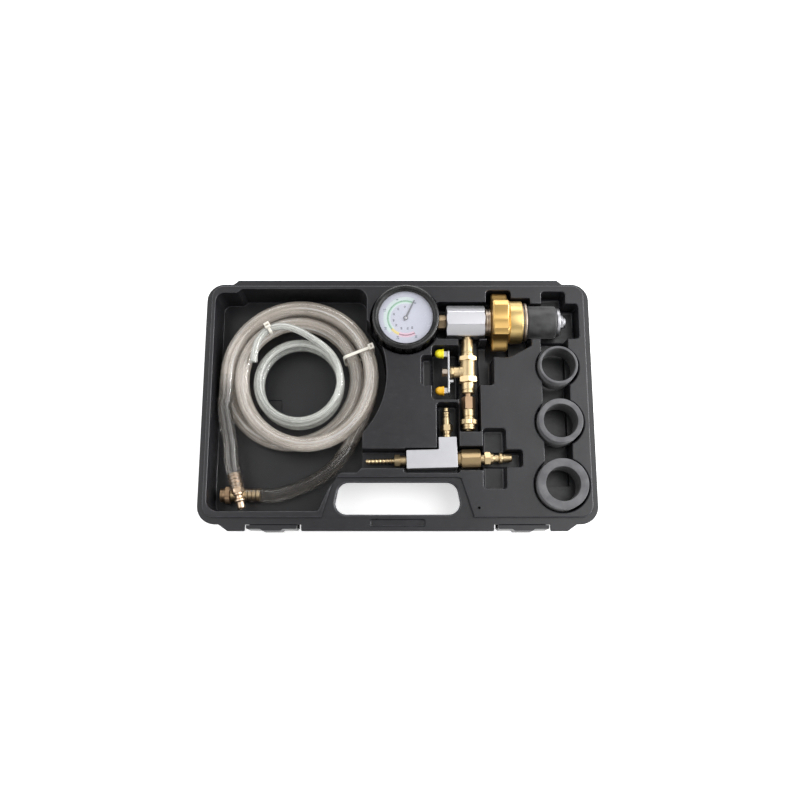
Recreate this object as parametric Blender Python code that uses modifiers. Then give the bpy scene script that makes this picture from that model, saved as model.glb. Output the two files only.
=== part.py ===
"""Coolant vacuum filler in the base half of its blow moulded case.

A tray holds the filler head with its gauge, ball valve and expansion plug, a venturi block, three adapter
rings and two coiled hoses. Metres, +Z up, origin at the bottom centre of the case, +X to the right and +Y
towards the hinge side.
"""

import math

import bmesh
import bpy
from mathutils import Euler, Matrix, Vector

# Fits
FACE_GAP = 0.0003
OVERRUN = 0.002
MERGE = 0.00001

# Facets of round pieces
LARGE_STEPS = 24
MEDIUM_STEPS = 12
SMALL_STEPS = 8
HEX_STEPS = 6
OCTAGON_STEPS = 8
CORNER_STEPS = 2

# Angles
TURN = 2 * math.pi
QUARTER = math.pi / 2

# Filler head, a stack of pieces along X
HEAD_HEIGHT = 0.040
BOOT_RADIUS = 0.0365
BOOT_WALL = 0.0029
BOOT_RIBS = 20
BOOT_RIB_DEPTH = 0.0018
BOOT_RIB_SHARES = [(0.0, 0), (0.56, 0), (0.64, 1), (0.92, 1)]
BOOT_BELOW_AXIS = 0.018
BOOT_ABOVE_AXIS = 0.0225
BOOT_FLOOR = 0.003
BOOT_LIP = 0.0012
BOOT_LIP_WIDTH = 0.0018
BOOT_CHAMFER = 0.0022
CAN_WALL = 0.0012
BEZEL_HEIGHT = 0.0037
BEZEL_LIP = 0.0011
BEZEL_LIP_WIDTH = 0.0015
BEZEL_SEAT_WIDTH = 0.0022
LENS_THICK = 0.001
DIAL_THICK = 0.0006
DIAL_DROP = 0.0005
DIAL_HOLE = 0.0012
NEEDLE_THICK = 0.0005
NEEDLE_LIFT = 0.0004
NEEDLE_HUB = 0.0026
NEEDLE_REACH = 0.0235
NEEDLE_TAIL = 0.008
NEEDLE_WIDTH = 0.0017
NEEDLE_TIP = 0.0006
NEEDLE_SHAFT = 0.0008
NEEDLE_SHAFT_LENGTH = 0.006
NEEDLE_ANGLE = math.radians(65)
MOVEMENT_LENGTH = 0.030
MOVEMENT_WIDTH = 0.016
MOVEMENT_BACK = 0.010
STEM_RADIUS = 0.006
STEM_BLOCK_IN = 0.016
STEM_BLOCK_LENGTH = 0.011
STEM_BORE = 0.002
STEM_IN_NUT = 0.0051
BOURDON_RADIUS = 0.0222
BOURDON_TUBE = 0.0026
BOURDON_SWEEP = math.radians(262)
BOURDON_POINTS = 18
NUT_CORNER = 0.0086
NUT_LENGTH = 0.0094
NUT_IN_BOOT = 0.0016
NUT_CHAMFER = 0.0008
NUT_PORT = 0.003
NUT_SPIGOT = 0.005
NUT_SPIGOT_LENGTH = 0.0048
BOOT_NOTCH = 0.0095
BODY_ACROSS = 0.035
BODY_LENGTH = 0.0422
BODY_CHAMFER = 0.0016
BODY_BORE = 0.004
TUBE_RADIUS = 0.0055
TUBE_BORE = 0.0035
TUBE_IN_BODY = 0.0152
TUBE_PROUD = 0.0023
NECK_RADIUS = 0.015
NECK_LENGTH = 0.0065
NECK_CHAMFER = 0.0008
KNOB_RADIUS = 0.032
KNOB_LENGTH = 0.0179
KNOB_LOBES = 6
KNOB_PHASE = math.radians(-13)
KNOB_LOBE_DEPTH = 0.0065
KNOB_LOBE_POINTS = 10
KNOB_LAND_SHARE = 0.2
KNOB_CHAMFER = 0.002
COLLAR_RADIUS = 0.0235
COLLAR_LENGTH = 0.0155
COLLAR_CHAMFER = 0.0013
THRUST_RADIUS = 0.020
THRUST_LENGTH = 0.0012
WASHER_RADIUS = 0.0215
WASHER_LENGTH = 0.0027
WASHER_CHAMFER = 0.0006
PLUG_RADIUS = 0.0178
PLUG_LENGTH = 0.0322
PLUG_CHAMFER = 0.0014
END_WASHER_RADIUS = 0.0155
END_WASHER_LENGTH = 0.0039
END_NUT_CORNER = 0.0078
END_NUT_LENGTH = 0.0044
PLUG_TRAVEL = 0.003

# Ball valve, measured down from the head's axis towards the front
VALVE_SHARE = 0.55
NIPPLE_RADIUS = 0.0042
NIPPLE_IN_BODY = 0.0057
NIPPLE_NECK = 0.0025
NIPPLE_CONE_SMALL = 0.006
NIPPLE_CONE_LARGE = 0.007
NIPPLE_CONE_LENGTH = 0.019
NIPPLE_SPIGOT = 0.0045
NIPPLE_SPIGOT_LENGTH = 0.003
NIPPLE_BORE = 0.0028
VALVE_HEX_CORNER = 0.0105
VALVE_HEX_LENGTH = 0.0054
VALVE_BARREL = 0.0081
VALVE_BARREL_LENGTH = 0.0173
VALVE_LOWER_HEX_LENGTH = 0.0068
VALVE_PORT = 0.0035
BALL_RADIUS = 0.006
BALL_CHAMBER = 0.0065
BALL_BORE = 0.0031
BALL_RINGS = 6
BALL_FROM_HEX = 0.0119
SEAT_RADIUS = 0.0062
SEAT_LENGTH = 0.0014
VALVE_END_RADIUS = 0.007
VALVE_END_LENGTH = 0.0116
COUPLING_NECK = 0.0035
COUPLING_NECK_LENGTH = 0.0038
COUPLING_NECK_IN = 0.003
COUPLING_HEX_CORNER = 0.0075
COUPLING_HEX_LENGTH = 0.0136
COUPLING_SPIGOT_LENGTH = 0.003
COUPLING_BORE = 0.0022

# Lever and stem, measured from the valve's axis towards the gauge
STEM_SHAFT = 0.0024
STEM_IN_BALL = 0.0014
BONNET_RADIUS = 0.006
BONNET_REACH = 0.0155
PACKING_LENGTH = 0.0037
PACKING_CORNER = 0.0068
LEVER_GAP = 0.0007
LEVER_THICK = 0.0018
LEVER_HALF_SPAN = 0.0246
LEVER_HALF_WIDTH = 0.005
LEVER_EAR = 0.0118
LEVER_BEND = 0.0012
CAP_LENGTH = 0.012
CAP_WIDTH = 0.0098
CAP_WALL = 0.001
CAP_FROM_PLATE = 0.0018
CAP_ROUND = 0.0016
LEVER_NUT_CORNER = 0.00475
LEVER_NUT_LENGTH = 0.0058
LEVER_NUT_DEPTH = 0.0037

# Quick coupler, measured from its rear face to its mouth
COUPLER_BARREL = 0.0068
COUPLER_BARREL_LENGTH = 0.0105
COUPLER_LENGTH = 0.0222
COUPLER_NOSE = 0.0056
COUPLER_BORE = 0.0044
COUPLER_CHAMFER = 0.0006
SEAL_RADIUS = 0.0005
SEAL_FROM_MOUTH = 0.0085
SLEEVE_RADIUS = 0.008
SLEEVE_FLANGE = 0.0095
SLEEVE_FLANGE_LENGTH = 0.0052
SLEEVE_TAIL = 0.0076
SLEEVE_SKIRT_LENGTH = 0.0046
SPRING_WIRE = 0.00035
SPRING_TURNS = 2.5
SPRING_POINTS_PER_TURN = 10

# Share of the length and of the radius along a quick plug, from its tip to its root
QUICK_PLUG_SHARES = [(1.0, 0.62), (0.94, 0.76), (0.62, 0.76), (0.56, 1.0), (0.46, 1.0), (0.40, 0.68),
                     (0.24, 0.68), (0.18, 0.92), (0.0, 0.92)]

# Venturi block and its fittings, in the block's own frame
BLOCK_LENGTH = 0.054
BLOCK_WIDTH = 0.020
BLOCK_HEIGHT = 0.020
BLOCK_ARM = 0.013
BLOCK_ARM_WIDTH = 0.0195
BLOCK_ROUND = 0.0008
BLOCK_TILT = math.radians(1.5)
BLOCK_CENTRE_HEIGHT = 0.038
BLOCK_BORE = 0.005
BLOCK_PORT = 0.004
BLOCK_FROM_VALVE = 0.0401
BLOCK_FROM_COUPLER = 0.0319
SPIGOT_LENGTH = 0.0025
THROAT_RADIUS = 0.0018
BARB_CONE_LENGTH = 0.0064
BARB_HEX_CORNER = 0.007
BARB_HEX_LENGTH = 0.0061
BARB_LENGTH = 0.0304
BARB_RADIUS = 0.003
BARB_RIDGES = 4
BARB_BORE = 0.0015
VACUUM_NECK_LENGTH = 0.0072
VACUUM_NECK = 0.0046
VACUUM_HEX_CORNER = 0.0068
VACUUM_HEX_LENGTH = 0.007
VACUUM_PLUG_LENGTH = 0.0207
VACUUM_PLUG_RADIUS = 0.0041
AIR_NECK_LENGTH = 0.004
AIR_NECK = 0.008
AIR_HEX_CORNER = 0.011
AIR_HEX_LENGTH = 0.0205
AIR_SOCKET = 0.0048
AIR_PLUG_NECK_LENGTH = 0.004
AIR_PLUG_HEX_CORNER = 0.0075
AIR_PLUG_HEX_LENGTH = 0.0065
AIR_PLUG_LENGTH = 0.0245
AIR_PLUG_RADIUS = 0.0059
PLUG_BORE = 0.0022

# Adapter rings
RING_BORE = 0.018
RING_HEIGHT = 0.030
RING_CHAMFER = 0.001
RING_BOTTOM = 0.028
RING_RADII = {"small": 0.021, "medium": 0.024, "large": 0.027}

# Hoses
LARGE_HOSE = 0.016
LARGE_HOSE_GAP = 0.0006
LARGE_COIL_INNER = 0.0624
COIL_STEP_FROM = 0.26
COIL_STEP_RUN = 0.4
LARGE_COIL_SWEEP = math.radians(920)
LARGE_COIL_START = math.radians(-20)
COIL_CLIMB = math.pi
SMALL_HOSE = 0.008
SMALL_HOSE_GAP = 0.0006
SMALL_COIL_RADIUS = 0.045
SMALL_COIL_SWAY = 0.00175
SMALL_COIL_TURNS = 4
SMALL_COIL_DOWN = 0.006
SMALL_COIL_START = math.radians(150)
BULGE_ANGLE = math.radians(120)
BULGE_SPREAD = math.radians(34)
BULGE_REACH = 0.0195
BULGE_RISE = 0.001
LARGE_TIE_LEVELS = 0.0
SMALL_TIE_LEVELS = 0.044
TIE_ROUND_SHARE = 0.3
GAP_SKIP_SHARE = 1.8
MILLIMETRE = 0.001
POINTS_PER_LOOP = 24
TIE_THICK = 0.0011
TIE_WIDTH = 0.0042
TIE_EASE = 0.0007
TIE_HEAD = 0.0062
TIE_HEAD_RISE = 0.0034
LARGE_TIE_ANGLE = math.radians(22)
HOSE_BARB_LENGTH = 0.017
HOSE_BARB_RADIUS = 0.0064
HOSE_BARB_RIDGES = 3
HOSE_HEX_LENGTH = 0.0038
HOSE_HEX_CORNER = 0.0078
HOSE_PLUG_HEX_CORNER = 0.0069
HOSE_PLUG_HEX_LENGTH = 0.005
HOSE_PLUG_LENGTH = 0.0175
HOSE_BORE = 0.0022
HOSE_COUPLER_SIDE = 0.008
HOSE_COUPLER_FRONT = 0.0203
HOSE_PLUG_SIDE = 0.068
HOSE_PLUG_DOWN = 0.106
HOSE_PLUG_LEAN = math.radians(15)
COUPLER_TAIL_ROUTE = [(-0.022, -0.1275), (0.005, -0.1185), (0.031, -0.103), (0.050, -0.082), (0.060, -0.063)]
PLUG_TAIL_ROUTE = [(-0.081, -0.031), (-0.077, -0.053), (-0.0725, -0.075)]
TAIL_STEP_SHARE = 1.5
TAIL_STRAIGHT_SHARE = 0.6
TAIL_SMOOTH_STEPS = 12
HOSE_PLUG_RADIUS = 0.0056
RIDGE_SHARE = 0.8

# Case
SIDE_WALL = 0.010
END_WALL = 0.012
FRONT_WALL = 0.0135
BACK_WALL = 0.0062
FRONT_LIP = 0.007
BACK_LIP = 0.0046
DECK_HEIGHT = 0.050
DECK_RISE = 0.003
RIM_THICK = 0.0035
CORNER_RADIUS = 0.019
WALL = 0.0022
POCKET_DRAFT = 0.0008
SKIRT_INSET = 0.0015
BASE_ROUND = 0.005
BASE_DRAFT = 0.0015
DECK_INSET = 0.0055
DECK_BACK_INSET = 0.0024
DECK_FRONT_INSET = 0.007
DECK_ROUND = 0.001
COIL_EASE = 0.003
COIL_SIDE_ROOM = 0.002
COIL_BACK_ROOM = 0.006
COIL_ARC_ROOM = 0.006
FITTING_ROOM = 0.0583
BOOT_TO_COIL = 0.0047
BOOT_OFFSET_Y = 0.060
END_ROOM = 0.0135
KNOB_BACK_ROOM = 0.0023
BLOW_HOLE = 0.0015
HANDLE_BAR = 0.0173
HANDLE_WEB = 0.0112
HANDLE_HALF_BACK = 0.0625
HANDLE_HALF_FRONT = 0.0695
HANDLE_ROUND = 0.012
HANDLE_STEP_BACK = 0.0035
HANDLE_STEP_SIDE = 0.0045
HANDLE_STEP_FLARE = 0.0125
BAR_SLOT_HALF = 0.029
BAR_SLOT_WIDTH = 0.0079
BAR_SLOT_DEPTH = 0.004
HINGE_FROM_SIDE = 0.034
HINGE_TAPER = 0.0055
LIP_FROM_SIDE = 0.033
LIP_TAPER = 0.010
LIP_ROUND = 0.0015
STEP_LIFT = 0.0002
BAY_FLOOR = 0.006
CHANNEL_FLOOR = 0.020
RING_POCKET_ROOM = 0.0025
RING_POCKET_GAP = 0.011
RING_SIDE_WALL = 0.008
RING_FRONT_WALL = 0.0117
CHANNEL_LEFT = 0.017
CHANNEL_RIGHT = 0.0125
POCKET_ROUND = 0.004
SMALL_ROUND = 0.002
LAP = 0.0015
CAVITY_MARGIN = 0.0006
BAY_ROUND_FRONT = 0.012
BAY_ROUND_BACK = 0.009
BAY_BACK_STEP = 0.0045
BAY_BACK_STEP_AT = 0.023
BAY_STEP_RUN = 0.005
BAY_RIGHT_BACK = 0.034
BAY_RIGHT_FRONT = 0.0375
BAY_RIGHT_CHAMFER = 0.0055
BAY_FRONT_END = 0.0135
BAY_SIDE_END = 0.0101
BAY_SIDE_DROP = 0.0106
BAY_TOP_END = 0.002
BAY_TOP_RISE = 0.006
BAY_MARK = (0.013, 0.009)
BAY_MARK_AT = (-0.0336, -0.028)
BAY_MARK_DEPTH = 0.002
BODY_FRONT_ROOM = 0.0037
BODY_BACK_ROOM = 0.0034
KNOB_SIDE_ROOM = 0.0056
KNOB_FRONT_ROOM = 0.010
END_FRONT_ROOM = 0.0034
END_BACK_ROOM = 0.0011
COLLAR_BACK_ROOM = 0.0017
COLLAR_FRONT_ROOM = 0.0055
END_RECESS = (0.0265, 0.016)
END_RECESS_BACK = 0.0139
END_RECESS_DEPTH = 0.016
TROUGH_SIDES = (0.0105, 0.0125)
TROUGH_END_ROOM = 0.0032
TROUGH_DEPTH = 0.0125
LEVER_POCKET_LEFT = 0.0395
LEVER_FRONT_ROOM = 0.0079
LEVER_BACK_ROOM = 0.0035
LEVER_POCKET_DEPTH = 0.030
LEDGE_WIDTH = 0.0115
LEDGE_HALF = 0.017
LEDGE_DEPTH = 0.010
VALVE_RECESS = 0.0275
VALVE_RECESS_BACK = 0.0336
VALVE_RECESS_FRONT = 0.0167
BLOCK_ROOM_SIDE = 0.0026
BLOCK_ROOM_FRONT = 0.0052
BLOCK_ROOM_BACK = 0.0014
NIPPLE_POCKET_HALF = 0.012
NIPPLE_POCKET_LENGTH = 0.0609
NIPPLE_POCKET_DROP = 0.001
BARB_CHANNEL_LEFT = 0.0771
BARB_CHANNEL_HALF = 0.0105
FITTING_FLOOR = 0.029
AIR_CHANNEL_BACK = 0.0134
AIR_CHANNEL_FRONT = 0.0126
AIR_PLUG_CHANNEL = 0.0095
AIR_PLUG_ROOM = 0.0095
FINGER_RECESS = (0.0541, 0.0786)
FINGER_HALF = 0.0325
FINGER_FLOOR = 0.033
BLOW_HOLE_FROM_HANDLE = 0.0155
BLOW_HOLE_UP = 0.0065

# Latches
LATCH_LENGTH = 0.053
LATCH_FROM_SIDE = 0.105
LATCH_TRAVEL = 0.0035
LATCH_OUTER_ROOM = 0.001
LATCH_HEIGHT = 0.022
LATCH_TOP_DROP = 0.0006
LATCH_PROUD = 0.0004
LATCH_BUMP = 0.0019
LATCH_BUMP_HALF = 0.0115
LATCH_BACK = 0.0009
RAIL_NECK = 0.0014
RAIL_NECK_HALF = 0.0018
RAIL_HEAD = 0.0014
RAIL_HEAD_HALF = 0.0036

# Places that follow from the sizes above
RIM_HEIGHT = DECK_HEIGHT - DECK_RISE
BOOT_BOTTOM = HEAD_HEIGHT - BOOT_BELOW_AXIS
BOOT_TOP = HEAD_HEIGHT + BOOT_ABOVE_AXIS
LARGE_PITCH = LARGE_HOSE + LARGE_HOSE_GAP
LARGE_COIL_OUTER = LARGE_COIL_INNER + LARGE_PITCH
COIL_REACH = LARGE_COIL_OUTER + LARGE_HOSE / 2 + COIL_EASE
BOOT_OFFSET_X = math.sqrt((COIL_REACH + BOOT_RADIUS + BOOT_TO_COIL) ** 2 - BOOT_OFFSET_Y ** 2)
HEAD_LENGTHS = {
    "gauge_adapter_nut": NUT_LENGTH,
    "body_block": BODY_LENGTH,
    "neck_ring": NECK_LENGTH,
    "star_knob": KNOB_LENGTH,
    "pressure_collar": COLLAR_LENGTH,
    "thrust_ring": THRUST_LENGTH,
    "front_washer": WASHER_LENGTH,
    "rubber_plug": PLUG_LENGTH,
    "end_washer": END_WASHER_LENGTH,
    "end_nut": END_NUT_LENGTH,
}
HEAD_RUN = sum(HEAD_LENGTHS.values()) + FACE_GAP * (len(HEAD_LENGTHS) - 1) + TUBE_PROUD
CASE_WIDTH = (SIDE_WALL + COIL_SIDE_ROOM + COIL_REACH + BOOT_OFFSET_X + BOOT_RADIUS - NUT_IN_BOOT
              + HEAD_RUN + END_ROOM + END_WALL)
CASE_DEPTH = (FRONT_LIP + FRONT_WALL + FITTING_ROOM + 2 * COIL_REACH + COIL_BACK_ROOM + BACK_WALL
              + BACK_LIP)
HALF_WIDTH = CASE_WIDTH / 2
HALF_DEPTH = CASE_DEPTH / 2
RIM_FRONT = -HALF_DEPTH + FRONT_LIP
RIM_BACK = HALF_DEPTH - BACK_LIP
BAY_LEFT = -HALF_WIDTH + SIDE_WALL
BAY_FRONT = RIM_FRONT + FRONT_WALL
BAY_BACK = RIM_BACK - BACK_WALL
COIL_X = BAY_LEFT + COIL_SIDE_ROOM + COIL_REACH
COIL_Y = BAY_BACK - COIL_BACK_ROOM - COIL_REACH
SMALL_COIL_Y = COIL_Y - SMALL_COIL_DOWN
GAUGE_X = COIL_X + BOOT_OFFSET_X
HEAD_Y = COIL_Y + BOOT_OFFSET_Y
PLUG_POCKET_RIGHT = HALF_WIDTH - END_WALL


def head_places():
    """Start of each piece of the head along X, one after another with a face gap between them."""
    places = {}
    start = GAUGE_X + BOOT_RADIUS - NUT_IN_BOOT
    for name, length in HEAD_LENGTHS.items():
        places[name] = start
        start += length + FACE_GAP
    return places


HEAD_AT = head_places()
TUBE_END = HEAD_AT["end_nut"] + END_NUT_LENGTH + TUBE_PROUD
BODY_HALF = BODY_ACROSS / 2
VALVE_X = HEAD_AT["body_block"] + VALVE_SHARE * BODY_LENGTH
VALVE_TOP = BODY_HALF + NIPPLE_NECK + NIPPLE_CONE_LENGTH + FACE_GAP
LEVER_DOWN = VALVE_TOP + VALVE_HEX_LENGTH + BALL_FROM_HEX
CAN_RADIUS = BOOT_RADIUS - BOOT_WALL - 2 * FACE_GAP
BEZEL_TOP = BOOT_TOP - BOOT_LIP - FACE_GAP
BEZEL_BOTTOM = BEZEL_TOP - BEZEL_HEIGHT
CAN_TOP = BEZEL_BOTTOM - FACE_GAP
DIAL_TOP = CAN_TOP - DIAL_DROP
VALVE_BOTTOM = VALVE_TOP + VALVE_HEX_LENGTH + VALVE_BARREL_LENGTH + VALVE_LOWER_HEX_LENGTH
VALVE_END_TOP = VALVE_BOTTOM + FACE_GAP
COUPLING_TOP = VALVE_END_TOP + VALVE_END_LENGTH + FACE_GAP
COUPLING_HEX_TOP = COUPLING_TOP + COUPLING_NECK_LENGTH
COUPLER_TOP = COUPLING_HEX_TOP + COUPLING_HEX_LENGTH + FACE_GAP
COUPLER_MOUTH = COUPLER_TOP + COUPLER_LENGTH
BLOCK_X = VALVE_X - BLOCK_FROM_VALVE
BLOCK_Y = HEAD_Y - COUPLER_MOUTH - BLOCK_FROM_COUPLER
LEVER_PLATE = BONNET_REACH + FACE_GAP + PACKING_LENGTH + LEVER_GAP
STEM_FROM = BALL_RADIUS - STEM_IN_BALL
STEM_TO = LEVER_PLATE + LEVER_THICK + LEVER_NUT_DEPTH
RING_X = HALF_WIDTH - RING_SIDE_WALL - RING_RADII["large"] - RING_POCKET_ROOM
HANDLE_FRONT = -HALF_DEPTH + HANDLE_BAR
HANDLE_BACK = BLOCK_Y - BLOCK_WIDTH / 2 - HANDLE_WEB
HOSE_FLOOR = BAY_FLOOR + FACE_GAP + TIE_THICK + TIE_EASE
LARGE_Z = HOSE_FLOOR + LARGE_HOSE / 2
SMALL_PITCH = SMALL_HOSE + SMALL_HOSE_GAP
SMALL_Z = BAY_FLOOR + FACE_GAP + SMALL_HOSE / 2

FINISHES = {
    "moulded_black": ((0.028, 0.028, 0.030), 0.48, 0.0),
    "boot_rubber": ((0.012, 0.012, 0.013), 0.65, 0.0),
    "adapter_rubber": ((0.050, 0.050, 0.053), 0.75, 0.0),
    "plug_rubber": ((0.020, 0.020, 0.021), 0.70, 0.0),
    "bright_aluminium": ((0.86, 0.86, 0.87), 0.22, 1.0),
    "satin_aluminium": ((0.66, 0.67, 0.68), 0.38, 1.0),
    "gold_anodised": ((0.78, 0.50, 0.14), 0.30, 1.0),
    "brass": ((0.80, 0.62, 0.32), 0.25, 1.0),
    "bronze": ((0.42, 0.34, 0.22), 0.40, 1.0),
    "steel": ((0.62, 0.62, 0.62), 0.25, 1.0),
    "dark_steel": ((0.10, 0.10, 0.10), 0.35, 1.0),
    "dial_white": ((0.85, 0.85, 0.88), 0.50, 0.0),
    "lens_clear": ((0.95, 0.97, 0.98), 0.05, 0.0),
    "needle_black": ((0.02, 0.02, 0.02), 0.50, 0.0),
    "seal_white": ((0.85, 0.84, 0.80), 0.45, 0.0),
    "cap_yellow": ((0.90, 0.62, 0.03), 0.35, 0.0),
    "hose_clear": ((0.60, 0.57, 0.52), 0.15, 0.0),
    "hose_milky": ((0.72, 0.74, 0.70), 0.18, 0.0),
    "tie_white": ((0.85, 0.85, 0.85), 0.40, 0.0),
}

AXES = {
    "X": Euler((0, QUARTER, 0)),
    "-X": Euler((0, -QUARTER, 0)),
    "Y": Euler((-QUARTER, 0, 0)),
    "-Y": Euler((QUARTER, 0, 0)),
    "Z": Euler((0, 0, 0)),
}


def empty_scene():
    """Clear the file's objects, so only the model is left."""
    for item in list(bpy.data.objects):
        bpy.data.objects.remove(item, do_unlink=True)


def new_collection(name):
    """A collection linked to the scene."""
    group = bpy.data.collections.new(name)
    bpy.context.scene.collection.children.link(group)
    return group


empty_scene()
PARTS = new_collection("coolant_vacuum_filler")
CUTTERS = new_collection("cutters")


def finish(item, key):
    """Give a piece its own material of one finish."""
    colour, roughness, metallic = FINISHES[key]
    skin = bpy.data.materials.new(item.name + "_" + key)
    skin.use_nodes = True
    shader = skin.node_tree.nodes["Principled BSDF"]
    shader.inputs["Base Color"].default_value = (*colour, 1)
    shader.inputs["Roughness"].default_value = roughness
    shader.inputs["Metallic"].default_value = metallic
    skin.diffuse_color = (*colour, 1)
    item.data.materials.append(skin)


def pivot(name, place, turn=(0, 0, 0), parent=None):
    """An empty that carries the pieces of one moving group."""
    item = bpy.data.objects.new(name, None)
    PARTS.objects.link(item)
    item.location = place
    item.rotation_euler = turn
    item.parent = parent
    return item


def add(name, mesh, place=(0, 0, 0), axis="Z", spin=0, parent=None):
    """Put a mesh in the scene with its own Z along an axis, spun about that axis."""
    item = bpy.data.objects.new(name, mesh)
    PARTS.objects.link(item)
    item.location = place
    turn = AXES[axis].to_matrix() if axis in AXES else Vector(axis).to_track_quat("Z", "Y").to_matrix()
    item.rotation_euler = (turn @ Matrix.Rotation(spin, 3, "Z")).to_euler()
    item.parent = parent
    return item


def carve(item, tools, operation="DIFFERENCE"):
    """Cut or join a piece with tools, which are then only cutters."""
    for tool in tools:
        PARTS.objects.unlink(tool)
        CUTTERS.objects.link(tool)
        tool.hide_render = True
        tool.display_type = "WIRE"
        step = item.modifiers.new(tool.name, "BOOLEAN")
        step.operation = operation
        step.solver = "EXACT"
        step.object = tool
    return item


def fuse(item, tools):
    """Join tools to a piece."""
    return carve(item, tools, "UNION")


def turned(name, profile, steps=MEDIUM_STEPS, **where):
    """Lathe (radius, height) points that run down the outer side; one that leaves the axis is a ring."""
    mesh = bpy.data.meshes.new(name)
    edges = [(index, index + 1) for index in range(len(profile) - 1)]
    if profile[0][0] > 0:
        edges.append((len(profile) - 1, 0))
    mesh.from_pydata([(radius, 0, height) for radius, height in profile], edges, [])
    item = add(name, mesh, **where)
    step = item.modifiers.new("turn", "SCREW")
    step.axis = "Z"
    step.angle = TURN
    step.steps = steps
    step.render_steps = steps
    step.use_merge_vertices = True
    step.merge_threshold = MERGE
    step.use_smooth_shade = steps > OCTAGON_STEPS
    return item


def rod(radius, start, end, chamfer=0.0):
    """Profile of a solid rod from one height to another."""
    if chamfer:
        return [(0, end), (radius - chamfer, end), (radius, end - chamfer),
                (radius, start + chamfer), (radius - chamfer, start), (0, start)]
    return [(0, end), (radius, end), (radius, start), (0, start)]


def sleeve(radius, bore, start, end, chamfer=0.0):
    """Profile of a ring or sleeve."""
    if chamfer:
        return [(radius - chamfer, end), (radius, end - chamfer), (radius, start + chamfer),
                (radius - chamfer, start), (bore, start), (bore, end)]
    return [(radius, end), (radius, start), (bore, start), (bore, end)]


def ridges(radius, depth, start, end, count):
    """Outer side of a hose barb from its tip down, each ridge sloping outwards and dropping back."""
    pitch = (end - start) / count
    side = []
    for index in range(count):
        top = end - index * pitch
        side += [(radius - depth, top), (radius, top - pitch * RIDGE_SHARE)]
    return side + [(radius - depth, start)]


def rounded(corners):
    """Outline with each (x, y, radius) corner turned into an arc, of twice the steps where it is wide."""
    outline = []
    for index, (x, y, radius) in enumerate(corners):
        here = Vector((x, y))
        if not radius:
            outline.append(here)
            continue
        before = (Vector(corners[index - 1][:2]) - here).normalized()
        after = (Vector(corners[(index + 1) % len(corners)][:2]) - here).normalized()
        half = before.angle(after) / 2
        reach = radius / math.tan(half)
        centre = here + (before + after).normalized() * radius / math.sin(half)
        first = here + before * reach - centre
        sweep = first.angle_signed(here + after * reach - centre)
        steps = CORNER_STEPS if radius <= POCKET_ROUND else 2 * CORNER_STEPS
        for step in range(steps + 1):
            outline.append(centre + Matrix.Rotation(-sweep * step / steps, 2) @ first)
    return outline


def box(left, right, front, back, radius):
    """Corners of a rectangle."""
    return [(left, front, radius), (right, front, radius), (right, back, radius), (left, back, radius)]


def disc(x, y, radius, steps=LARGE_STEPS):
    """Corners of a circle."""
    return [(x + radius * math.cos(TURN * step / steps), y + radius * math.sin(TURN * step / steps), 0)
            for step in range(steps)]


def offset(outline, distance):
    """Outline moved outwards by a distance, corner by corner."""
    moved = []
    for index, here in enumerate(outline):
        before = (here - outline[index - 1]).normalized()
        after = (outline[(index + 1) % len(outline)] - here).normalized()
        normal = (Vector((before.y, -before.x)) + Vector((after.y, -after.x))).normalized()
        lean = normal.dot(Vector((after.y, -after.x)))
        moved.append(here + normal * distance / lean)
    return moved


def loft(name, sections, **where):
    """Closed solid through outlines of equal count, each given with its height, bottom first."""
    shape = bmesh.new()
    rings = [[shape.verts.new((point.x, point.y, height)) for point in outline]
             for outline, height in sections]
    shape.faces.new(reversed(rings[0]))
    shape.faces.new(rings[-1])
    for lower, upper in zip(rings, rings[1:]):
        for index in range(len(lower)):
            shape.faces.new((lower[index - 1], lower[index], upper[index], upper[index - 1]))
    mesh = bpy.data.meshes.new(name)
    shape.to_mesh(mesh)
    shape.free()
    return add(name, mesh, **where)


def prism(name, corners, bottom, top, **where):
    """Flat outline raised to a block."""
    outline = rounded(corners)
    return loft(name, [(outline, bottom), (outline, top)], **where)


def tube(name, points, radius, resolution, parent=None):
    """Round bar with filled ends along points, made a closed mesh."""
    curve = bpy.data.curves.new(name, "CURVE")
    curve.dimensions = "3D"
    curve.bevel_depth = radius
    curve.bevel_resolution = resolution
    curve.use_fill_caps = True
    line = curve.splines.new("POLY")
    line.points.add(len(points) - 1)
    for target, point in zip(line.points, points):
        target.co = (*point, 1)
    item = bpy.data.objects.new(name, curve)
    PARTS.objects.link(item)
    item.parent = parent
    bpy.context.view_layer.update()
    mesh = bpy.data.meshes.new_from_object(item.evaluated_get(bpy.context.evaluated_depsgraph_get()))
    place = item.matrix_world.copy()
    bpy.data.objects.remove(item)
    shape = bmesh.new()
    shape.from_mesh(mesh)
    bmesh.ops.remove_doubles(shape, verts=shape.verts, dist=MERGE)
    bmesh.ops.recalc_face_normals(shape, faces=shape.faces)
    shape.to_mesh(mesh)
    shape.free()
    solid = add(name, mesh)
    solid.matrix_world = place
    return solid


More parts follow.
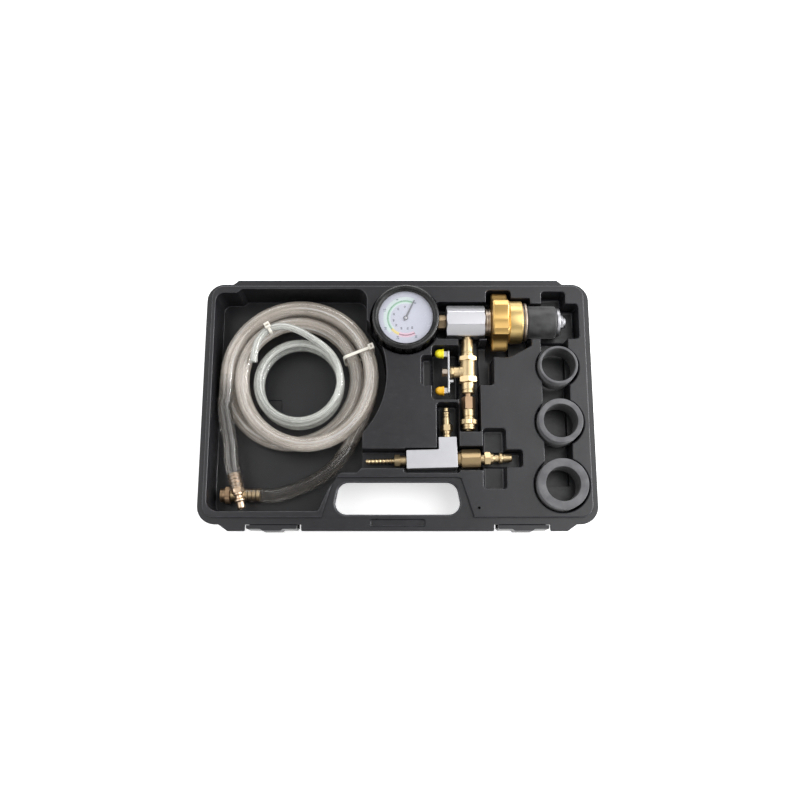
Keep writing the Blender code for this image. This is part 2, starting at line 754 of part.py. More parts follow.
def rim_half():
    """Right half of the rim's outline, from the front to the back."""
    lip = HALF_WIDTH - LIP_FROM_SIDE
    hinge = HALF_WIDTH - HINGE_FROM_SIDE
    latch = HALF_WIDTH - LATCH_FROM_SIDE
    notch = latch - LATCH_TRAVEL - LATCH_OUTER_ROOM
    notch_end = latch + LATCH_LENGTH + LATCH_OUTER_ROOM
    return [
        (notch, -HALF_DEPTH, LIP_ROUND),
        (notch, RIM_FRONT, 0),
        (notch_end, RIM_FRONT, 0),
        (notch_end, -HALF_DEPTH, LIP_ROUND),
        (lip, -HALF_DEPTH, LIP_ROUND),
        (lip + LIP_TAPER, RIM_FRONT, LIP_ROUND),
        (HALF_WIDTH, RIM_FRONT, CORNER_RADIUS),
        (HALF_WIDTH, RIM_BACK, CORNER_RADIUS),
        (hinge + HINGE_TAPER, RIM_BACK, LIP_ROUND),
        (hinge, HALF_DEPTH, LIP_ROUND),
    ]


def bay_corners():
    """Hose bay: a room with a round bulge that follows the coil on its right."""
    reach = COIL_REACH + COIL_ARC_ROOM
    first = -math.acos((-BAY_RIGHT_FRONT - COIL_X) / reach)
    last = math.acos((-BAY_RIGHT_BACK - COIL_X) / reach)
    arc = [(COIL_X + reach * math.cos(angle), COIL_Y + reach * math.sin(angle), 0)
           for angle in [first + (last - first) * step / MEDIUM_STEPS for step in range(MEDIUM_STEPS + 1)]]
    low = HANDLE_BACK + BAY_TOP_RISE
    return [
        (BAY_LEFT, BAY_FRONT, BAY_ROUND_FRONT),
        (-HANDLE_HALF_FRONT - BAY_FRONT_END, BAY_FRONT, POCKET_ROUND),
        (-HANDLE_HALF_BACK - BAY_SIDE_END, HANDLE_BACK - BAY_SIDE_DROP, POCKET_ROUND),
        (-HANDLE_HALF_BACK + BAY_TOP_END, low, POCKET_ROUND),
        (-BAY_RIGHT_FRONT - BAY_RIGHT_CHAMFER, low, SMALL_ROUND),
        (-BAY_RIGHT_FRONT, low + BAY_RIGHT_CHAMFER, SMALL_ROUND),
        *arc,
        (-BAY_RIGHT_BACK, BAY_BACK, BAY_ROUND_FRONT),
        (BAY_LEFT + BAY_BACK_STEP_AT + BAY_STEP_RUN, BAY_BACK, SMALL_ROUND),
        (BAY_LEFT + BAY_BACK_STEP_AT, BAY_BACK - BAY_BACK_STEP, POCKET_ROUND),
        (BAY_LEFT, BAY_BACK - BAY_BACK_STEP, BAY_ROUND_BACK),
    ]


def mark_corners():
    """Shallow oblong let into the bay's floor."""
    x = COIL_X + BAY_MARK_AT[0]
    y = COIL_Y + BAY_MARK_AT[1]
    return box(x - BAY_MARK[0], x + BAY_MARK[0], y - BAY_MARK[1], y + BAY_MARK[1], SMALL_ROUND)


def head_pockets():
    """Pockets for the gauge, body, knob, collar and rubber plug, as (name, corners, floor)."""
    knob = HEAD_AT["star_knob"]
    knob_end = knob + KNOB_LENGTH + PLUG_TRAVEL + LATCH_OUTER_ROOM
    plug = HEAD_AT["rubber_plug"] + PLUG_TRAVEL + LAP
    front = HEAD_Y - KNOB_RADIUS - KNOB_FRONT_ROOM
    end_front = HEAD_Y - PLUG_RADIUS - END_FRONT_ROOM
    end_back = HEAD_Y + PLUG_RADIUS + END_BACK_ROOM
    recess = PLUG_POCKET_RIGHT - END_RECESS_BACK
    collar_front = HEAD_Y - COLLAR_RADIUS - COLLAR_FRONT_ROOM
    return [
        ("gauge", disc(GAUGE_X, HEAD_Y, BOOT_RADIUS + RING_POCKET_ROOM), BOOT_BOTTOM - FACE_GAP),
        ("body", box(GAUGE_X + BOOT_RADIUS - BODY_FRONT_ROOM, knob - KNOB_SIDE_ROOM + LAP,
                     HEAD_Y - BODY_HALF - BODY_FRONT_ROOM, HEAD_Y + BODY_HALF + BODY_BACK_ROOM,
                     POCKET_ROUND), HEAD_HEIGHT - BODY_HALF - FACE_GAP),
        ("knob", box(knob - KNOB_SIDE_ROOM, knob_end, front, HEAD_Y + KNOB_RADIUS + KNOB_BACK_ROOM,
                     POCKET_ROUND), HEAD_HEIGHT - KNOB_RADIUS - FACE_GAP),
        ("collar", [(knob_end - LAP, front + LAP, 0),
                    (knob_end, front + LAP, 0),
                    (plug, collar_front, SMALL_ROUND),
                    (plug, HEAD_Y + COLLAR_RADIUS + COLLAR_BACK_ROOM, SMALL_ROUND),
                    (knob_end - LAP, HEAD_Y + COLLAR_RADIUS + COLLAR_BACK_ROOM, 0)],
         HEAD_HEIGHT - COLLAR_RADIUS - FACE_GAP),
        ("end", box(plug - LAP - POCKET_ROUND, PLUG_POCKET_RIGHT, end_front, end_back, POCKET_ROUND),
         HEAD_HEIGHT - PLUG_RADIUS - FACE_GAP - FACE_GAP),
        ("end_recess", box(recess - END_RECESS[0], recess, end_back - END_RECESS[1] / 2,
                           end_back + END_RECESS_BACK, POCKET_ROUND), HEAD_HEIGHT - END_RECESS_DEPTH),
    ]


def valve_pockets():
    """Trough for the valve, pocket for the lever's swing and the finger recesses beside them."""
    left = VALVE_X - TROUGH_SIDES[0]
    right = VALVE_X + TROUGH_SIDES[1]
    lever = HEAD_Y - LEVER_DOWN
    pocket = VALVE_X - LEVER_POCKET_LEFT
    return [
        ("trough", box(left, right, HEAD_Y - COUPLER_MOUTH - TROUGH_END_ROOM,
                       HEAD_Y - BODY_HALF - BODY_FRONT_ROOM + LAP, SMALL_ROUND), HEAD_HEIGHT - TROUGH_DEPTH),
        ("lever", box(pocket, left + LAP, lever - LEVER_HALF_SPAN - LEVER_FRONT_ROOM,
                      lever + LEVER_HALF_SPAN + LEVER_BACK_ROOM, POCKET_ROUND),
         HEAD_HEIGHT - LEVER_POCKET_DEPTH),
        ("ledge", box(pocket - LEDGE_WIDTH, pocket + LAP, lever - LEDGE_HALF, lever + LEDGE_HALF,
                      POCKET_ROUND), HEAD_HEIGHT - LEDGE_DEPTH),
        ("valve_recess", box(right - LAP, VALVE_X + VALVE_RECESS, lever - VALVE_RECESS_FRONT,
                             lever + VALVE_RECESS_BACK, POCKET_ROUND), CHANNEL_FLOOR),
    ]


def venturi_pockets():
    """Pockets for the block, its nipple, its barb, the one way hex and the air plug."""
    half = BLOCK_LENGTH / 2
    floor = BLOCK_CENTRE_HEIGHT - BLOCK_HEIGHT / 2 - FACE_GAP
    left = BLOCK_X - half - BLOCK_ROOM_SIDE
    right = BLOCK_X + half + BLOCK_ROOM_SIDE
    back = BLOCK_Y + BLOCK_WIDTH / 2 + BLOCK_ROOM_BACK
    port = BLOCK_X + half - BLOCK_ARM_WIDTH / 2
    air_end = right + AIR_NECK_LENGTH + AIR_HEX_LENGTH
    plug_end = BLOCK_X + half + AIR_NECK_LENGTH + AIR_HEX_LENGTH + AIR_PLUG_NECK_LENGTH
    plug_end += AIR_PLUG_HEX_LENGTH + AIR_PLUG_LENGTH + AIR_PLUG_ROOM
    return [
        ("block", box(left, right, BLOCK_Y - BLOCK_WIDTH / 2 - BLOCK_ROOM_FRONT, back, SMALL_ROUND), floor),
        ("nipple", box(port - NIPPLE_POCKET_HALF, port + NIPPLE_POCKET_HALF, back - LAP - POCKET_ROUND,
                       BLOCK_Y + NIPPLE_POCKET_LENGTH, POCKET_ROUND), floor - NIPPLE_POCKET_DROP),
        ("barb", box(BLOCK_X - BARB_CHANNEL_LEFT, left + LAP, BLOCK_Y - BARB_CHANNEL_HALF,
                     BLOCK_Y + BARB_CHANNEL_HALF, SMALL_ROUND), FITTING_FLOOR),
        ("air", box(right - LAP, air_end, BLOCK_Y - AIR_CHANNEL_FRONT,
                    BLOCK_Y + AIR_CHANNEL_BACK, SMALL_ROUND),
         BLOCK_CENTRE_HEIGHT - AIR_HEX_CORNER - FACE_GAP),
        ("air_plug", box(air_end - LAP, plug_end, BLOCK_Y - AIR_PLUG_CHANNEL, BLOCK_Y + AIR_PLUG_CHANNEL,
                         POCKET_ROUND), FITTING_FLOOR + FACE_GAP),
        ("finger", box(BLOCK_X + FINGER_RECESS[0], BLOCK_X + FINGER_RECESS[1], BLOCK_Y - FINGER_HALF,
                       BLOCK_Y + FINGER_HALF, POCKET_ROUND), FINGER_FLOOR),
    ]


def ring_places():
    """Centre of each adapter ring along Y, the largest at the front."""
    places = {}
    front = -HALF_DEPTH + FRONT_LIP + RING_FRONT_WALL
    for name in ("large", "medium", "small"):
        reach = RING_RADII[name] + RING_POCKET_ROOM
        places[name] = front + reach
        front += 2 * reach + RING_POCKET_GAP
    return places


def ring_pockets():
    """Round pockets for the rings and the finger channel through them."""
    places = ring_places()
    pockets = [("ring_" + name, disc(RING_X, y, RING_RADII[name] + RING_POCKET_ROOM),
                RING_BOTTOM - FACE_GAP) for name, y in places.items()]
    top = HEAD_Y - PLUG_RADIUS - END_FRONT_ROOM + LAP
    channel = box(RING_X - CHANNEL_LEFT, RING_X + CHANNEL_RIGHT, places["large"], top, SMALL_ROUND)
    return pockets + [("ring_channel", channel, CHANNEL_FLOOR + FACE_GAP)]


def handle_corners():
    """Hand opening behind the carrying bar."""
    return [
        (-HANDLE_HALF_FRONT, HANDLE_FRONT, HANDLE_ROUND),
        (HANDLE_HALF_FRONT, HANDLE_FRONT, HANDLE_ROUND),
        (HANDLE_HALF_BACK, HANDLE_BACK, HANDLE_ROUND),
        (-HANDLE_HALF_BACK, HANDLE_BACK, HANDLE_ROUND),
    ]


def step_corners():
    """Lower area of the deck around the hand opening."""
    front = -HALF_DEPTH - OVERRUN
    wide = HANDLE_HALF_FRONT + HANDLE_STEP_FLARE
    narrow = HANDLE_HALF_BACK + HANDLE_STEP_SIDE
    back = HANDLE_BACK + HANDLE_STEP_BACK
    return [(-wide, front, 0), (wide, front, 0), (wide, RIM_FRONT, 0), (narrow, HANDLE_BACK, 0),
            (narrow - HANDLE_STEP_SIDE, back, 0), (HANDLE_STEP_SIDE - narrow, back, 0),
            (-narrow, HANDLE_BACK, 0), (-wide, RIM_FRONT, 0)]


def slot_corners():
    """Shallow slot along the carrying bar."""
    front = -HALF_DEPTH + BACK_LIP
    return box(-BAR_SLOT_HALF, BAR_SLOT_HALF, front, front + BAR_SLOT_WIDTH, SMALL_ROUND)


def pocket_list():
    """Every pocket of the tray as (name, corners, floor)."""
    return [
        ("bay", bay_corners(), BAY_FLOOR),
        ("mark", mark_corners(), BAY_FLOOR - BAY_MARK_DEPTH),
        *head_pockets(),
        *valve_pockets(),
        *venturi_pockets(),
        *ring_pockets(),
        ("slot", slot_corners(), RIM_HEIGHT - BAR_SLOT_DEPTH),
    ]


def pocket_tool(name, corners, floor, grow=0.0):
    """Cutter for a pocket, a little narrower at its floor; grow adds a wall all round."""
    outline = rounded(corners)
    top = DECK_HEIGHT + OVERRUN
    sections = [(offset(outline, grow - POCKET_DRAFT), floor - min(grow, WALL)), (offset(outline, grow), top)]
    return loft(name + ("_wall" if grow else "_pocket"), sections)


def skirt_sections(inset, bottom, top):
    """Outlines of the case's outside below the rim, inset by a wall for the hollow inside."""
    outline = rounded(box(-HALF_WIDTH, HALF_WIDTH, RIM_FRONT, RIM_BACK, CORNER_RADIUS))
    foot = SKIRT_INSET + BASE_DRAFT
    return [
        (offset(outline, -foot - BASE_ROUND), bottom),
        (offset(outline, -foot - inset), bottom + BASE_ROUND),
        (offset(outline, -SKIRT_INSET - inset), top),
    ]


def deck_sections():
    """Raised deck inside the rim."""
    outline = rounded(box(DECK_INSET - HALF_WIDTH, HALF_WIDTH - DECK_INSET, RIM_FRONT + DECK_FRONT_INSET,
                          RIM_BACK - DECK_BACK_INSET, CORNER_RADIUS - DECK_INSET))
    return [(outline, RIM_HEIGHT - DECK_ROUND), (outline, DECK_HEIGHT - DECK_ROUND),
            (offset(outline, -DECK_ROUND), DECK_HEIGHT)]


def rim_sections():
    """Flat rim that the lid meets, with the hinge ledge behind and the lip in front."""
    half = rim_half()
    outline = rounded(half + [(-x, y, radius) for x, y, radius in reversed(half)])
    low = RIM_HEIGHT - RIM_THICK
    return [(offset(outline, -DECK_ROUND / 2), low), (outline, low + DECK_ROUND / 2),
            (outline, RIM_HEIGHT - DECK_ROUND / 2), (offset(outline, -DECK_ROUND / 2), RIM_HEIGHT)]


def latch_rail(side):
    """T shaped rail on the front wall that a latch slides on."""
    middle = (HALF_WIDTH - LATCH_FROM_SIDE + LATCH_LENGTH / 2 - LATCH_TRAVEL / 2) * side
    half = LATCH_LENGTH / 2
    rail_z = RIM_HEIGHT - RIM_THICK - LATCH_HEIGHT / 2
    root = RIM_FRONT + SKIRT_INSET + BASE_DRAFT + WALL / 2
    face = RIM_FRONT - LATCH_BACK - RAIL_NECK
    neck = prism("rail_neck", box(middle - half, middle + half, face - RAIL_HEAD / 2, root, 0),
                 rail_z - RAIL_NECK_HALF, rail_z + RAIL_NECK_HALF)
    head = prism("rail_head", box(middle - half, middle + half, face - RAIL_HEAD, face, 0),
                 rail_z - RAIL_HEAD_HALF, rail_z + RAIL_HEAD_HALF)
    return [neck, head]


def build_case():
    """Base half of the case: a double wall, closed but for the blow hole."""
    case = loft("case_base", skirt_sections(0, 0, RIM_HEIGHT - RIM_THICK / 2))
    rails = latch_rail(1) + latch_rail(-1)
    fuse(case, [loft("rim", rim_sections()), loft("deck", deck_sections()), *rails])
    step = prism("handle_step", step_corners(), RIM_HEIGHT + STEP_LIFT, DECK_HEIGHT + OVERRUN)
    hand = prism("hand_opening", handle_corners(), -OVERRUN, DECK_HEIGHT + OVERRUN)
    pockets = [pocket_tool(*pocket) for pocket in pocket_list()]
    hollow = loft("hollow", skirt_sections(WALL, WALL, RIM_HEIGHT - WALL))
    outline = offset(rounded(handle_corners()), WALL)
    walls = [loft("hand_wall", [(outline, -OVERRUN), (outline, DECK_HEIGHT)])]
    walls += [pocket_tool(*pocket, grow=WALL + CAVITY_MARGIN) for pocket in pocket_list()]
    carve(hollow, walls)
    hole_x = HANDLE_HALF_FRONT + BLOW_HOLE_FROM_HANDLE
    hole = prism("blow_hole", disc(hole_x, HANDLE_FRONT + BLOW_HOLE_UP, BLOW_HOLE, SMALL_STEPS),
                 RIM_HEIGHT - WALL - OVERRUN, DECK_HEIGHT + OVERRUN)
    carve(case, [step, hand, *pockets, hollow, hole])
    finish(case, "moulded_black")


def latch_corners(side):
    """Outline of a latch from above, its front swelling to a thumb grip."""
    inner = HALF_WIDTH - LATCH_FROM_SIDE
    outer = inner + LATCH_LENGTH
    middle = (inner + outer) / 2
    front = -HALF_DEPTH + LATCH_PROUD
    flat = front + LATCH_BUMP
    back = RIM_FRONT - LATCH_BACK + FACE_GAP
    half = [(inner, back, 0), (inner, flat, LIP_ROUND), (middle - LATCH_BUMP_HALF, flat, LIP_ROUND),
            (middle - LATCH_BUMP_HALF + LATCH_BUMP, front, LIP_ROUND),
            (middle + LATCH_BUMP_HALF - LATCH_BUMP, front, LIP_ROUND),
            (middle + LATCH_BUMP_HALF, flat, LIP_ROUND), (outer, flat, LIP_ROUND), (outer, back, 0)]
    if side > 0:
        return half
    return [(-x, y, radius) for x, y, radius in reversed(half)]


def build_latches():
    """Sliding latches on their rails."""
    rail_z = RIM_HEIGHT - RIM_THICK - LATCH_HEIGHT / 2
    low = rail_z - LATCH_HEIGHT / 2
    face = RIM_FRONT - LATCH_BACK - RAIL_NECK
    for name, side in (("latch_right", 1), ("latch_left", -1)):
        latch = prism(name, latch_corners(side), low, RIM_HEIGHT - LATCH_TOP_DROP)
        reach = HALF_WIDTH
        neck = prism(name + "_neck", box(-reach, reach, face, RIM_FRONT, 0),
                     rail_z - RAIL_NECK_HALF - FACE_GAP, rail_z + RAIL_NECK_HALF + FACE_GAP)
        head = prism(name + "_head", box(-reach, reach, face - RAIL_HEAD - FACE_GAP, face + FACE_GAP, 0),
                     rail_z - RAIL_HEAD_HALF - FACE_GAP, rail_z + RAIL_HEAD_HALF + FACE_GAP)
        carve(latch, [neck, head])
        finish(latch, "moulded_black")


def boot_outline(radius, depth):
    """Round outline with upright ribs; depth is that of the grooves between them."""
    outline = []
    for rib in range(BOOT_RIBS):
        for share, low in BOOT_RIB_SHARES:
            angle = TURN * (rib + share) / BOOT_RIBS
            reach = radius - low * depth
            outline.append(Vector((reach * math.cos(angle), reach * math.sin(angle))))
    return outline


def build_boot(centre):
    """Ribbed rubber boot round the gauge, with a notch for the adapter nut."""
    foot = BOOT_CHAMFER / 2
    sections = [
        (boot_outline(BOOT_RADIUS - foot, BOOT_RIB_DEPTH), BOOT_BOTTOM),
        (boot_outline(BOOT_RADIUS, BOOT_RIB_DEPTH), BOOT_BOTTOM + foot),
        (boot_outline(BOOT_RADIUS, BOOT_RIB_DEPTH), BOOT_TOP - 2 * BOOT_CHAMFER),
        (boot_outline(BOOT_RADIUS, 0), BOOT_TOP - BOOT_CHAMFER),
        (boot_outline(BOOT_RADIUS - BOOT_CHAMFER, 0), BOOT_TOP),
    ]
    boot = loft("gauge_boot", sections, place=centre)
    inside = BOOT_RADIUS - BOOT_WALL
    floor = BOOT_BOTTOM + BOOT_FLOOR
    mouth = inside - BOOT_LIP_WIDTH
    profile = [(0, BOOT_TOP + OVERRUN), (mouth, BOOT_TOP + OVERRUN), (mouth, BOOT_TOP - BOOT_LIP),
               (inside, BOOT_TOP - BOOT_LIP), (inside, floor), (0, floor)]
    room = turned("boot_room", profile, LARGE_STEPS, place=centre)
    notch = turned("boot_notch", rod(BOOT_NOTCH, CAN_RADIUS - CAN_WALL, BOOT_RADIUS + OVERRUN),
                   place=(GAUGE_X, HEAD_Y, HEAD_HEIGHT), axis="X")
    carve(boot, [room, notch])
    finish(boot, "boot_rubber")


def build_gauge_case(centre):
    """Pressed can, the bezel that closes it, the dial and the lens."""
    bottom = BOOT_BOTTOM + BOOT_FLOOR + FACE_GAP
    inside = CAN_RADIUS - CAN_WALL
    profile = [(0, bottom + CAN_WALL), (inside, bottom + CAN_WALL), (inside, CAN_TOP), (CAN_RADIUS, CAN_TOP),
               (CAN_RADIUS, bottom), (0, bottom)]
    can = turned("gauge_case", profile, LARGE_STEPS, place=centre)
    hole = turned("stem_hole", rod(STEM_RADIUS + FACE_GAP, STEM_BLOCK_IN, BOOT_RADIUS),
                  place=(GAUGE_X, HEAD_Y, HEAD_HEIGHT), axis="X")
    carve(can, [hole])
    finish(can, "dark_steel")
    seat = CAN_RADIUS - BEZEL_SEAT_WIDTH
    mouth = seat - BEZEL_LIP_WIDTH
    lip = BEZEL_TOP - BEZEL_LIP
    profile = [(CAN_RADIUS, BEZEL_TOP), (CAN_RADIUS, BEZEL_BOTTOM), (seat, BEZEL_BOTTOM), (seat, lip),
               (mouth, lip), (mouth, BEZEL_TOP)]
    finish(turned("gauge_bezel", profile, LARGE_STEPS, place=centre), "dark_steel")
    lens_top = lip - FACE_GAP
    lens = turned("gauge_lens", rod(seat - FACE_GAP, lens_top - LENS_THICK, lens_top), LARGE_STEPS,
                  place=centre)
    finish(lens, "lens_clear")
    dial = turned("gauge_dial", rod(inside - FACE_GAP, DIAL_TOP - DIAL_THICK, DIAL_TOP), LARGE_STEPS,
                  place=centre)
    carve(dial, [turned("dial_hole", rod(DIAL_HOLE, DIAL_TOP - DIAL_THICK - OVERRUN, DIAL_TOP + OVERRUN),
                        SMALL_STEPS, place=centre)])
    finish(dial, "dial_white")


def build_gauge_works(centre):
    """What moves the needle: stem, bent pressure tube, movement and the needle on its shaft."""
    axis_place = (GAUGE_X, HEAD_Y, HEAD_HEIGHT)
    nut_in = HEAD_AT["gauge_adapter_nut"] - GAUGE_X + STEM_IN_NUT
    stem = turned("gauge_stem", rod(STEM_RADIUS, STEM_BLOCK_IN + LAP, nut_in), place=axis_place, axis="X")
    block = prism("stem_block", box(STEM_BLOCK_IN, STEM_BLOCK_IN + STEM_BLOCK_LENGTH, -STEM_RADIUS,
                                    STEM_RADIUS, 0), -STEM_RADIUS, STEM_RADIUS, place=axis_place)
    fuse(stem, [block])
    carve(stem, [turned("stem_bore", rod(STEM_BORE, STEM_BLOCK_IN + STEM_BORE, nut_in + OVERRUN), SMALL_STEPS,
                        place=axis_place, axis="X")])
    finish(stem, "brass")
    first = math.asin((STEM_RADIUS + FACE_GAP + BOURDON_TUBE / 2) / BOURDON_RADIUS)
    x = BOURDON_RADIUS * math.cos(first)
    points = [(GAUGE_X + x, HEAD_Y + STEM_RADIUS + FACE_GAP, HEAD_HEIGHT)]
    for step in range(BOURDON_POINTS):
        angle = first + BOURDON_SWEEP * step / (BOURDON_POINTS - 1)
        points.append((GAUGE_X + BOURDON_RADIUS * math.cos(angle), HEAD_Y + BOURDON_RADIUS * math.sin(angle),
                       HEAD_HEIGHT))
    finish(tube("bourdon_tube", points, BOURDON_TUBE, 1), "bronze")
    low = HEAD_HEIGHT + STEM_RADIUS + FACE_GAP
    high = DIAL_TOP - DIAL_THICK - FACE_GAP
    half = MOVEMENT_WIDTH / 2
    movement = prism("gauge_movement", box(-MOVEMENT_BACK, MOVEMENT_LENGTH - MOVEMENT_BACK, -half, half,
                                           SMALL_ROUND), low, high, place=centre)
    shaft_end = DIAL_TOP + NEEDLE_LIFT - NEEDLE_SHAFT_LENGTH
    carve(movement, [turned("shaft_bore", rod(NEEDLE_SHAFT + FACE_GAP, shaft_end - FACE_GAP,
                                              high + OVERRUN), SMALL_STEPS, place=centre)])
    finish(movement, "brass")
    low = DIAL_TOP + NEEDLE_LIFT
    hub_top = low + 2 * NEEDLE_THICK
    needle = turned("gauge_needle", [(0, hub_top), (NEEDLE_HUB, hub_top), (NEEDLE_HUB, low),
                                     (NEEDLE_SHAFT, low), (NEEDLE_SHAFT, shaft_end), (0, shaft_end)],
                    SMALL_STEPS, place=centre)
    corners = [(-NEEDLE_TAIL, -NEEDLE_WIDTH / 2, 0), (NEEDLE_REACH, -NEEDLE_TIP / 2, 0),
               (NEEDLE_REACH, NEEDLE_TIP / 2, 0), (-NEEDLE_TAIL, NEEDLE_WIDTH / 2, 0)]
    fuse(needle, [prism("pointer", corners, low + NEEDLE_THICK / 2, low + NEEDLE_THICK * 3 / 2,
                        place=centre, spin=NEEDLE_ANGLE)])
    finish(needle, "needle_black")


def head_piece(name, profile, key, steps=MEDIUM_STEPS, spin=0.0):
    """Turned piece of the head, its profile measured from the piece's own start along X."""
    item = turned(name, profile, steps, place=(HEAD_AT[name], HEAD_Y, HEAD_HEIGHT), axis="X", spin=spin)
    finish(item, key)
    return item


def build_body():
    """Adapter nut, eight sided body block, neck ring and the tube that all else sits on."""
    adapter = head_piece("gauge_adapter_nut", rod(NUT_CORNER, 0, NUT_LENGTH, NUT_CHAMFER), "bronze",
                     HEX_STEPS, TURN / HEX_STEPS / 2)
    where = {"place": (HEAD_AT["gauge_adapter_nut"], HEAD_Y, HEAD_HEIGHT), "axis": "X"}
    spigot_end = NUT_LENGTH + NUT_SPIGOT_LENGTH
    fuse(adapter, [turned("nut_spigot", rod(NUT_SPIGOT, STEM_IN_NUT + LAP, spigot_end), **where)])
    socket = rod(STEM_RADIUS + FACE_GAP, -OVERRUN, STEM_IN_NUT + FACE_GAP)
    carve(adapter, [turned("nut_socket", socket, **where),
                    turned("nut_port", rod(NUT_PORT, STEM_IN_NUT, spigot_end + OVERRUN), **where)])
    corner = BODY_HALF / math.cos(TURN / OCTAGON_STEPS / 2)
    body = head_piece("body_block", rod(corner, 0, BODY_LENGTH, BODY_CHAMFER), "bright_aluminium",
                      OCTAGON_STEPS, TURN / OCTAGON_STEPS / 2)
    where["place"] = (HEAD_AT["body_block"], HEAD_Y, HEAD_HEIGHT)
    tube_start = BODY_LENGTH - TUBE_IN_BODY
    socket = NUT_SPIGOT + FACE_GAP
    steps = [(0, BODY_LENGTH + OVERRUN), (TUBE_RADIUS + FACE_GAP, BODY_LENGTH + OVERRUN),
             (TUBE_RADIUS + FACE_GAP, tube_start - FACE_GAP), (BODY_BORE, tube_start - FACE_GAP),
             (BODY_BORE, NUT_SPIGOT_LENGTH + FACE_GAP), (socket, NUT_SPIGOT_LENGTH + FACE_GAP),
             (socket, -OVERRUN), (0, -OVERRUN)]
    port = turned("valve_port", rod(NIPPLE_RADIUS + FACE_GAP, 0, BODY_ACROSS),
                  place=(VALVE_X, HEAD_Y, HEAD_HEIGHT), axis="-Y")
    carve(body, [turned("body_bores", steps, **where), port])
    bore = TUBE_RADIUS + FACE_GAP
    head_piece("neck_ring", sleeve(NECK_RADIUS, bore, 0, NECK_LENGTH, NECK_CHAMFER), "satin_aluminium")
    start = HEAD_AT["body_block"] + tube_start
    draw = turned("draw_tube", sleeve(TUBE_RADIUS, TUBE_BORE, 0, TUBE_END - start),
                  place=(start, HEAD_Y, HEAD_HEIGHT), axis="X")
    finish(draw, "brass")


def nut(name, corner, bore, start, end, **where):
    """Six sided brass nut with a round bore."""
    item = turned(name, rod(corner, start, end), HEX_STEPS, **where)
    carve(item, [turned(name + "_bore", rod(bore, start - OVERRUN, end + OVERRUN), **where)])
    finish(item, "brass")


def knob_outline(radius):
    """Outline of the star knob, hollow scallops with flat lands between them."""
    outline = []
    for step in range(KNOB_LOBES * KNOB_LOBE_POINTS):
        across = abs(2 * (step % KNOB_LOBE_POINTS) / KNOB_LOBE_POINTS - 1) / (1 - KNOB_LAND_SHARE)
        angle = KNOB_PHASE + TURN * (step / KNOB_LOBE_POINTS + 1 / 2) / KNOB_LOBES
        reach = radius - KNOB_LOBE_DEPTH * max(0, 1 - across ** 2)
        outline.append(Vector((reach * math.cos(angle), reach * math.sin(angle))))
    return outline


def build_expander():
    """Star knob, collar, washers, rubber plug and end nut on the tube."""
    bore = TUBE_RADIUS + FACE_GAP
    full, slim = knob_outline(KNOB_RADIUS), knob_outline(KNOB_RADIUS - KNOB_CHAMFER)
    where = {"place": (HEAD_AT["star_knob"], HEAD_Y, HEAD_HEIGHT), "axis": "X"}
    knob = loft("star_knob", [(slim, 0), (full, KNOB_CHAMFER), (full, KNOB_LENGTH - KNOB_CHAMFER),
                              (slim, KNOB_LENGTH)], **where)
    carve(knob, [turned("knob_bore", rod(bore, -OVERRUN, KNOB_LENGTH + OVERRUN), **where)])
    finish(knob, "gold_anodised")
    head_piece("pressure_collar", sleeve(COLLAR_RADIUS, bore, 0, COLLAR_LENGTH, COLLAR_CHAMFER),
               "gold_anodised")
    head_piece("thrust_ring", sleeve(THRUST_RADIUS, bore, 0, THRUST_LENGTH), "dark_steel")
    head_piece("front_washer", sleeve(WASHER_RADIUS, bore, 0, WASHER_LENGTH, WASHER_CHAMFER),
               "bright_aluminium")
    head_piece("rubber_plug", sleeve(PLUG_RADIUS, bore, 0, PLUG_LENGTH, PLUG_CHAMFER), "plug_rubber")
    head_piece("end_washer", sleeve(END_WASHER_RADIUS, bore, 0, END_WASHER_LENGTH, WASHER_CHAMFER),
               "bright_aluminium")
    nut("end_nut", END_NUT_CORNER, bore, 0, END_NUT_LENGTH, place=(HEAD_AT["end_nut"], HEAD_Y, HEAD_HEIGHT),
        axis="X", spin=TURN / HEX_STEPS / 2)


def fitting(name, side, hexes, bore, key, **where):
    """Turned fitting: outer side from tip to root, hexes as (corner, start, end), a bore right through."""
    tip, root = side[0][1], side[-1][1]
    item = turned(name, [(0, tip), *side, (0, root)], SMALL_STEPS, **where)
    for index, (corner, start, end) in enumerate(hexes):
        fuse(item, [turned(f"{name}_hex_{index}", rod(corner, start, end), HEX_STEPS,
                           **{**where, "spin": TURN / HEX_STEPS / 2})])
    carve(item, [turned(name + "_bore", rod(bore, root - OVERRUN, tip + OVERRUN), SMALL_STEPS, **where)])
    finish(item, key)
    return item


def quick_plug(radius, root, length):
    """Outer side of a quick plug from its tip to its root."""
    return [(radius * wide, root + length * far) for far, wide in QUICK_PLUG_SHARES]


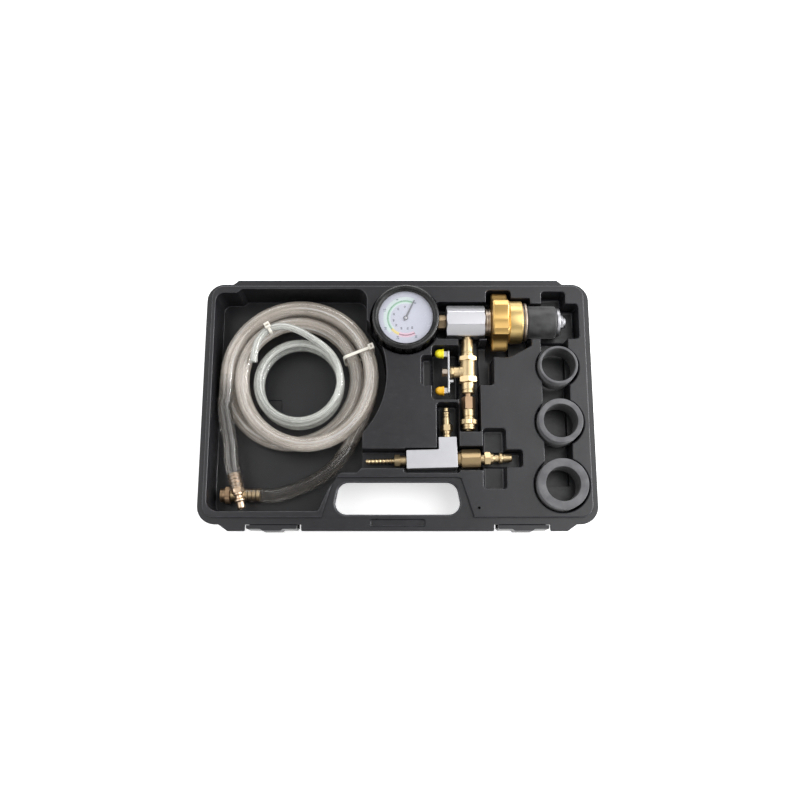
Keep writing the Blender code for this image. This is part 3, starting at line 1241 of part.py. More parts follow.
def build_valve():
    """Nipple, ball valve body with its seats, valve end and coupler adapter, down from the head."""
    where = {"place": (VALVE_X, HEAD_Y, HEAD_HEIGHT), "axis": "-Y"}
    cone = BODY_HALF + NIPPLE_NECK
    cone_end = cone + NIPPLE_CONE_LENGTH
    spigot_end = cone_end + NIPPLE_SPIGOT_LENGTH
    start = BODY_HALF - NIPPLE_IN_BODY
    nipple = [(NIPPLE_SPIGOT, spigot_end), (NIPPLE_SPIGOT, cone_end), (NIPPLE_CONE_LARGE, cone_end),
              (NIPPLE_CONE_SMALL, cone), (NIPPLE_RADIUS, cone), (NIPPLE_RADIUS, start)]
    fitting("valve_nipple", nipple, [], NIPPLE_BORE, "brass", **where)
    seat = math.sqrt(BALL_RADIUS ** 2 - VALVE_PORT ** 2) + FACE_GAP
    upper = LEVER_DOWN - seat - SEAT_LENGTH
    lower = LEVER_DOWN + seat
    hexes = [turned("valve_hex", rod(VALVE_HEX_CORNER, VALVE_TOP, VALVE_TOP + VALVE_HEX_LENGTH,
                                     NUT_CHAMFER), HEX_STEPS, **where),
             turned("valve_lower_hex", rod(VALVE_HEX_CORNER, VALVE_BOTTOM - VALVE_LOWER_HEX_LENGTH,
                                           VALVE_BOTTOM, NUT_CHAMFER), HEX_STEPS, **where)]
    lever_place = (VALVE_X, HEAD_Y - LEVER_DOWN, HEAD_HEIGHT)
    bonnet = turned("bonnet", rod(BONNET_RADIUS, 0, BONNET_REACH), place=lever_place, axis="-X")
    valve = turned("valve_body", rod(VALVE_BARREL, VALVE_TOP + LAP, VALVE_BOTTOM - LAP), **where)
    fuse(valve, hexes + [bonnet])
    bores = [(0, VALVE_BOTTOM + OVERRUN), (BALL_CHAMBER, VALVE_BOTTOM + OVERRUN),
             (BALL_CHAMBER, upper - FACE_GAP), (VALVE_PORT, upper - FACE_GAP),
             (VALVE_PORT, spigot_end + FACE_GAP), (NIPPLE_SPIGOT + FACE_GAP, spigot_end + FACE_GAP),
             (NIPPLE_SPIGOT + FACE_GAP, VALVE_TOP - OVERRUN), (0, VALVE_TOP - OVERRUN)]
    carve(valve, [turned("valve_bores", bores, **where),
                  turned("valve_stem_bore", rod(STEM_SHAFT + FACE_GAP, 0, BONNET_REACH + OVERRUN),
                         SMALL_STEPS, place=lever_place, axis="-X")])
    finish(valve, "brass")
    for name, at in (("seat_upper", upper), ("seat_lower", lower)):
        finish(turned(name, sleeve(SEAT_RADIUS, VALVE_PORT, at, at + SEAT_LENGTH), **where), "seal_white")
    neck_start = COUPLING_TOP - COUPLING_NECK_IN
    end_bottom = VALVE_END_TOP + VALVE_END_LENGTH
    end_start = lower + SEAT_LENGTH + FACE_GAP
    socket = COUPLING_NECK + FACE_GAP
    end = turned("valve_end", [(VALVE_END_RADIUS, end_bottom), (VALVE_END_RADIUS, VALVE_END_TOP),
                               (SEAT_RADIUS, VALVE_END_TOP), (SEAT_RADIUS, end_start),
                               (COUPLING_NECK, end_start), (COUPLING_NECK, neck_start - FACE_GAP),
                               (socket, neck_start - FACE_GAP), (socket, end_bottom)], **where)
    finish(end, "brass")
    spigot = COUPLER_BORE - FACE_GAP
    hex_end = COUPLER_TOP - FACE_GAP
    side = [(spigot, COUPLER_TOP + COUPLING_SPIGOT_LENGTH), (spigot, hex_end - LAP),
            (COUPLING_NECK, hex_end - LAP), (COUPLING_NECK, neck_start)]
    fitting("coupler_adapter", side, [(COUPLING_HEX_CORNER, COUPLING_HEX_TOP, hex_end)], COUPLING_BORE,
            "brass", **where)


def build_lever():
    """Ball, stem, packing nut, T shaped lever with its caps and the nut that holds it."""
    place = (VALVE_X, HEAD_Y - LEVER_DOWN, HEAD_HEIGHT)
    where = {"place": place, "axis": "-X"}
    bore = STEM_SHAFT + FACE_GAP
    shape = bmesh.new()
    bmesh.ops.create_uvsphere(shape, u_segments=SMALL_STEPS, v_segments=BALL_RINGS, radius=BALL_RADIUS)
    mesh = bpy.data.meshes.new("valve_ball")
    shape.to_mesh(mesh)
    shape.free()
    ball = add("valve_ball", mesh, place)
    carve(ball, [turned("ball_bore", rod(BALL_BORE, -BALL_CHAMBER, BALL_CHAMBER), SMALL_STEPS, place=place,
                        axis="Y"),
                 turned("ball_socket", rod(bore, STEM_FROM - FACE_GAP, BALL_CHAMBER), SMALL_STEPS, **where)])
    finish(ball, "steel")
    finish(turned("valve_stem", rod(STEM_SHAFT, STEM_FROM, STEM_TO), SMALL_STEPS, **where), "brass")
    start = BONNET_REACH + FACE_GAP
    nut("packing_nut", PACKING_CORNER, bore, start, start + PACKING_LENGTH, **where)
    back = -LEVER_PLATE - LEVER_THICK
    tip = back - LEVER_EAR
    inside = LEVER_HALF_SPAN - LEVER_THICK
    corners = [(-LEVER_PLATE, -LEVER_HALF_SPAN, LEVER_BEND), (-LEVER_PLATE, LEVER_HALF_SPAN, LEVER_BEND),
               (tip, LEVER_HALF_SPAN, 0), (tip, inside, 0), (back, inside, 0), (back, -inside, 0),
               (tip, -inside, 0), (tip, -LEVER_HALF_SPAN, 0)]
    plate = prism("lever_plate", corners, -LEVER_HALF_WIDTH, LEVER_HALF_WIDTH, place=place)
    carve(plate, [turned("lever_hole", rod(bore, LEVER_PLATE - OVERRUN, LEVER_PLATE + LEVER_THICK + OVERRUN),
                         SMALL_STEPS, **where)])
    finish(plate, "steel")
    outer = LEVER_HALF_SPAN + FACE_GAP + CAP_WALL
    near = back - CAP_FROM_PLATE
    half = LEVER_HALF_WIDTH + FACE_GAP + CAP_WALL
    for name, side in (("lever_cap_upper", 1), ("lever_cap_lower", -1)):
        low, high = sorted((side * outer, side * (outer - CAP_WIDTH)))
        cap = prism(name, box(near - CAP_LENGTH, near, low, high, CAP_ROUND), -half, half, place=place)
        low, high = sorted((side * (inside - FACE_GAP), side * (LEVER_HALF_SPAN + FACE_GAP)))
        slot = LEVER_HALF_WIDTH + FACE_GAP
        carve(cap, [prism(name + "_slot", box(tip - FACE_GAP, near + OVERRUN, low, high, 0), -slot, slot,
                          place=place)])
        finish(cap, "cap_yellow")
    start = LEVER_PLATE + LEVER_THICK + FACE_GAP
    screw = turned("lever_screw", rod(LEVER_NUT_CORNER, start, start + LEVER_NUT_LENGTH, NUT_CHAMFER),
                   HEX_STEPS, **where)
    socket = rod(bore, start - OVERRUN, STEM_TO + FACE_GAP)
    carve(screw, [turned("screw_socket", socket, SMALL_STEPS, **where)])
    finish(screw, "steel")


def coupler_bodies(prefix, place, axis, barb):
    """Body, sleeve and spring of a quick coupler; barb adds a hex and a hose barb behind it."""
    groove = COUPLER_LENGTH - SEAL_FROM_MOUTH
    groove_end = groove + 2 * SEAL_RADIUS + FACE_GAP
    deep = COUPLER_BORE + SEAL_RADIUS
    profile = [(COUPLER_NOSE - COUPLER_CHAMFER, COUPLER_LENGTH),
               (COUPLER_NOSE, COUPLER_LENGTH - COUPLER_CHAMFER), (COUPLER_NOSE, COUPLER_BARREL_LENGTH),
               (COUPLER_BARREL, COUPLER_BARREL_LENGTH), (COUPLER_BARREL, 0), (COUPLER_BORE, 0),
               (COUPLER_BORE, groove), (deep, groove), (deep, groove_end), (COUPLER_BORE, groove_end),
               (COUPLER_BORE, COUPLER_LENGTH)]
    where = {"place": place, "axis": axis}
    body = turned(prefix + "_body", profile, **where)
    if barb:
        root = -HOSE_HEX_LENGTH
        side = ridges(HOSE_BARB_RADIUS, COUPLER_CHAMFER, root - HOSE_BARB_LENGTH, root, HOSE_BARB_RIDGES)
        side = [(radius, root - HOSE_BARB_LENGTH + root - height) for radius, height in reversed(side)]
        fuse(body, [turned(prefix + "_barb", [(0, root), *side, (0, root - HOSE_BARB_LENGTH)], **where),
                    turned(prefix + "_hex", rod(HOSE_HEX_CORNER, root - LAP, LAP), HEX_STEPS, **where)])
        carve(body, [turned(prefix + "_bore", rod(HOSE_BORE, root - HOSE_BARB_LENGTH - OVERRUN, LAP + LAP),
                            SMALL_STEPS, **where)])
    finish(body, "brass")
    skirt = COUPLER_BARREL_LENGTH + FACE_GAP
    skirt_end = skirt + SLEEVE_SKIRT_LENGTH
    flange_end = skirt + SLEEVE_FLANGE_LENGTH + FACE_GAP
    wide, narrow = COUPLER_BARREL + FACE_GAP, COUPLER_NOSE + FACE_GAP
    end = COUPLER_LENGTH - FACE_GAP
    profile = [(SLEEVE_TAIL, end), (SLEEVE_TAIL, flange_end), (SLEEVE_FLANGE, flange_end),
               (SLEEVE_FLANGE, skirt + FACE_GAP), (SLEEVE_RADIUS, skirt), (wide, skirt),
               (wide, skirt_end), (narrow, skirt_end), (narrow, end)]
    finish(turned(prefix + "_sleeve", profile, **where), "brass")
    low = skirt + SPRING_WIRE
    high = skirt_end - FACE_GAP - SPRING_WIRE
    radius = wide - SPRING_WIRE - FACE_GAP
    count = round(SPRING_TURNS * SPRING_POINTS_PER_TURN)
    turn = AXES[axis].to_matrix()
    points = []
    for step in range(count + 1):
        angle = SPRING_TURNS * TURN * step / count
        along = low + (high - low) * step / count
        local = Vector((radius * math.cos(angle), radius * math.sin(angle), along))
        points.append(Vector(place) + turn @ local)
    finish(tube(prefix + "_spring", points, SPRING_WIRE, 1), "steel")
    print_gap(prefix + "_spring", points, 2 * SPRING_WIRE)
    return groove + SEAL_RADIUS + FACE_GAP / 2


def build_coupler():
    """Quick coupler at the valve's end, with its seal ring."""
    place = (VALVE_X, HEAD_Y - COUPLER_TOP, HEAD_HEIGHT)
    seal_at = coupler_bodies("coupler", place, "-Y", False)
    centre = COUPLER_BORE - SEAL_RADIUS / 2
    reach = SEAL_RADIUS - FACE_GAP / 2
    profile = [(centre + reach * math.cos(angle), seal_at + reach * math.sin(angle))
               for angle in [QUARTER - TURN * step / HEX_STEPS for step in range(HEX_STEPS)]]
    finish(turned("coupler_seal", profile, place=place, axis="-Y"), "plug_rubber")


def build_venturi():
    """Venturi block with its nozzle, hose barb, vacuum nipple, air hex and air plug."""
    frame = pivot("venturi_frame", (BLOCK_X, BLOCK_Y, BLOCK_CENTRE_HEIGHT), (0, 0, BLOCK_TILT))
    half, side, tall = BLOCK_LENGTH / 2, BLOCK_WIDTH / 2, BLOCK_HEIGHT / 2
    arm = side + BLOCK_ARM
    port = half - BLOCK_ARM_WIDTH / 2
    corners = [(-half, -side), (half, -side), (half, arm), (half - BLOCK_ARM_WIDTH, arm),
               (half - BLOCK_ARM_WIDTH, side), (-half, side)]
    block = prism("venturi_block", [(x, y, BLOCK_ROUND) for x, y in corners], -tall, tall, parent=frame)
    carve(block, [turned("block_bore", rod(BLOCK_BORE, -half - OVERRUN, half + OVERRUN), axis="X",
                         parent=frame),
                  turned("block_port", rod(BLOCK_PORT, 0, arm + OVERRUN), place=(port, 0, 0), axis="Y",
                         parent=frame)])
    finish(block, "satin_aluminium")
    fit = BLOCK_BORE - FACE_GAP
    face = half + FACE_GAP
    spigot = half - SPIGOT_LENGTH
    low, high = FACE_GAP - spigot, port - BLOCK_PORT - FACE_GAP
    middle = (low + high) / 2
    nozzle = [(fit, high), (fit, low), (VALVE_PORT, low), (THROAT_RADIUS, middle), (VALVE_PORT, high)]
    finish(turned("venturi_nozzle", nozzle, axis="X", parent=frame), "brass")
    cone = face + BARB_CONE_LENGTH
    hex_end = cone + BARB_HEX_LENGTH
    barb = ridges(BARB_RADIUS, COUPLER_CHAMFER, hex_end - LAP, hex_end + BARB_LENGTH, BARB_RIDGES)
    barb += [(BARB_HEX_CORNER - LAP, hex_end - LAP), (BARB_HEX_CORNER - LAP, cone), (fit, face),
             (fit, spigot)]
    fitting("exhaust_barb", barb, [(BARB_HEX_CORNER, cone, hex_end)], BARB_BORE, "brass", axis="-X",
            parent=frame)
    start = arm + FACE_GAP
    neck = start + VACUUM_NECK_LENGTH
    hex_end = neck + VACUUM_HEX_LENGTH
    inner = BLOCK_PORT - FACE_GAP
    nipple = quick_plug(VACUUM_PLUG_RADIUS, hex_end - LAP, VACUUM_PLUG_LENGTH)
    nipple += [(VACUUM_NECK, hex_end - LAP), (VACUUM_NECK, start), (inner, start),
               (inner, arm - SPIGOT_LENGTH)]
    fitting("vacuum_nipple", nipple, [(VACUUM_HEX_CORNER, neck, hex_end)], BARB_BORE, "brass",
            place=(port, 0, 0), axis="Y", parent=frame)
    neck = face + AIR_NECK_LENGTH
    hex_end = neck + AIR_HEX_LENGTH
    socket = AIR_SOCKET + FACE_GAP
    side = [(AIR_NECK, hex_end - LAP), (AIR_NECK, face), (fit, face), (fit, spigot)]
    air = fitting("air_hex", side, [(AIR_HEX_CORNER, neck, hex_end)], PLUG_BORE, "brass", axis="X",
                  parent=frame)
    carve(air, [turned("air_socket", rod(socket, hex_end - SPIGOT_LENGTH - FACE_GAP, hex_end + OVERRUN),
                       axis="X", parent=frame)])
    start = hex_end + FACE_GAP
    neck = start + AIR_PLUG_NECK_LENGTH
    plug_hex = neck + AIR_PLUG_HEX_LENGTH
    side = quick_plug(AIR_PLUG_RADIUS, plug_hex - LAP, AIR_PLUG_LENGTH)
    side += [(AIR_SOCKET, plug_hex - LAP), (AIR_SOCKET, hex_end - SPIGOT_LENGTH)]
    fitting("air_plug", side, [(AIR_PLUG_HEX_CORNER, neck, plug_hex)], BARB_BORE, "brass", axis="X",
            parent=frame)


def build_rings():
    """Rubber adapter rings that fit the plug to wider filler necks."""
    for name, y in ring_places().items():
        side = sleeve(RING_RADII[name], RING_BORE, 0, RING_HEIGHT, RING_CHAMFER)
        ring = turned("adapter_ring_" + name, side, LARGE_STEPS, place=(RING_X, y, RING_BOTTOM))
        finish(ring, "adapter_rubber")


def least_gap(points, diameter):
    """Least distance of a round bar to itself, measured on points and the middles between them."""
    line = []
    for first, second in zip(points, points[1:]):
        line += [Vector(first), (Vector(first) + Vector(second)) / 2]
    along = [0.0]
    for first, second in zip(line, line[1:]):
        along.append(along[-1] + (second - first).length)
    near = min((line[i] - line[j]).length for i in range(len(line)) for j in range(i)
               if along[i] - along[j] > GAP_SKIP_SHARE * diameter)
    return near - diameter


def print_gap(name, points, diameter):
    """Say how near a coil's turns come to each other."""
    print(f"{name}: least gap to itself {least_gap(points, diameter) / MILLIMETRE:.2f} mm")


def smooth(points):
    """Points of a smooth curve through route points, close together."""
    route = [Vector(point) for point in points]
    route = [2 * route[0] - route[1], *route, 2 * route[-1] - route[-2]]
    line = []
    for a, b, c, d in zip(route, route[1:], route[2:], route[3:]):
        for step in range(TAIL_SMOOTH_STEPS):
            t = step / TAIL_SMOOTH_STEPS
            line.append(b + (c - a) * t / 2 + (2 * a - 5 * b + 4 * c - d) * t * t / 2
                        + (3 * b - a - 3 * c + d) * t ** 3 / 2)
    return line + [route[-2]]


def spaced(line, step):
    """Points along a line at even steps, with both of its ends."""
    total = sum((b - a).length for a, b in zip(line, line[1:]))
    count = max(1, round(total / step))
    points = [line[0]]
    walked, goal = 0.0, total / count
    for a, b in zip(line, line[1:]):
        length = (b - a).length
        while walked + length >= goal and len(points) < count:
            points.append(a.lerp(b, (goal - walked) / length))
            goal += total / count
        walked += length
    return points + [line[-1]]


def eased(share):
    """A share that starts and ends softly, held between nothing and all."""
    share = min(1, max(0, share))
    return share * share * (3 - 2 * share)


def large_coil_points():
    """Centre line of the large coil: an outer and an inner ring at the bottom, one climb, and both at the top."""
    count = round(LARGE_COIL_SWEEP / TURN * POINTS_PER_LOOP)
    middle = LARGE_COIL_START + LARGE_COIL_SWEEP / 2
    points = []
    for step in range(count + 1):
        angle = LARGE_COIL_START + LARGE_COIL_SWEEP * step / count
        turned_by = abs(angle - middle) / TURN
        reach = LARGE_COIL_INNER + LARGE_PITCH * eased((turned_by - COIL_STEP_FROM) / COIL_STEP_RUN)
        height = LARGE_Z + LARGE_PITCH * eased((angle - middle) / COIL_CLIMB + 1 / 2)
        points.append(Vector((COIL_X + reach * math.cos(angle), COIL_Y + reach * math.sin(angle), height)))
    return straight_ends(points, LARGE_HOSE)


def end_way(end, second, third):
    """Direction in which a bent line leaves its end point."""
    return (3 * (end - second).normalized() - (second - third).normalized()).normalized()


def straight_ends(points, length):
    """The same points with a straight run at each end, level and square to the end face."""
    first = end_way(points[0], points[1], points[2])
    last = end_way(points[-1], points[-2], points[-3])
    return [points[0] + first * length, *points, points[-1] + last * length]


def small_coil_points():
    """Centre line of the small coil: piled loops, the last one bulging over the large coil."""
    count = SMALL_COIL_TURNS * POINTS_PER_LOOP
    last_turn = SMALL_COIL_START + (SMALL_COIL_TURNS - 1) * TURN
    bulge = last_turn + (BULGE_ANGLE - SMALL_COIL_START) % TURN
    points = []
    for step in range(count + 1):
        turned_by = SMALL_COIL_TURNS * TURN * step / count
        angle = SMALL_COIL_START + turned_by
        swell = math.exp(-((angle - bulge) / BULGE_SPREAD) ** 2) if angle > last_turn else 0
        reach = SMALL_COIL_RADIUS + SMALL_COIL_SWAY * math.cos(turned_by / 2) + BULGE_REACH * swell
        height = SMALL_Z + SMALL_PITCH * turned_by / TURN + BULGE_RISE * swell
        points.append(Vector((COIL_X + reach * math.cos(angle), SMALL_COIL_Y + reach * math.sin(angle), height)))
    return straight_ends(points, SMALL_HOSE)


def tail_points(start, start_way, end, last_way, route):
    """Loose stretch of hose between two faces, straight where it meets them."""
    run = LARGE_HOSE * TAIL_STRAIGHT_SHARE
    first = start + start_way * FACE_GAP
    last = end + last_way * FACE_GAP
    line = smooth([first + start_way * run, *route, last + last_way * run])
    return [first, *spaced(line, LARGE_HOSE * TAIL_STEP_SHARE), last]


def build_hoses():
    """Both hoses: the large one in a coil and two tails with its fittings, the small one coiled inside."""
    coil = large_coil_points()
    print_gap("hose_large_coil", coil, LARGE_HOSE)
    finish(tube("hose_large_coil", coil, LARGE_HOSE / 2, 1), "hose_clear")
    small = small_coil_points()
    print_gap("hose_small_coil", small, SMALL_HOSE)
    finish(tube("hose_small_coil", small, SMALL_HOSE / 2, 1), "hose_milky")
    coupler_z = BAY_FLOOR + FACE_GAP + SLEEVE_FLANGE
    rear = Vector((BAY_LEFT + HOSE_COUPLER_SIDE + COUPLER_LENGTH, BAY_FRONT + HOSE_COUPLER_FRONT, coupler_z))
    coupler_bodies("hose_coupler", rear, "-X", True)
    barb_end = rear + Vector((HOSE_HEX_LENGTH + HOSE_BARB_LENGTH, 0, 0))
    start_way = (coil[0] - coil[1]).normalized()
    tail = tail_points(barb_end, Vector((1, 0, 0)), coil[0], start_way,
                       [Vector((COIL_X + x, COIL_Y + y, LARGE_Z)) for x, y in COUPLER_TAIL_ROUTE])
    finish(tube("hose_tail_coupler_end", tail, LARGE_HOSE / 2, 2), "hose_clear")
    plug_z = coupler_z + HOSE_HEX_CORNER + FACE_GAP + HOSE_PLUG_HEX_CORNER
    plug_at = Vector((COIL_X - HOSE_PLUG_SIDE, COIL_Y - HOSE_PLUG_DOWN, plug_z))
    way = Vector((math.sin(HOSE_PLUG_LEAN), -math.cos(HOSE_PLUG_LEAN), 0))
    hex_start = HOSE_BARB_LENGTH
    hex_end = hex_start + HOSE_PLUG_HEX_LENGTH
    side = quick_plug(HOSE_PLUG_RADIUS, hex_end - LAP, HOSE_PLUG_LENGTH)
    low = ridges(HOSE_BARB_RADIUS, COUPLER_CHAMFER, 0, hex_start + LAP, HOSE_BARB_RIDGES)
    side += [(radius, hex_start + LAP - height) for radius, height in reversed(low)]
    fitting("hose_plug", side, [(HOSE_PLUG_HEX_CORNER, hex_start, hex_end)], HOSE_BORE, "brass",
            place=plug_at, axis=tuple(way))
    leave_way = (coil[-1] - coil[-2]).normalized()
    tail = tail_points(coil[-1], leave_way, plug_at, -way,
                       [Vector((COIL_X + x, COIL_Y + y, LARGE_Z + LARGE_PITCH)) for x, y in PLUG_TAIL_ROUTE])
    finish(tube("hose_tail_plug_end", tail, LARGE_HOSE / 2, 2), "hose_clear")
    build_tie("hose_tie_large", LARGE_TIE_ANGLE, coil, LARGE_HOSE, LARGE_TIE_LEVELS, COIL_Y)
    build_tie("hose_tie_small", BULGE_ANGLE, small, SMALL_HOSE, SMALL_TIE_LEVELS, SMALL_COIL_Y)


def strands_at(points, angle, centre):
    """Where a coil's centre line crosses the half plane at an angle, as (reach, height)."""
    across = Vector((-math.sin(angle), math.cos(angle), 0))
    along = Vector((math.cos(angle), math.sin(angle), 0))
    found = []
    for a, b in zip(points, points[1:]):
        before, after = (a - centre).dot(across), (b - centre).dot(across)
        if before * after <= 0 and (a - centre).dot(along) > 0:
            cross = a.lerp(b, before / (before - after))
            found.append(((cross - centre).dot(along), cross.z))
    return found


def build_tie(name, angle, points, hose, levels, centre_y):
    """Flat tie round the strands of a coil at one angle, with its locking head on top."""
    place = Vector((COIL_X, centre_y, 0))
    strands = [strand for strand in strands_at(points, angle, place) if strand[1] > levels]
    room = hose / 2 + TIE_EASE
    left, right = min(s[0] for s in strands) - room, max(s[0] for s in strands) + room
    low, high = min(s[1] for s in strands) - room, max(s[1] for s in strands) + room
    radial = Vector((math.cos(angle), math.sin(angle), 0))
    up = Vector((0, 0, 1))
    turn = Matrix((radial, up, radial.cross(up))).transposed()
    half = TIE_WIDTH / 2
    inner = box(left, right, low, high, hose * TIE_ROUND_SHARE)
    outer = box(left - TIE_THICK, right + TIE_THICK, low - TIE_THICK, high + TIE_THICK,
                hose * TIE_ROUND_SHARE + TIE_THICK)
    band = prism(name, outer, -half, half, place=place)
    hole = prism(name + "_inside", inner, -half - OVERRUN, half + OVERRUN, place=place)
    top = high + TIE_THICK
    middle = right - hose / 2
    head = prism(name + "_head", box(middle - TIE_HEAD / 2, middle + TIE_HEAD / 2, top - TIE_THICK / 2,
                                     top + TIE_HEAD_RISE, TIE_THICK / 2), -TIE_HEAD / 2, TIE_HEAD / 2,
                 place=place)
    for item in (band, hole, head):
        item.rotation_euler = turn.to_euler()
    fuse(band, [head])
    carve(band, [hole])
    finish(band, "tie_white")


def main():
    """Build every piece."""
    build_case()
    build_latches()
    centre = (GAUGE_X, HEAD_Y, 0)
    build_boot(centre)
    build_gauge_case(centre)
    build_gauge_works(centre)
    build_body()
    build_expander()
    build_valve()
    build_lever()
    build_coupler()
    build_venturi()
    build_rings()
    build_hoses()


main()
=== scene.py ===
"""Looks of a coolant vacuum filler kit in its tray case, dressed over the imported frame.

Metres, +Z up, origin at the bottom centre of the case. Every piece stands where the frame's node stands: ends and
radii are read from the node's box, and only what a box can't tell is a named value here.
"""
import math

import bmesh
import bpy
from mathutils import Matrix, Vector


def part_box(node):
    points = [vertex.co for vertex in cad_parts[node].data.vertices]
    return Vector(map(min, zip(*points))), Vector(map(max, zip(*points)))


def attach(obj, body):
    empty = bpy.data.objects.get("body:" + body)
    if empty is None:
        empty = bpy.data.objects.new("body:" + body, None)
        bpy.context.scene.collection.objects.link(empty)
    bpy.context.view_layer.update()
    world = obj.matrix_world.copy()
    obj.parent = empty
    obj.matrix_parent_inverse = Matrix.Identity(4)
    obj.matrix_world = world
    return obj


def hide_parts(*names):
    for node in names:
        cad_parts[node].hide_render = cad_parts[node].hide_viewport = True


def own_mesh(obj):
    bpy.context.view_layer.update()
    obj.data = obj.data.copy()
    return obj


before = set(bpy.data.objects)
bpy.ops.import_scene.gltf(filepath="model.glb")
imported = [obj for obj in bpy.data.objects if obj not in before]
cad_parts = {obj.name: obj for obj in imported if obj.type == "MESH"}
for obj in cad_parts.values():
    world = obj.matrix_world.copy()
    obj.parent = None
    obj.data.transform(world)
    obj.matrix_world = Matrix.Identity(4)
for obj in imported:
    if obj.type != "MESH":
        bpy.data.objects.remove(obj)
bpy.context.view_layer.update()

bl_info = {
    "name": "Coolant vacuum filler",
    "version": (1, 0, 0),
    "blender": (4, 5, 0),
    "location": "View3D > Sidebar > Filler",
    "description": "Dresses the frame of a coolant vacuum filler kit in its tray case",
    "category": "Object",
}

MM = 0.001
TURN = 2 * math.pi
QUARTER = math.pi / 2
MERGE = 0.000005
OVERRUN = 0.002
FACE_GAP = 0.0003
LAP = 0.0015

# Camera, solved from the photograph
CAMERA_PLACE = (0.0025, -0.2068, 0.9656)
CAMERA_TILT = math.radians(12.8)
CAMERA_LENS = 39.465
SENSOR = 36.0

# How round things are
ROUND_STEPS = 64
SMALL_STEPS = 40
HOSE_STEPS = 24
CORNER_ARC = 5
LIP_ARC = 4
SHARP = math.radians(32)

# Hoses, along the same routes as the frame's
COIL_CENTRE = Vector((-0.1080, 0.0310, 0))
SMALL_CENTRE = COIL_CENTRE - Vector((0, 0.006, 0))
LARGE_HOSE = 0.016
SMALL_HOSE = 0.008
HOSE_GAP = 0.0006
LARGE_PITCH = LARGE_HOSE + HOSE_GAP
LARGE_INNER = 0.0624
COIL_STEP_FROM = 0.26
COIL_STEP_RUN = 0.4
LARGE_START = math.radians(-20)
LARGE_SWEEP = math.radians(920)
LARGE_CLIMB = math.pi
LARGE_Z = 0.0161
SMALL_RADIUS = 0.045
SMALL_SWAY = 0.00175
SMALL_TURNS = 4
SMALL_START = math.radians(150)
SMALL_Z = 0.0103
SMALL_PITCH = SMALL_HOSE + HOSE_GAP
BULGE_ANGLE = math.radians(120)
BULGE_SPREAD = math.radians(34)
BULGE_REACH = 0.0195
BULGE_RISE = 0.001
LOOP_POINTS = 24
TAIL_POINTS = 12
SWEEP_STEP = 0.0042
BARB_COVER = 0.0168
HOSE_LOOSE = 0.089
HOSE_END = 0.10
HOSE_BODY = 0.74
HOSE_CLEAR_BODY = 0.40
AROUND = "around"
COUPLER_TAIL = [(-0.022, -0.1275), (0.005, -0.1185), (0.031, -0.103), (0.050, -0.082), (0.060, -0.063)]
PLUG_TAIL = [(-0.081, -0.031), (-0.077, -0.053), (-0.0725, -0.075)]
TAIL_STRAIGHT = 0.6
PLUG_LEAN = math.radians(15)
HOSE_PLUG_START = (-0.068, -0.106)
HOSE_PLUG_Z = 0.0308
HOSE_HEX = 0.0038
HOSE_BARB = 0.017
HOSE_PLUG_HEX = 0.005
HOSE_PLUG_TIP = 0.0175
LARGE_TIE_ANGLE = math.radians(22)
SMALL_TIE_LEVEL = 0.044
TIE_EASE = 0.0007
TIE_THICK = 0.0011
TIE_WIDTH = 0.0032
TIE_HEAD = 0.0062
TIE_HEAD_RISE = 0.0034
TIE_ROUND = 0.3

# Case
DECK_INSET = 0.0055
DECK_BACK_INSET = 0.0024
DECK_FRONT_INSET = 0.007
CORNER_RADIUS = 0.019
RIM_DROP = 0.003
RIM_THICK = 0.0035
FRONT_LIP = 0.007
BACK_LIP = 0.0046
SKIRT_INSET = 0.0015
BASE_DRAFT = 0.0015
BASE_ROUND = 0.005
EDGE_ROUND = 0.0005
LIP_FROM_SIDE = 0.033
LIP_TAPER = 0.010
LIP_ROUND = 0.0015
HINGE_FROM_SIDE = 0.034
HINGE_TAPER = 0.0055
LATCH_FROM_SIDE = 0.105
LATCH_LENGTH = 0.053
LATCH_TRAVEL = 0.0035
LATCH_ROOM = 0.001
LATCH_BUMP = 0.0019
LATCH_BUMP_HALF = 0.0115
POCKET_ROUND = 0.004
SMALL_ROUND = 0.002
POCKET_DRAFT = 0.0008
BAY_FLOOR = 0.006
CHANNEL_FLOOR = 0.020
HANDLE_BAR = 0.0173
HANDLE_BACK = -0.0830
HANDLE_HALVES = (0.0695, 0.0625)
HANDLE_ROUND = 0.012
HANDLE_STEP = (0.0125, 0.0045, 0.0013)
HANDLE_LEAN = 0.0015
HANDLE_BACK_LEAN = 0.0043
SLOT_HALF = 0.029
SLOT_WIDTH = 0.0079
SLOT_DEPTH = 0.0028
BLOW_HOLE = 0.0015
BLOW_HOLE_AT = (0.085, -0.114)

CASE_LOW, CASE_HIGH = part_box("case_base")
HALF_WIDTH = CASE_HIGH.x
HALF_DEPTH = CASE_HIGH.y
DECK = CASE_HIGH.z
RIM = DECK - RIM_DROP
STEP_TOP = RIM + 0.0002
RIM_FRONT = -HALF_DEPTH + FRONT_LIP
RIM_BACK = HALF_DEPTH - BACK_LIP
POCKET_ROOM = 0.0025
BAY_REACH = 0.0960
BAY_ARC = (-math.acos((-0.0375 - COIL_CENTRE.x) / BAY_REACH), math.acos((-0.0340 - COIL_CENTRE.x) / BAY_REACH))
RAIL_Z = RIM - RIM_THICK - 0.011
RAIL_NECK = 0.0014
RAIL_NECK_HALF = 0.0018
RAIL_HEAD = 0.0014
RAIL_HEAD_HALF = 0.0036
LATCH_BACK = 0.0009
GRIP_GROOVES = 5
GRIP_PITCH = 0.0030

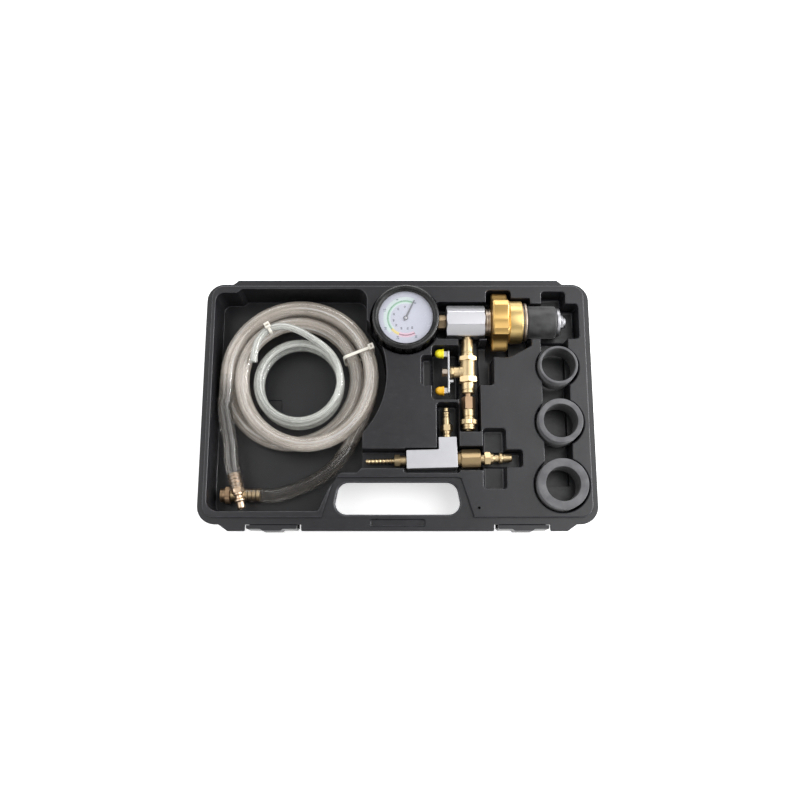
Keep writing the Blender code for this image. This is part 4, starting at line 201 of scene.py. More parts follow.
# Outlines of the pockets, in millimetres: the bay's corners on both sides of its bulge as (x, y, rounding), the
# collar's, and for the rest left, right, front, back, rounding and floor
BAY_FRONT = [(-200, -117.31, 12), (-83, -117.31, 4), (-72.6, -93.6, 4), (-60.5, -77, 4), (-43, -77, 2),
             (-37.5, -71.5, 2)]
BAY_BACK = [(-34, 127.01, 12), (-172, 127.01, 2), (-177, 122.51, 4), (-200, 122.51, 9)]
COLLAR_POCKET = [(123, 50.5, 0), (124.5, 50.5, 0), (145.6, 62, 2), (145.6, 116.2, 2), (123, 116.2, 0)]
COLLAR_FLOOR = 0.0162
POCKETS = {
    "mark": (-154.59, -128.59, -6, 12, 2, 4),
    "body": (41.5, 98.5, 69.8, 111.9, 4, 22.2),
    "knob": (97, 124.5, 49, 125.3, 4, 7.7),
    "end": (140.1, 198, 69.8, 109.9, 4, 21.6),
    "end_recess": (157.6, 184.1, 101.9, 123.8, 4, 24),
    "trough": (66.01, 89.01, -33.1, 71.3, 2, 27.5),
    "lever": (37.01, 67.51, 1.9, 62.5, 4, 10),
    "ledge": (25.51, 38.51, 17.4, 51.4, 4, 30),
    "valve_recess": (87.51, 104.01, 17.7, 68, 4, 20),
    "block": (6.81, 66.01, -77, -50.4, 2, 27.7),
    "nipple": (41.66, 65.66, -55.9, -0.9, 4, 26.7),
    "barb": (-40.69, 8.31, -72.3, -51.3, 2, 29),
    "air": (64.51, 90.51, -74.4, -48.4, 2, 26.7),
    "air_plug": (89.01, 132.41, -71.3, -52.3, 4, 29.3),
    "finger": (90.51, 115.01, -94.3, -29.3, 4, 33),
    "ring_channel": (155.5, 185, -89.61, 71.3, 2, 20.3),
}

# Filler head
HEAD = Vector((0.0087, 0.0910, 0.0400))
BOOT_RIBS = 20
BOOT_RIB_DEPTH = 0.0018
DIAL_RISE = 0.00003
NEEDLE_ANGLE = math.radians(65)
OCTAGON = 8
HEXAGON = 6
KNOB_LOBES = 6
KNOB_PHASE = math.radians(4)
KNOB_LOBE_DEPTH = 0.0065
KNOB_LAND = 0.2
KNOB_ROUND = 0.002
KNOB_LOBE_POINTS = 30
KNOB_RADIUS = 0.032
KNOB_RIM = [(1.0, 0.0), (0.72, 0.10), (0.10, 0.72), (0.0, 1.0)]
TUBE_RADIUS = 0.0055
TUBE_BORE = 0.0035
TUBE_IN_BODY = 0.0152
BODY_FLAT = 0.0175
BODY_LAND = 0.0024
ADAPTER_CORNER = 0.0086
ADAPTER_HEX = 0.0094
SPOT_RADIUS = 0.0068
SPOT_DEPTH = 0.0007
BOOT_WALL = 0.0029
BOOT_LIP_WIDTH = 0.0018
BOOT_NOTCH = 0.0095
GROOVE_POINTS = 12
GROOVE_MIDDLE = 0.78
GROOVE_HALF = 0.22
GROOVE_SHOULDER = 0.10
RING_BORE = 0.018

# Valve, lever and coupler
VALVE_X = 0.07651
VALVE_CORNER = 0.0105
LEVER_DOWN = 0.0566
BONNET_REACH = 0.0155
LEVER_THICK = 0.0018
EAR_IN = 0.0040
EAR_HALF = 0.0031
CAP_HALF = 0.0063
CAP_WIDE = 0.0049
CAP_RUN = 0.0120
CAP_SLOT = 0.0012
CAP_TIP = 0.0042
CAP_DOME = 0.0056
CAP_BACK = 0.0024
COUPLING_FLAT = 0.0065
COUPLING_NECK_RUN = 0.0068

FLUTE_LINES = 72
HOSE_FLAT = 0.00675
HOSE_PLUG_FLAT = 0.00597
HOSE_PLUG_RADIUS = 0.0056
HOSE_BARB_RADIUS = 0.0064
HOSE_RIDGE = 0.0009
HOSE_RIDGES = 5
HOSE_BORE = 0.0022
SPRING_TURNS = 3
SPRING_POINTS = 16
SPRING_WIRE = 0.00035
SPRING_RADIUS = 0.0064
SPRING_LOW = 0.01118
SPRING_HIGH = 0.01472

# What is printed on the dial: bands as (finish, inner and outer radius in mm, first and last angle, layer), and
# numbers as (text, angle, reach)
DIAL_HOLE = 0.0012
WORD_WEIGHT = 0.03
DIAL_FIRST = 63
DIAL_LAST = 300
DIAL_MINOR = 61
DIAL_MAJOR = 7
DIAL_BANDS = [("dial_mint", 16.6, 24.2, 66, 224, 0.5), ("dial_pale_green", 17.9, 20.6, 63, 218, 1),
              ("dial_green", 18.9, 20.0, 63, 220, 2), ("dial_yellow", 17.8, 20.9, 218, 248, 1),
              ("dial_pink", 17.0, 21.9, 248, 300, 1), ("dial_red", 18.8, 20.0, 248, 300, 2)]
DIAL_OUTER = [("0", 59, 0.0200), ("6", 114, 0.0230), ("12", 159, 0.0244), ("18", 209, 0.0248), ("24", 249, 0.0238),
              ("30", 298, 0.0240)]
DIAL_INNER = [("10", 94, 0.0125), ("20", 129, 0.0130), ("30", 161, 0.0134), ("40", 192, 0.0134), ("50", 219, 0.0130),
              ("60", 248, 0.0125), ("70", 281, 0.0122), ("80", 303, 0.0130)]

# Finishes of the nodes that the frame carries and no new piece stands for
INNER_FINISHES = {"gauge_case": "black_steel", "gauge_stem": "brass_x", "bourdon_tube": "bourdon_bronze",
                  "gauge_movement": "brass_z", "seat_upper": "seat_nylon", "seat_lower": "seat_nylon",
                  "valve_ball": "plated_steel", "valve_stem": "brass_x", "coupler_seal": "seal_rubber",
                  "venturi_nozzle": "brass_x"}

# Studio
FLOOR_SIZE = 4.0
WORLD_COLOUR = (1.0, 1.0, 1.0)
WORLD_STRENGTH = 0.42
FLOOR_GLOW = 0.52
LIGHTS = [("key", (0.85, 0.15, 0.90), (0.05, 0.0, 0.0), (1.1, 1.5), 15.0),
          ("fill", (-0.85, 0.15, 0.75), (-0.05, 0.0, 0.0), (0.9, 1.2), 6.0),
          ("side", (1.15, 0.0, 0.40), (0.0, 0.0, 0.04), (1.0, 0.08), 9.0),
          ("front", (0.0, -0.95, 0.55), (0.0, 0.0, 0.03), (1.2, 0.3), 1.6),
          ("back", (0.0, 0.95, 0.45), (0.0, 0.0, 0.03), (1.2, 0.3), 5.0)]

# Venturi block, in its own frame
VENTURI_PLACE = Matrix.Translation((0.03641, -0.06180, 0.0380)) @ Matrix.Rotation(math.radians(1.5), 4, "Z")
QUICK_PLUG = [(1.0, 0.62), (0.94, 0.76), (0.62, 0.76), (0.56, 1.0), (0.46, 1.0), (0.40, 0.68), (0.24, 0.68),
              (0.18, 0.92), (0.0, 0.92)]
STOUT_PLUG = [(1.0, 0.64), (0.95, 0.74), (0.78, 0.74), (0.73, 1.0), (0.66, 1.0), (0.61, 0.86), (0.50, 0.86),
              (0.44, 1.0), (0.0, 1.0)]


def linear(code):
    """Linear colour of an sRGB hex code such as #aabbcc."""
    shares = [int(code[at:at + 2], 16) / 255 for at in (1, 3, 5)]
    return tuple(s / 12.92 if s <= 0.04045 else ((s + 0.055) / 1.055) ** 2.4 for s in shares)


def colour(name, about, code):
    """A colour that a user would change."""
    return bpy.props.FloatVectorProperty(name=name, description=about, subtype="COLOR", size=3, min=0, max=1,
                                         default=linear(code))


def length(name, about, value, low, high):
    """A length that a user would change."""
    return bpy.props.FloatProperty(name=name, description=about, default=value, min=low, max=high, unit="LENGTH",
                                   precision=5)


def share(name, about, value):
    """A share from nothing to all that a user would change."""
    return bpy.props.FloatProperty(name=name, description=about, default=value, min=0, max=1, subtype="FACTOR")


class FillerSizes(bpy.types.PropertyGroup):
    """Sizes that the looks have beyond the frame's."""
    lip: length("Pocket lip", "How round the edge of each pocket is", 0.0012, 0.0004, 0.002)
    fillet: length("Floor fillet", "How round a pocket is where its wall meets its floor", 0.0030, 0.0005, 0.004)
    large_wall: length("Large hose wall", "Wall of the large hose", 0.0013, 0.0006, 0.0014)
    small_wall: length("Small hose wall", "Wall of the small hose", 0.0013, 0.0006, 0.002)
    needle_angle: bpy.props.FloatProperty(name="Needle angle", description="Where the needle points, from +X",
                                          default=NEEDLE_ANGLE, subtype="ANGLE", unit="ROTATION")
    # Scales the paler colour on the lips, which is painted highlight and scuffing by hands together.
    lip_highlight_and_wear_amount: share("Wear", "How much handling shows along the edges", 0.5)


class FillerColours(bpy.types.PropertyGroup):
    """Colours of the finishes."""
    case: colour("Case", "Blow moulded plastic of the tray", "#1b1b1e")
    # Paler colour of the tilted lips: a painted highlight, mixed with scuffing and dust.
    case_lip_highlight_and_wear: colour("Case edge", "Where the plastic is rubbed along its lips", "#48484e")
    boot: colour("Boot", "Rubber boot round the gauge", "#0a0a0b")
    ring: colour("Adapter rings", "Grey rubber of the adapter rings", "#434346")
    plug: colour("Rubber plug", "Black rubber of the expanding plug", "#1b1b1c")
    aluminium: colour("Aluminium", "Turned and blasted aluminium", "#d6d6da")
    gold: colour("Gold", "Gold anodised aluminium", "#cfab6a")
    brass: colour("Brass", "Turned brass", "#ccb68f")
    bronze: colour("Bronze", "Brown adapter nut", "#98866c")
    steel: colour("Steel", "Plated steel", "#c4c4c6")
    dial: colour("Dial", "Painted dial", "#a8a9b6")
    caps: colour("Lever caps", "Yellow vinyl caps on the lever", "#fff02a")
    large_hose: colour("Large hose", "Clear vinyl hose, slightly brown", "#f3eadf")
    small_hose: colour("Small hose", "Milky vinyl hose", "#f2f4ee")
    tie: colour("Ties", "White nylon ties", "#e2ded4")
    floor: colour("Floor", "Floor and walls of the studio", "#ffffff")


def looks():
    """The sizes and colours that the user set."""
    scene = bpy.context.scene
    return scene.filler_sizes, scene.filler_colours


# Materials


def add(tree, kind, inputs=None, **settings):
    """Add a shader node. Its inputs go by name or number and are values or links, and settings are its own."""
    made = tree.nodes.new("ShaderNode" + kind)
    for key, value in settings.items():
        setattr(made, key, value)
    for key, value in (inputs or {}).items():
        if isinstance(value, bpy.types.NodeSocket):
            tree.links.new(value, made.inputs[key])
        else:
            made.inputs[key].default_value = value
    return made


def new_finish(name):
    """A material with its tree, its shader and the piece's own coordinates."""
    skin = bpy.data.materials.new(name)
    skin.use_nodes = True
    tree = skin.node_tree
    return skin, tree, tree.nodes["Principled BSDF"], add(tree, "TexCoord").outputs["Object"]


def speckle(tree, place, size, detail=2.0, stretch=(1, 1, 1)):
    """Noise whose patches are about a size in metres, stretched along an axis where its number is small."""
    scaled = add(tree, "Mapping", {"Vector": place, "Scale": tuple(s / size for s in stretch)})
    return add(tree, "TexNoise", {"Vector": scaled.outputs[0], "Scale": 1.0, "Detail": detail}).outputs["Fac"]


def spread(tree, value, low, high, to_low=0.0, to_high=1.0):
    """A value spread from one range over another, held at both ends."""
    return add(tree, "MapRange", {"Value": value, "From Min": low, "From Max": high, "To Min": to_low,
                                  "To Max": to_high}, clamp=True).outputs[0]


def blend(tree, factor, first, second):
    """Mix of two colours, each a colour or a link."""
    made = add(tree, "Mix", data_type="RGBA")
    for key, value in ((0, factor), (6, first), (7, second)):
        if isinstance(value, bpy.types.NodeSocket):
            tree.links.new(value, made.inputs[key])
        else:
            made.inputs[key].default_value = value if key == 0 else (*value[:3], 1)
    return made.outputs[2]


def raise_bump(tree, shader, *layers):
    """Bump from (height, depth in metres) layers, one on another."""
    normal = None
    for height, depth in layers:
        inputs = {"Height": height, "Distance": depth, "Strength": 1.0}
        if normal:
            inputs["Normal"] = normal
        normal = add(tree, "Bump", inputs).outputs[0]
    tree.links.new(normal, shader.inputs["Normal"])


def shade(colour_value, factor):
    """A colour made darker or lighter."""
    return tuple(min(1, part * factor) for part in colour_value)


def rubbed(tree, low, high):
    """How much a place stands out as an edge, from its curvature."""
    return spread(tree, add(tree, "NewGeometry").outputs["Pointiness"], low, high)


def moulded_plastic(name, base, edge):
    """Blow moulded polyethylene: a fine pebbled skin with flow clouds, and its tilted lips painted paler as a painted
    highlight, in patches that also stand for scuffing by hands.
    """
    sizes, _ = looks()
    skin, tree, shader, place = new_finish(name)
    pebble = speckle(tree, place, 0.0009, 1.0)
    cloud = speckle(tree, place, 0.045, 3.0)
    scuff = speckle(tree, place, 0.006, 4.0, (1, 3, 1))
    facing = add(tree, "SeparateXYZ", {0: add(tree, "NewGeometry").outputs["Normal"]}).outputs[2]
    leaning = add(tree, "Math", {0: spread(tree, facing, 0.30, 0.60), 1: spread(tree, facing, 0.98, 0.80)},
                  operation="MULTIPLY").outputs[0]
    # Painted highlight: lips tilted between flat and upright are painted towards the paler edge colour, in scuff
    # patches that also stand for handling.
    lip_highlight_and_wear_mask = add(tree, "Math", {0: leaning, 1: spread(tree, scuff, 0.3, 0.7, 0.55 * sizes.lip_highlight_and_wear_amount, 0.75)},
                 operation="MULTIPLY").outputs[0]
    body = blend(tree, spread(tree, cloud, 0.3, 0.7), shade(base, 0.86), shade(base, 1.16))
    lip_highlighted_and_worn = blend(tree, lip_highlight_and_wear_mask, body, edge)
    dusty = blend(tree, spread(tree, scuff, 0.62, 0.80, 0, 0.10), lip_highlighted_and_worn, shade(edge, 1.5))
    tree.links.new(dusty, shader.inputs["Base Color"])
    dull = spread(tree, scuff, 0.25, 0.75, 0.32, 0.44)
    gloss = add(tree, "Math", {0: dull, 1: spread(tree, leaning, 0, 1, 1, 0.5)}, operation="MULTIPLY").outputs[0]
    tree.links.new(gloss, shader.inputs["Roughness"])
    shader.inputs["Specular IOR Level"].default_value = 0.46
    raise_bump(tree, shader, (pebble, 0.00004), (cloud, 0.0006))
    return skin


def soft_rubber(name, base, rough=0.6, dust=0.12, sheen=0.25):
    """Moulded rubber: matt, finely stippled, a grey bloom on it and the bloom rubbed off in spots."""
    skin, tree, shader, place = new_finish(name)
    bloom = speckle(tree, place, 0.011, 5.0)
    stipple = speckle(tree, place, 0.0006, 1.0)
    grey = blend(tree, spread(tree, bloom, 0.35, 0.75, 0, dust), base, linear("#9a9a9c"))
    tree.links.new(blend(tree, rubbed(tree, 0.50, 0.58), grey, shade(base, 1.9)), shader.inputs["Base Color"])
    tree.links.new(spread(tree, bloom, 0.3, 0.7, rough - 0.09, rough + 0.09), shader.inputs["Roughness"])
    shader.inputs["Sheen Weight"].default_value = sheen
    shader.inputs["Sheen Roughness"].default_value = 0.4
    raise_bump(tree, shader, (stipple, 0.00006), (bloom, 0.00015))
    return skin


def turned_metal(name, base, axis, rough=0.38, tarnish=0.14, dark=0.72, marks=0.0000015):
    """Metal turned on a lathe: fine rings round its axis, a little tarnish in patches and bright rubbed edges."""
    skin, tree, shader, place = new_finish(name)
    along = tuple(1.0 if letter == axis else 0.02 for letter in "XYZ")
    rings = speckle(tree, place, 0.00022, 3.0, along)
    patch = speckle(tree, place, 0.006, 4.0)
    fine = speckle(tree, place, 0.0012, 2.0)
    stained = blend(tree, spread(tree, patch, 0.40, 0.80, 0, tarnish), base, shade(base, dark))
    ringed = blend(tree, spread(tree, rings, 0.35, 0.70, 0, 0.16), stained, shade(base, 0.80))
    tree.links.new(blend(tree, rubbed(tree, 0.51, 0.60), ringed, shade(base, 1.15)), shader.inputs["Base Color"])
    tree.links.new(spread(tree, fine, 0.3, 0.7, rough - 0.03, rough + 0.04), shader.inputs["Roughness"])
    shader.inputs["Metallic"].default_value = 1.0
    raise_bump(tree, shader, (rings, marks), (patch, 0.000005))
    return skin


def blasted_metal(name, base, rough=0.36, grain=0.1):
    """Aluminium blasted and anodised clear: an even sandy grain, a faint drawn grain under it, brighter edges."""
    skin, tree, shader, place = new_finish(name)
    sand = speckle(tree, place, 0.0007, 3.0)
    drawn = speckle(tree, place, 0.0005, 2.0, (0.03, 1, 1))
    cloud = speckle(tree, place, 0.012, 3.0)
    tone = blend(tree, spread(tree, cloud, 0.3, 0.7), shade(base, 0.90), base)
    streaked = blend(tree, spread(tree, drawn, 0.35, 0.65, 0, 0.16), tone, shade(base, 0.72))
    sandy = blend(tree, spread(tree, sand, 0.60, 0.38, 0, grain), streaked, shade(base, 0.45))
    tree.links.new(blend(tree, rubbed(tree, 0.505, 0.56), sandy, shade(base, 1.3)), shader.inputs["Base Color"])
    tree.links.new(spread(tree, sand, 0.3, 0.7, rough - 0.05, rough + 0.08), shader.inputs["Roughness"])
    shader.inputs["Metallic"].default_value = 1.0
    raise_bump(tree, shader, (sand, 0.000004), (drawn, 0.000003))
    return skin


def plated_steel(name, base, rough=0.36):
    """Zinc plated steel: a cool even skin with hairline scratches and dull smudges."""
    skin, tree, shader, place = new_finish(name)
    scratch = speckle(tree, place, 0.0004, 4.0, (1, 0.08, 1))
    smudge = speckle(tree, place, 0.005, 4.0)
    tone = blend(tree, spread(tree, smudge, 0.35, 0.75, 0, 0.5), base, shade(base, 0.78))
    tree.links.new(blend(tree, spread(tree, scratch, 0.62, 0.72, 0, 0.35), tone, shade(base, 1.25)),
                   shader.inputs["Base Color"])
    tree.links.new(spread(tree, smudge, 0.3, 0.7, rough - 0.07, rough + 0.12), shader.inputs["Roughness"])
    shader.inputs["Metallic"].default_value = 1.0
    raise_bump(tree, shader, (scratch, 0.000002), (smudge, 0.000008))
    return skin


def clear_vinyl(name, base, clear, rough, loose=0.0):
    """Plasticised vinyl tube: fine lines run along it, raised as die lines and painted darker and lighter as painted
    shade and painted highlights; it is hazy with small gels, and light goes through.

    A loose stretch, further than a reach from the coil or near an end, is clearer, and its colour is painted darker
    there as painted shade; the paler coil stands for the light its stacked walls throw back.
    """
    skin, tree, shader, place = new_finish(name)
    drawn = add(tree, "Attribute", attribute_name=AROUND).outputs["Vector"]
    line = add(tree, "Mapping", {"Vector": drawn, "Scale": (3.4, 3.4, 5.0)})
    lines = add(tree, "TexNoise", {"Vector": line.outputs[0], "Scale": 1.0, "Detail": 2.0}).outputs["Fac"]
    haze = speckle(tree, place, 0.018, 4.0)
    gels = speckle(tree, place, 0.0022, 2.0)
    tone = blend(tree, spread(tree, haze, 0.3, 0.7), shade(base, 0.82), base)
    # Painted shade and painted highlight: streaks along the tube are painted darker and lighter, for its dark edge-on
    # walls and its highlight lines.
    with_painted_dark_lines = blend(tree, spread(tree, lines, 0.50, 0.38, 0, 0.7), tone, shade(base, 0.45))
    bright = blend(tree, spread(tree, lines, 0.56, 0.66, 0, 0.8), with_painted_dark_lines, shade(base, 1.5))
    hose_colour_with_painted_light = blend(tree, spread(tree, gels, 0.66, 0.78, 0, 0.3), bright, shade(base, 1.25))
    if loose:
        flat = add(tree, "Mapping", {"Vector": place, "Location": (-COIL_CENTRE.x, -COIL_CENTRE.y, 0),
                                     "Scale": (1, 1, 0)})
        off = spread(tree, add(tree, "VectorMath", {0: flat.outputs[0]}, operation="LENGTH").outputs["Value"],
                     loose, loose + 0.006)
        near = spread(tree, add(tree, "SeparateXYZ", {0: drawn}).outputs[2], HOSE_END + 0.03, HOSE_END)
        away = add(tree, "Math", {0: off, 1: near}, operation="MAXIMUM").outputs[0]
        # Painted shade: away from the coil the colour is painted darker, for the dark case seen through the loose
        # stretch.
        hose_colour_with_painted_light = blend(tree, away, hose_colour_with_painted_light, shade(base, 0.44))
        tree.links.new(spread(tree, away, 0, 1, clear, 0.94), shader.inputs["Transmission Weight"])
        tree.links.new(spread(tree, away, 0, 1, HOSE_BODY, HOSE_CLEAR_BODY), shader.inputs["Alpha"])
    else:
        shader.inputs["Transmission Weight"].default_value = clear
        shader.inputs["Alpha"].default_value = HOSE_BODY
    tree.links.new(hose_colour_with_painted_light, shader.inputs["Base Color"])
    tree.links.new(spread(tree, haze, 0.3, 0.7, rough - 0.04, rough + 0.07), shader.inputs["Roughness"])
    shader.inputs["IOR"].default_value = 1.46
    shader.inputs["Coat Weight"].default_value = 0.8
    shader.inputs["Coat Roughness"].default_value = 0.05
    raise_bump(tree, shader, (lines, 0.0007), (gels, 0.00004), (haze, 0.0005))
    return skin


def moulded_nylon(name, base):
    """White nylon: slightly waxy, with a faint pull grain and grey handling marks."""
    skin, tree, shader, place = new_finish(name)
    pull = speckle(tree, place, 0.0008, 2.0, (1, 1, 0.2))
    mark = speckle(tree, place, 0.004, 4.0)
    tree.links.new(blend(tree, spread(tree, mark, 0.45, 0.75, 0, 0.3), base, shade(base, 0.72)),
                   shader.inputs["Base Color"])
    tree.links.new(spread(tree, mark, 0.3, 0.7, 0.30, 0.46), shader.inputs["Roughness"])
    shader.inputs["Subsurface Weight"].default_value = 0.15
    shader.inputs["Subsurface Radius"].default_value = (0.001, 0.001, 0.001)
    raise_bump(tree, shader, (pull, 0.00005))
    return skin


def dipped_vinyl(name, base):
    """Yellow vinyl dipped on: thick and glossy, deeper in colour where it runs thick, with soft waves in it."""
    skin, tree, shader, place = new_finish(name)
    run = speckle(tree, place, 0.005, 2.0)
    grime = speckle(tree, place, 0.0014, 4.0)
    tone = blend(tree, spread(tree, run, 0.3, 0.7), shade(base, 0.88), base)
    tree.links.new(blend(tree, spread(tree, grime, 0.62, 0.80, 0, 0.12), tone, linear("#a88420")),
                   shader.inputs["Base Color"])
    tree.links.new(spread(tree, grime, 0.3, 0.7, 0.20, 0.36), shader.inputs["Roughness"])
    shader.inputs["Coat Weight"].default_value = 0.4
    raise_bump(tree, shader, (run, 0.0001), (grime, 0.000005))
    return skin


def printed(name, base, rough=0.5):
    """Ink or paint on the dial: flat, with the slight mottle of screen printing."""
    skin, tree, shader, place = new_finish(name)
    mottle = speckle(tree, place, 0.0007, 2.0)
    cloud = speckle(tree, place, 0.014, 2.0)
    tone = blend(tree, spread(tree, mottle, 0.35, 0.70, 0, 0.5), base, shade(base, 0.90))
    tree.links.new(blend(tree, spread(tree, cloud, 0.35, 0.65, 0, 0.4), tone, shade(base, 0.93)),
                   shader.inputs["Base Color"])
    tree.links.new(spread(tree, mottle, 0.3, 0.7, rough - 0.08, rough + 0.08), shader.inputs["Roughness"])
    raise_bump(tree, shader, (mottle, 0.00001))
    return skin


def clear_lens(name):
    """Acrylic gauge window: clear, hard and glossy, with a faint smear that dulls it here and there."""
    skin, tree, shader, place = new_finish(name)
    smear = speckle(tree, place, 0.009, 4.0, (1, 0.4, 1))
    tree.links.new(blend(tree, spread(tree, smear, 0.3, 0.7), linear("#e6eaf4"), linear("#f6f8ff")),
                   shader.inputs["Base Color"])
    tree.links.new(spread(tree, smear, 0.35, 0.75, 0.03, 0.16), shader.inputs["Roughness"])
    shader.inputs["Alpha"].default_value = 0.10
    shader.inputs["Coat Weight"].default_value = 0.3
    raise_bump(tree, shader, (smear, 0.00004))
    return skin


def studio_paper(name, base):
    """Seamless paper on a light table: nearly white, with a slight cloud and a fine tooth."""
    skin, tree, shader, place = new_finish(name)
    cloud = speckle(tree, place, 0.5, 2.0)
    tooth = speckle(tree, place, 0.002, 2.0)
    tree.links.new(blend(tree, spread(tree, cloud, 0.3, 0.7), shade(base, 0.985), base), shader.inputs["Base Color"])
    shader.inputs["Roughness"].default_value = 0.9
    shader.inputs["Emission Color"].default_value = (1, 1, 1, 1)
    shader.inputs["Emission Strength"].default_value = FLOOR_GLOW
    raise_bump(tree, shader, (tooth, 0.00002))
    return skin


_finishes = {}


def finish(key):
    """The material of a finish, made the first time it is asked for."""
    if key not in _finishes:
        _, hues = looks()
        brass, steel, gold = tuple(hues.brass), tuple(hues.steel), tuple(hues.gold)
        bright, plain = tuple(hues.aluminium), shade(tuple(hues.aluminium), 0.72)
        black = linear("#101011")
        makers = {
            "case_plastic": lambda: moulded_plastic(key, tuple(hues.case), tuple(hues.case_lip_highlight_and_wear)),
            "latch_plastic": lambda: moulded_plastic(key, shade(tuple(hues.case), 1.1), tuple(hues.case_lip_highlight_and_wear)),
            "boot_rubber": lambda: soft_rubber(key, tuple(hues.boot), 0.24, 0.03, 0.0),
            "ring_rubber": lambda: soft_rubber(key, tuple(hues.ring), 0.72, 0.35, 0.2),
            "plug_rubber": lambda: soft_rubber(key, tuple(hues.plug), 0.50, 0.16, 0.2),
            "seal_rubber": lambda: soft_rubber(key, black, 0.40, 0.03, 0.0),
            "turned_aluminium_x": lambda: turned_metal(key, shade(bright, 0.66), "X", 0.42, 0.15, 0.8),
            "facet_aluminium": lambda: turned_metal(key, shade(bright, 0.86), "X", 0.40, 0.10, 0.85, 0.000001),
            "neck_aluminium": lambda: turned_metal(key, linear("#ada194"), "X", 0.38, 0.25, 0.7),
            "block_aluminium": lambda: blasted_metal(key, shade(bright, 0.68), 0.48, 0.3),
            "gold_anodised": lambda: turned_metal(key, gold, "X", 0.34, 0.14, 0.75),
            "dark_gold": lambda: turned_metal(key, linear("#d6ba7e"), "X", 0.36, 0.2, 0.70),
            "brass_x": lambda: turned_metal(key, brass, "X"),
            "brass_y": lambda: turned_metal(key, brass, "Y"),
            "brass_z": lambda: turned_metal(key, brass, "Z"),
            "cast_brass": lambda: blasted_metal(key, brass, 0.42),
            "one_way_brass": lambda: turned_metal(key, linear("#a58f6c"), "X", 0.40, 0.3, 0.60),
            "pink_brass": lambda: turned_metal(key, linear("#b3977a"), "Y", 0.46, 0.5, 0.60),
            "pink_brass_x": lambda: turned_metal(key, linear("#b3977a"), "X", 0.40, 0.3, 0.65),
            "plug_brass": lambda: turned_metal(key, linear("#dcc3a8"), "Y", 0.36, 0.2, 0.7),
            "bronze_nut": lambda: turned_metal(key, tuple(hues.bronze), "X", 0.46, 0.4, 0.6),
            "bourdon_bronze": lambda: turned_metal(key, linear("#a07a48"), "Z", 0.34, 0.4, 0.6),
            "plated_steel": lambda: plated_steel(key, steel),
            "spring_steel": lambda: plated_steel(key, shade(steel, 0.8), 0.22),
            "black_steel": lambda: soft_rubber(key, linear("#08080a"), 0.22, 0.02, 0.0),
            "thrust_steel": lambda: plated_steel(key, shade(steel, 0.35), 0.35),
            "seat_nylon": lambda: moulded_nylon(key, linear("#e8e4d8")),
            "tie_nylon": lambda: moulded_nylon(key, tuple(hues.tie)),
            "cap_vinyl": lambda: dipped_vinyl(key, tuple(hues.caps)),
            "amber_cap_vinyl": lambda: dipped_vinyl(key, linear("#eeb224")),
            "large_vinyl": lambda: clear_vinyl(key, tuple(hues.large_hose), 0.60, 0.09, HOSE_LOOSE),
            "small_vinyl": lambda: clear_vinyl(key, tuple(hues.small_hose), 0.60, 0.10),
            "dial_paint": lambda: printed(key, tuple(hues.dial), 0.46),
            "dial_green": lambda: printed(key, linear("#4f8a62")),
            "dial_pale_green": lambda: printed(key, linear("#94b89e")),
            "dial_mint": lambda: printed(key, linear("#b4c2bf")),
            "dial_yellow": lambda: printed(key, linear("#cdb748")),
            "dial_red": lambda: printed(key, linear("#75263c")),
            "dial_pink": lambda: printed(key, linear("#c9a0b0")),
            "dial_ink": lambda: printed(key, linear("#1c1c24")),
            "dial_teal": lambda: printed(key, linear("#2c4452")),
            "needle_paint": lambda: printed(key, linear("#26262c"), 0.38),
            "gauge_lens": lambda: clear_lens(key),
            "studio_paper": lambda: studio_paper(key, tuple(hues.floor)),
        }
        _finishes[key] = makers[key]()
    return _finishes[key]


# Shapes


AXES = {
    "X": Matrix.Rotation(QUARTER, 4, "Y"),
    "-X": Matrix.Rotation(-QUARTER, 4, "Y"),
    "Y": Matrix.Rotation(-QUARTER, 4, "X"),
    "-Y": Matrix.Rotation(QUARTER, 4, "X"),
    "Z": Matrix.Identity(4),
}


def placed(where, axis="Z", spin=0.0):
    """Matrix that stands a shape's own Z along an axis at a place, spun about it."""
    return Matrix.Translation(where) @ AXES[axis] @ Matrix.Rotation(spin, 4, "Z")


def tidy(shape):
    """Close seams and poles, and point every face outwards."""
    bmesh.ops.remove_doubles(shape, verts=shape.verts, dist=MERGE)
    bmesh.ops.dissolve_degenerate(shape, dist=MERGE / 2, edges=shape.edges)
    bmesh.ops.recalc_face_normals(shape, faces=shape.faces)
    return shape


def moved(shape, matrix):
    """The shape, moved by a matrix."""
    bmesh.ops.transform(shape, matrix=matrix, verts=shape.verts)
    return shape


def lathe(profile, steps=ROUND_STEPS, arc=3):
    """Turned shape about Z. Its profile is (radius, height, rounding) points, and one off the axis is a ring."""
    shape = bmesh.new()
    points = [(*point, 0.0)[:3] for point in profile]
    verts = [shape.verts.new((radius, 0, height)) for radius, height, _ in points]
    for first, second in zip(verts, verts[1:]):
        shape.edges.new((first, second))
    if points[0][0] > 0:
        shape.edges.new((verts[-1], verts[0]))
    by_size = {}
    for vert, (_, _, size) in zip(verts, points):
        if size:
            by_size.setdefault(size, []).append(vert)
    for size, corners in by_size.items():
        bmesh.ops.bevel(shape, geom=corners, offset=size, offset_type="OFFSET", segments=arc, profile=0.5,
                        affect="VERTICES", clamp_overlap=True, material=-1)
    bmesh.ops.spin(shape, geom=shape.verts[:] + shape.edges[:], cent=(0, 0, 0), axis=(0, 0, 1), angle=TURN,
                   steps=steps, use_merge=True)
    return tidy(shape)


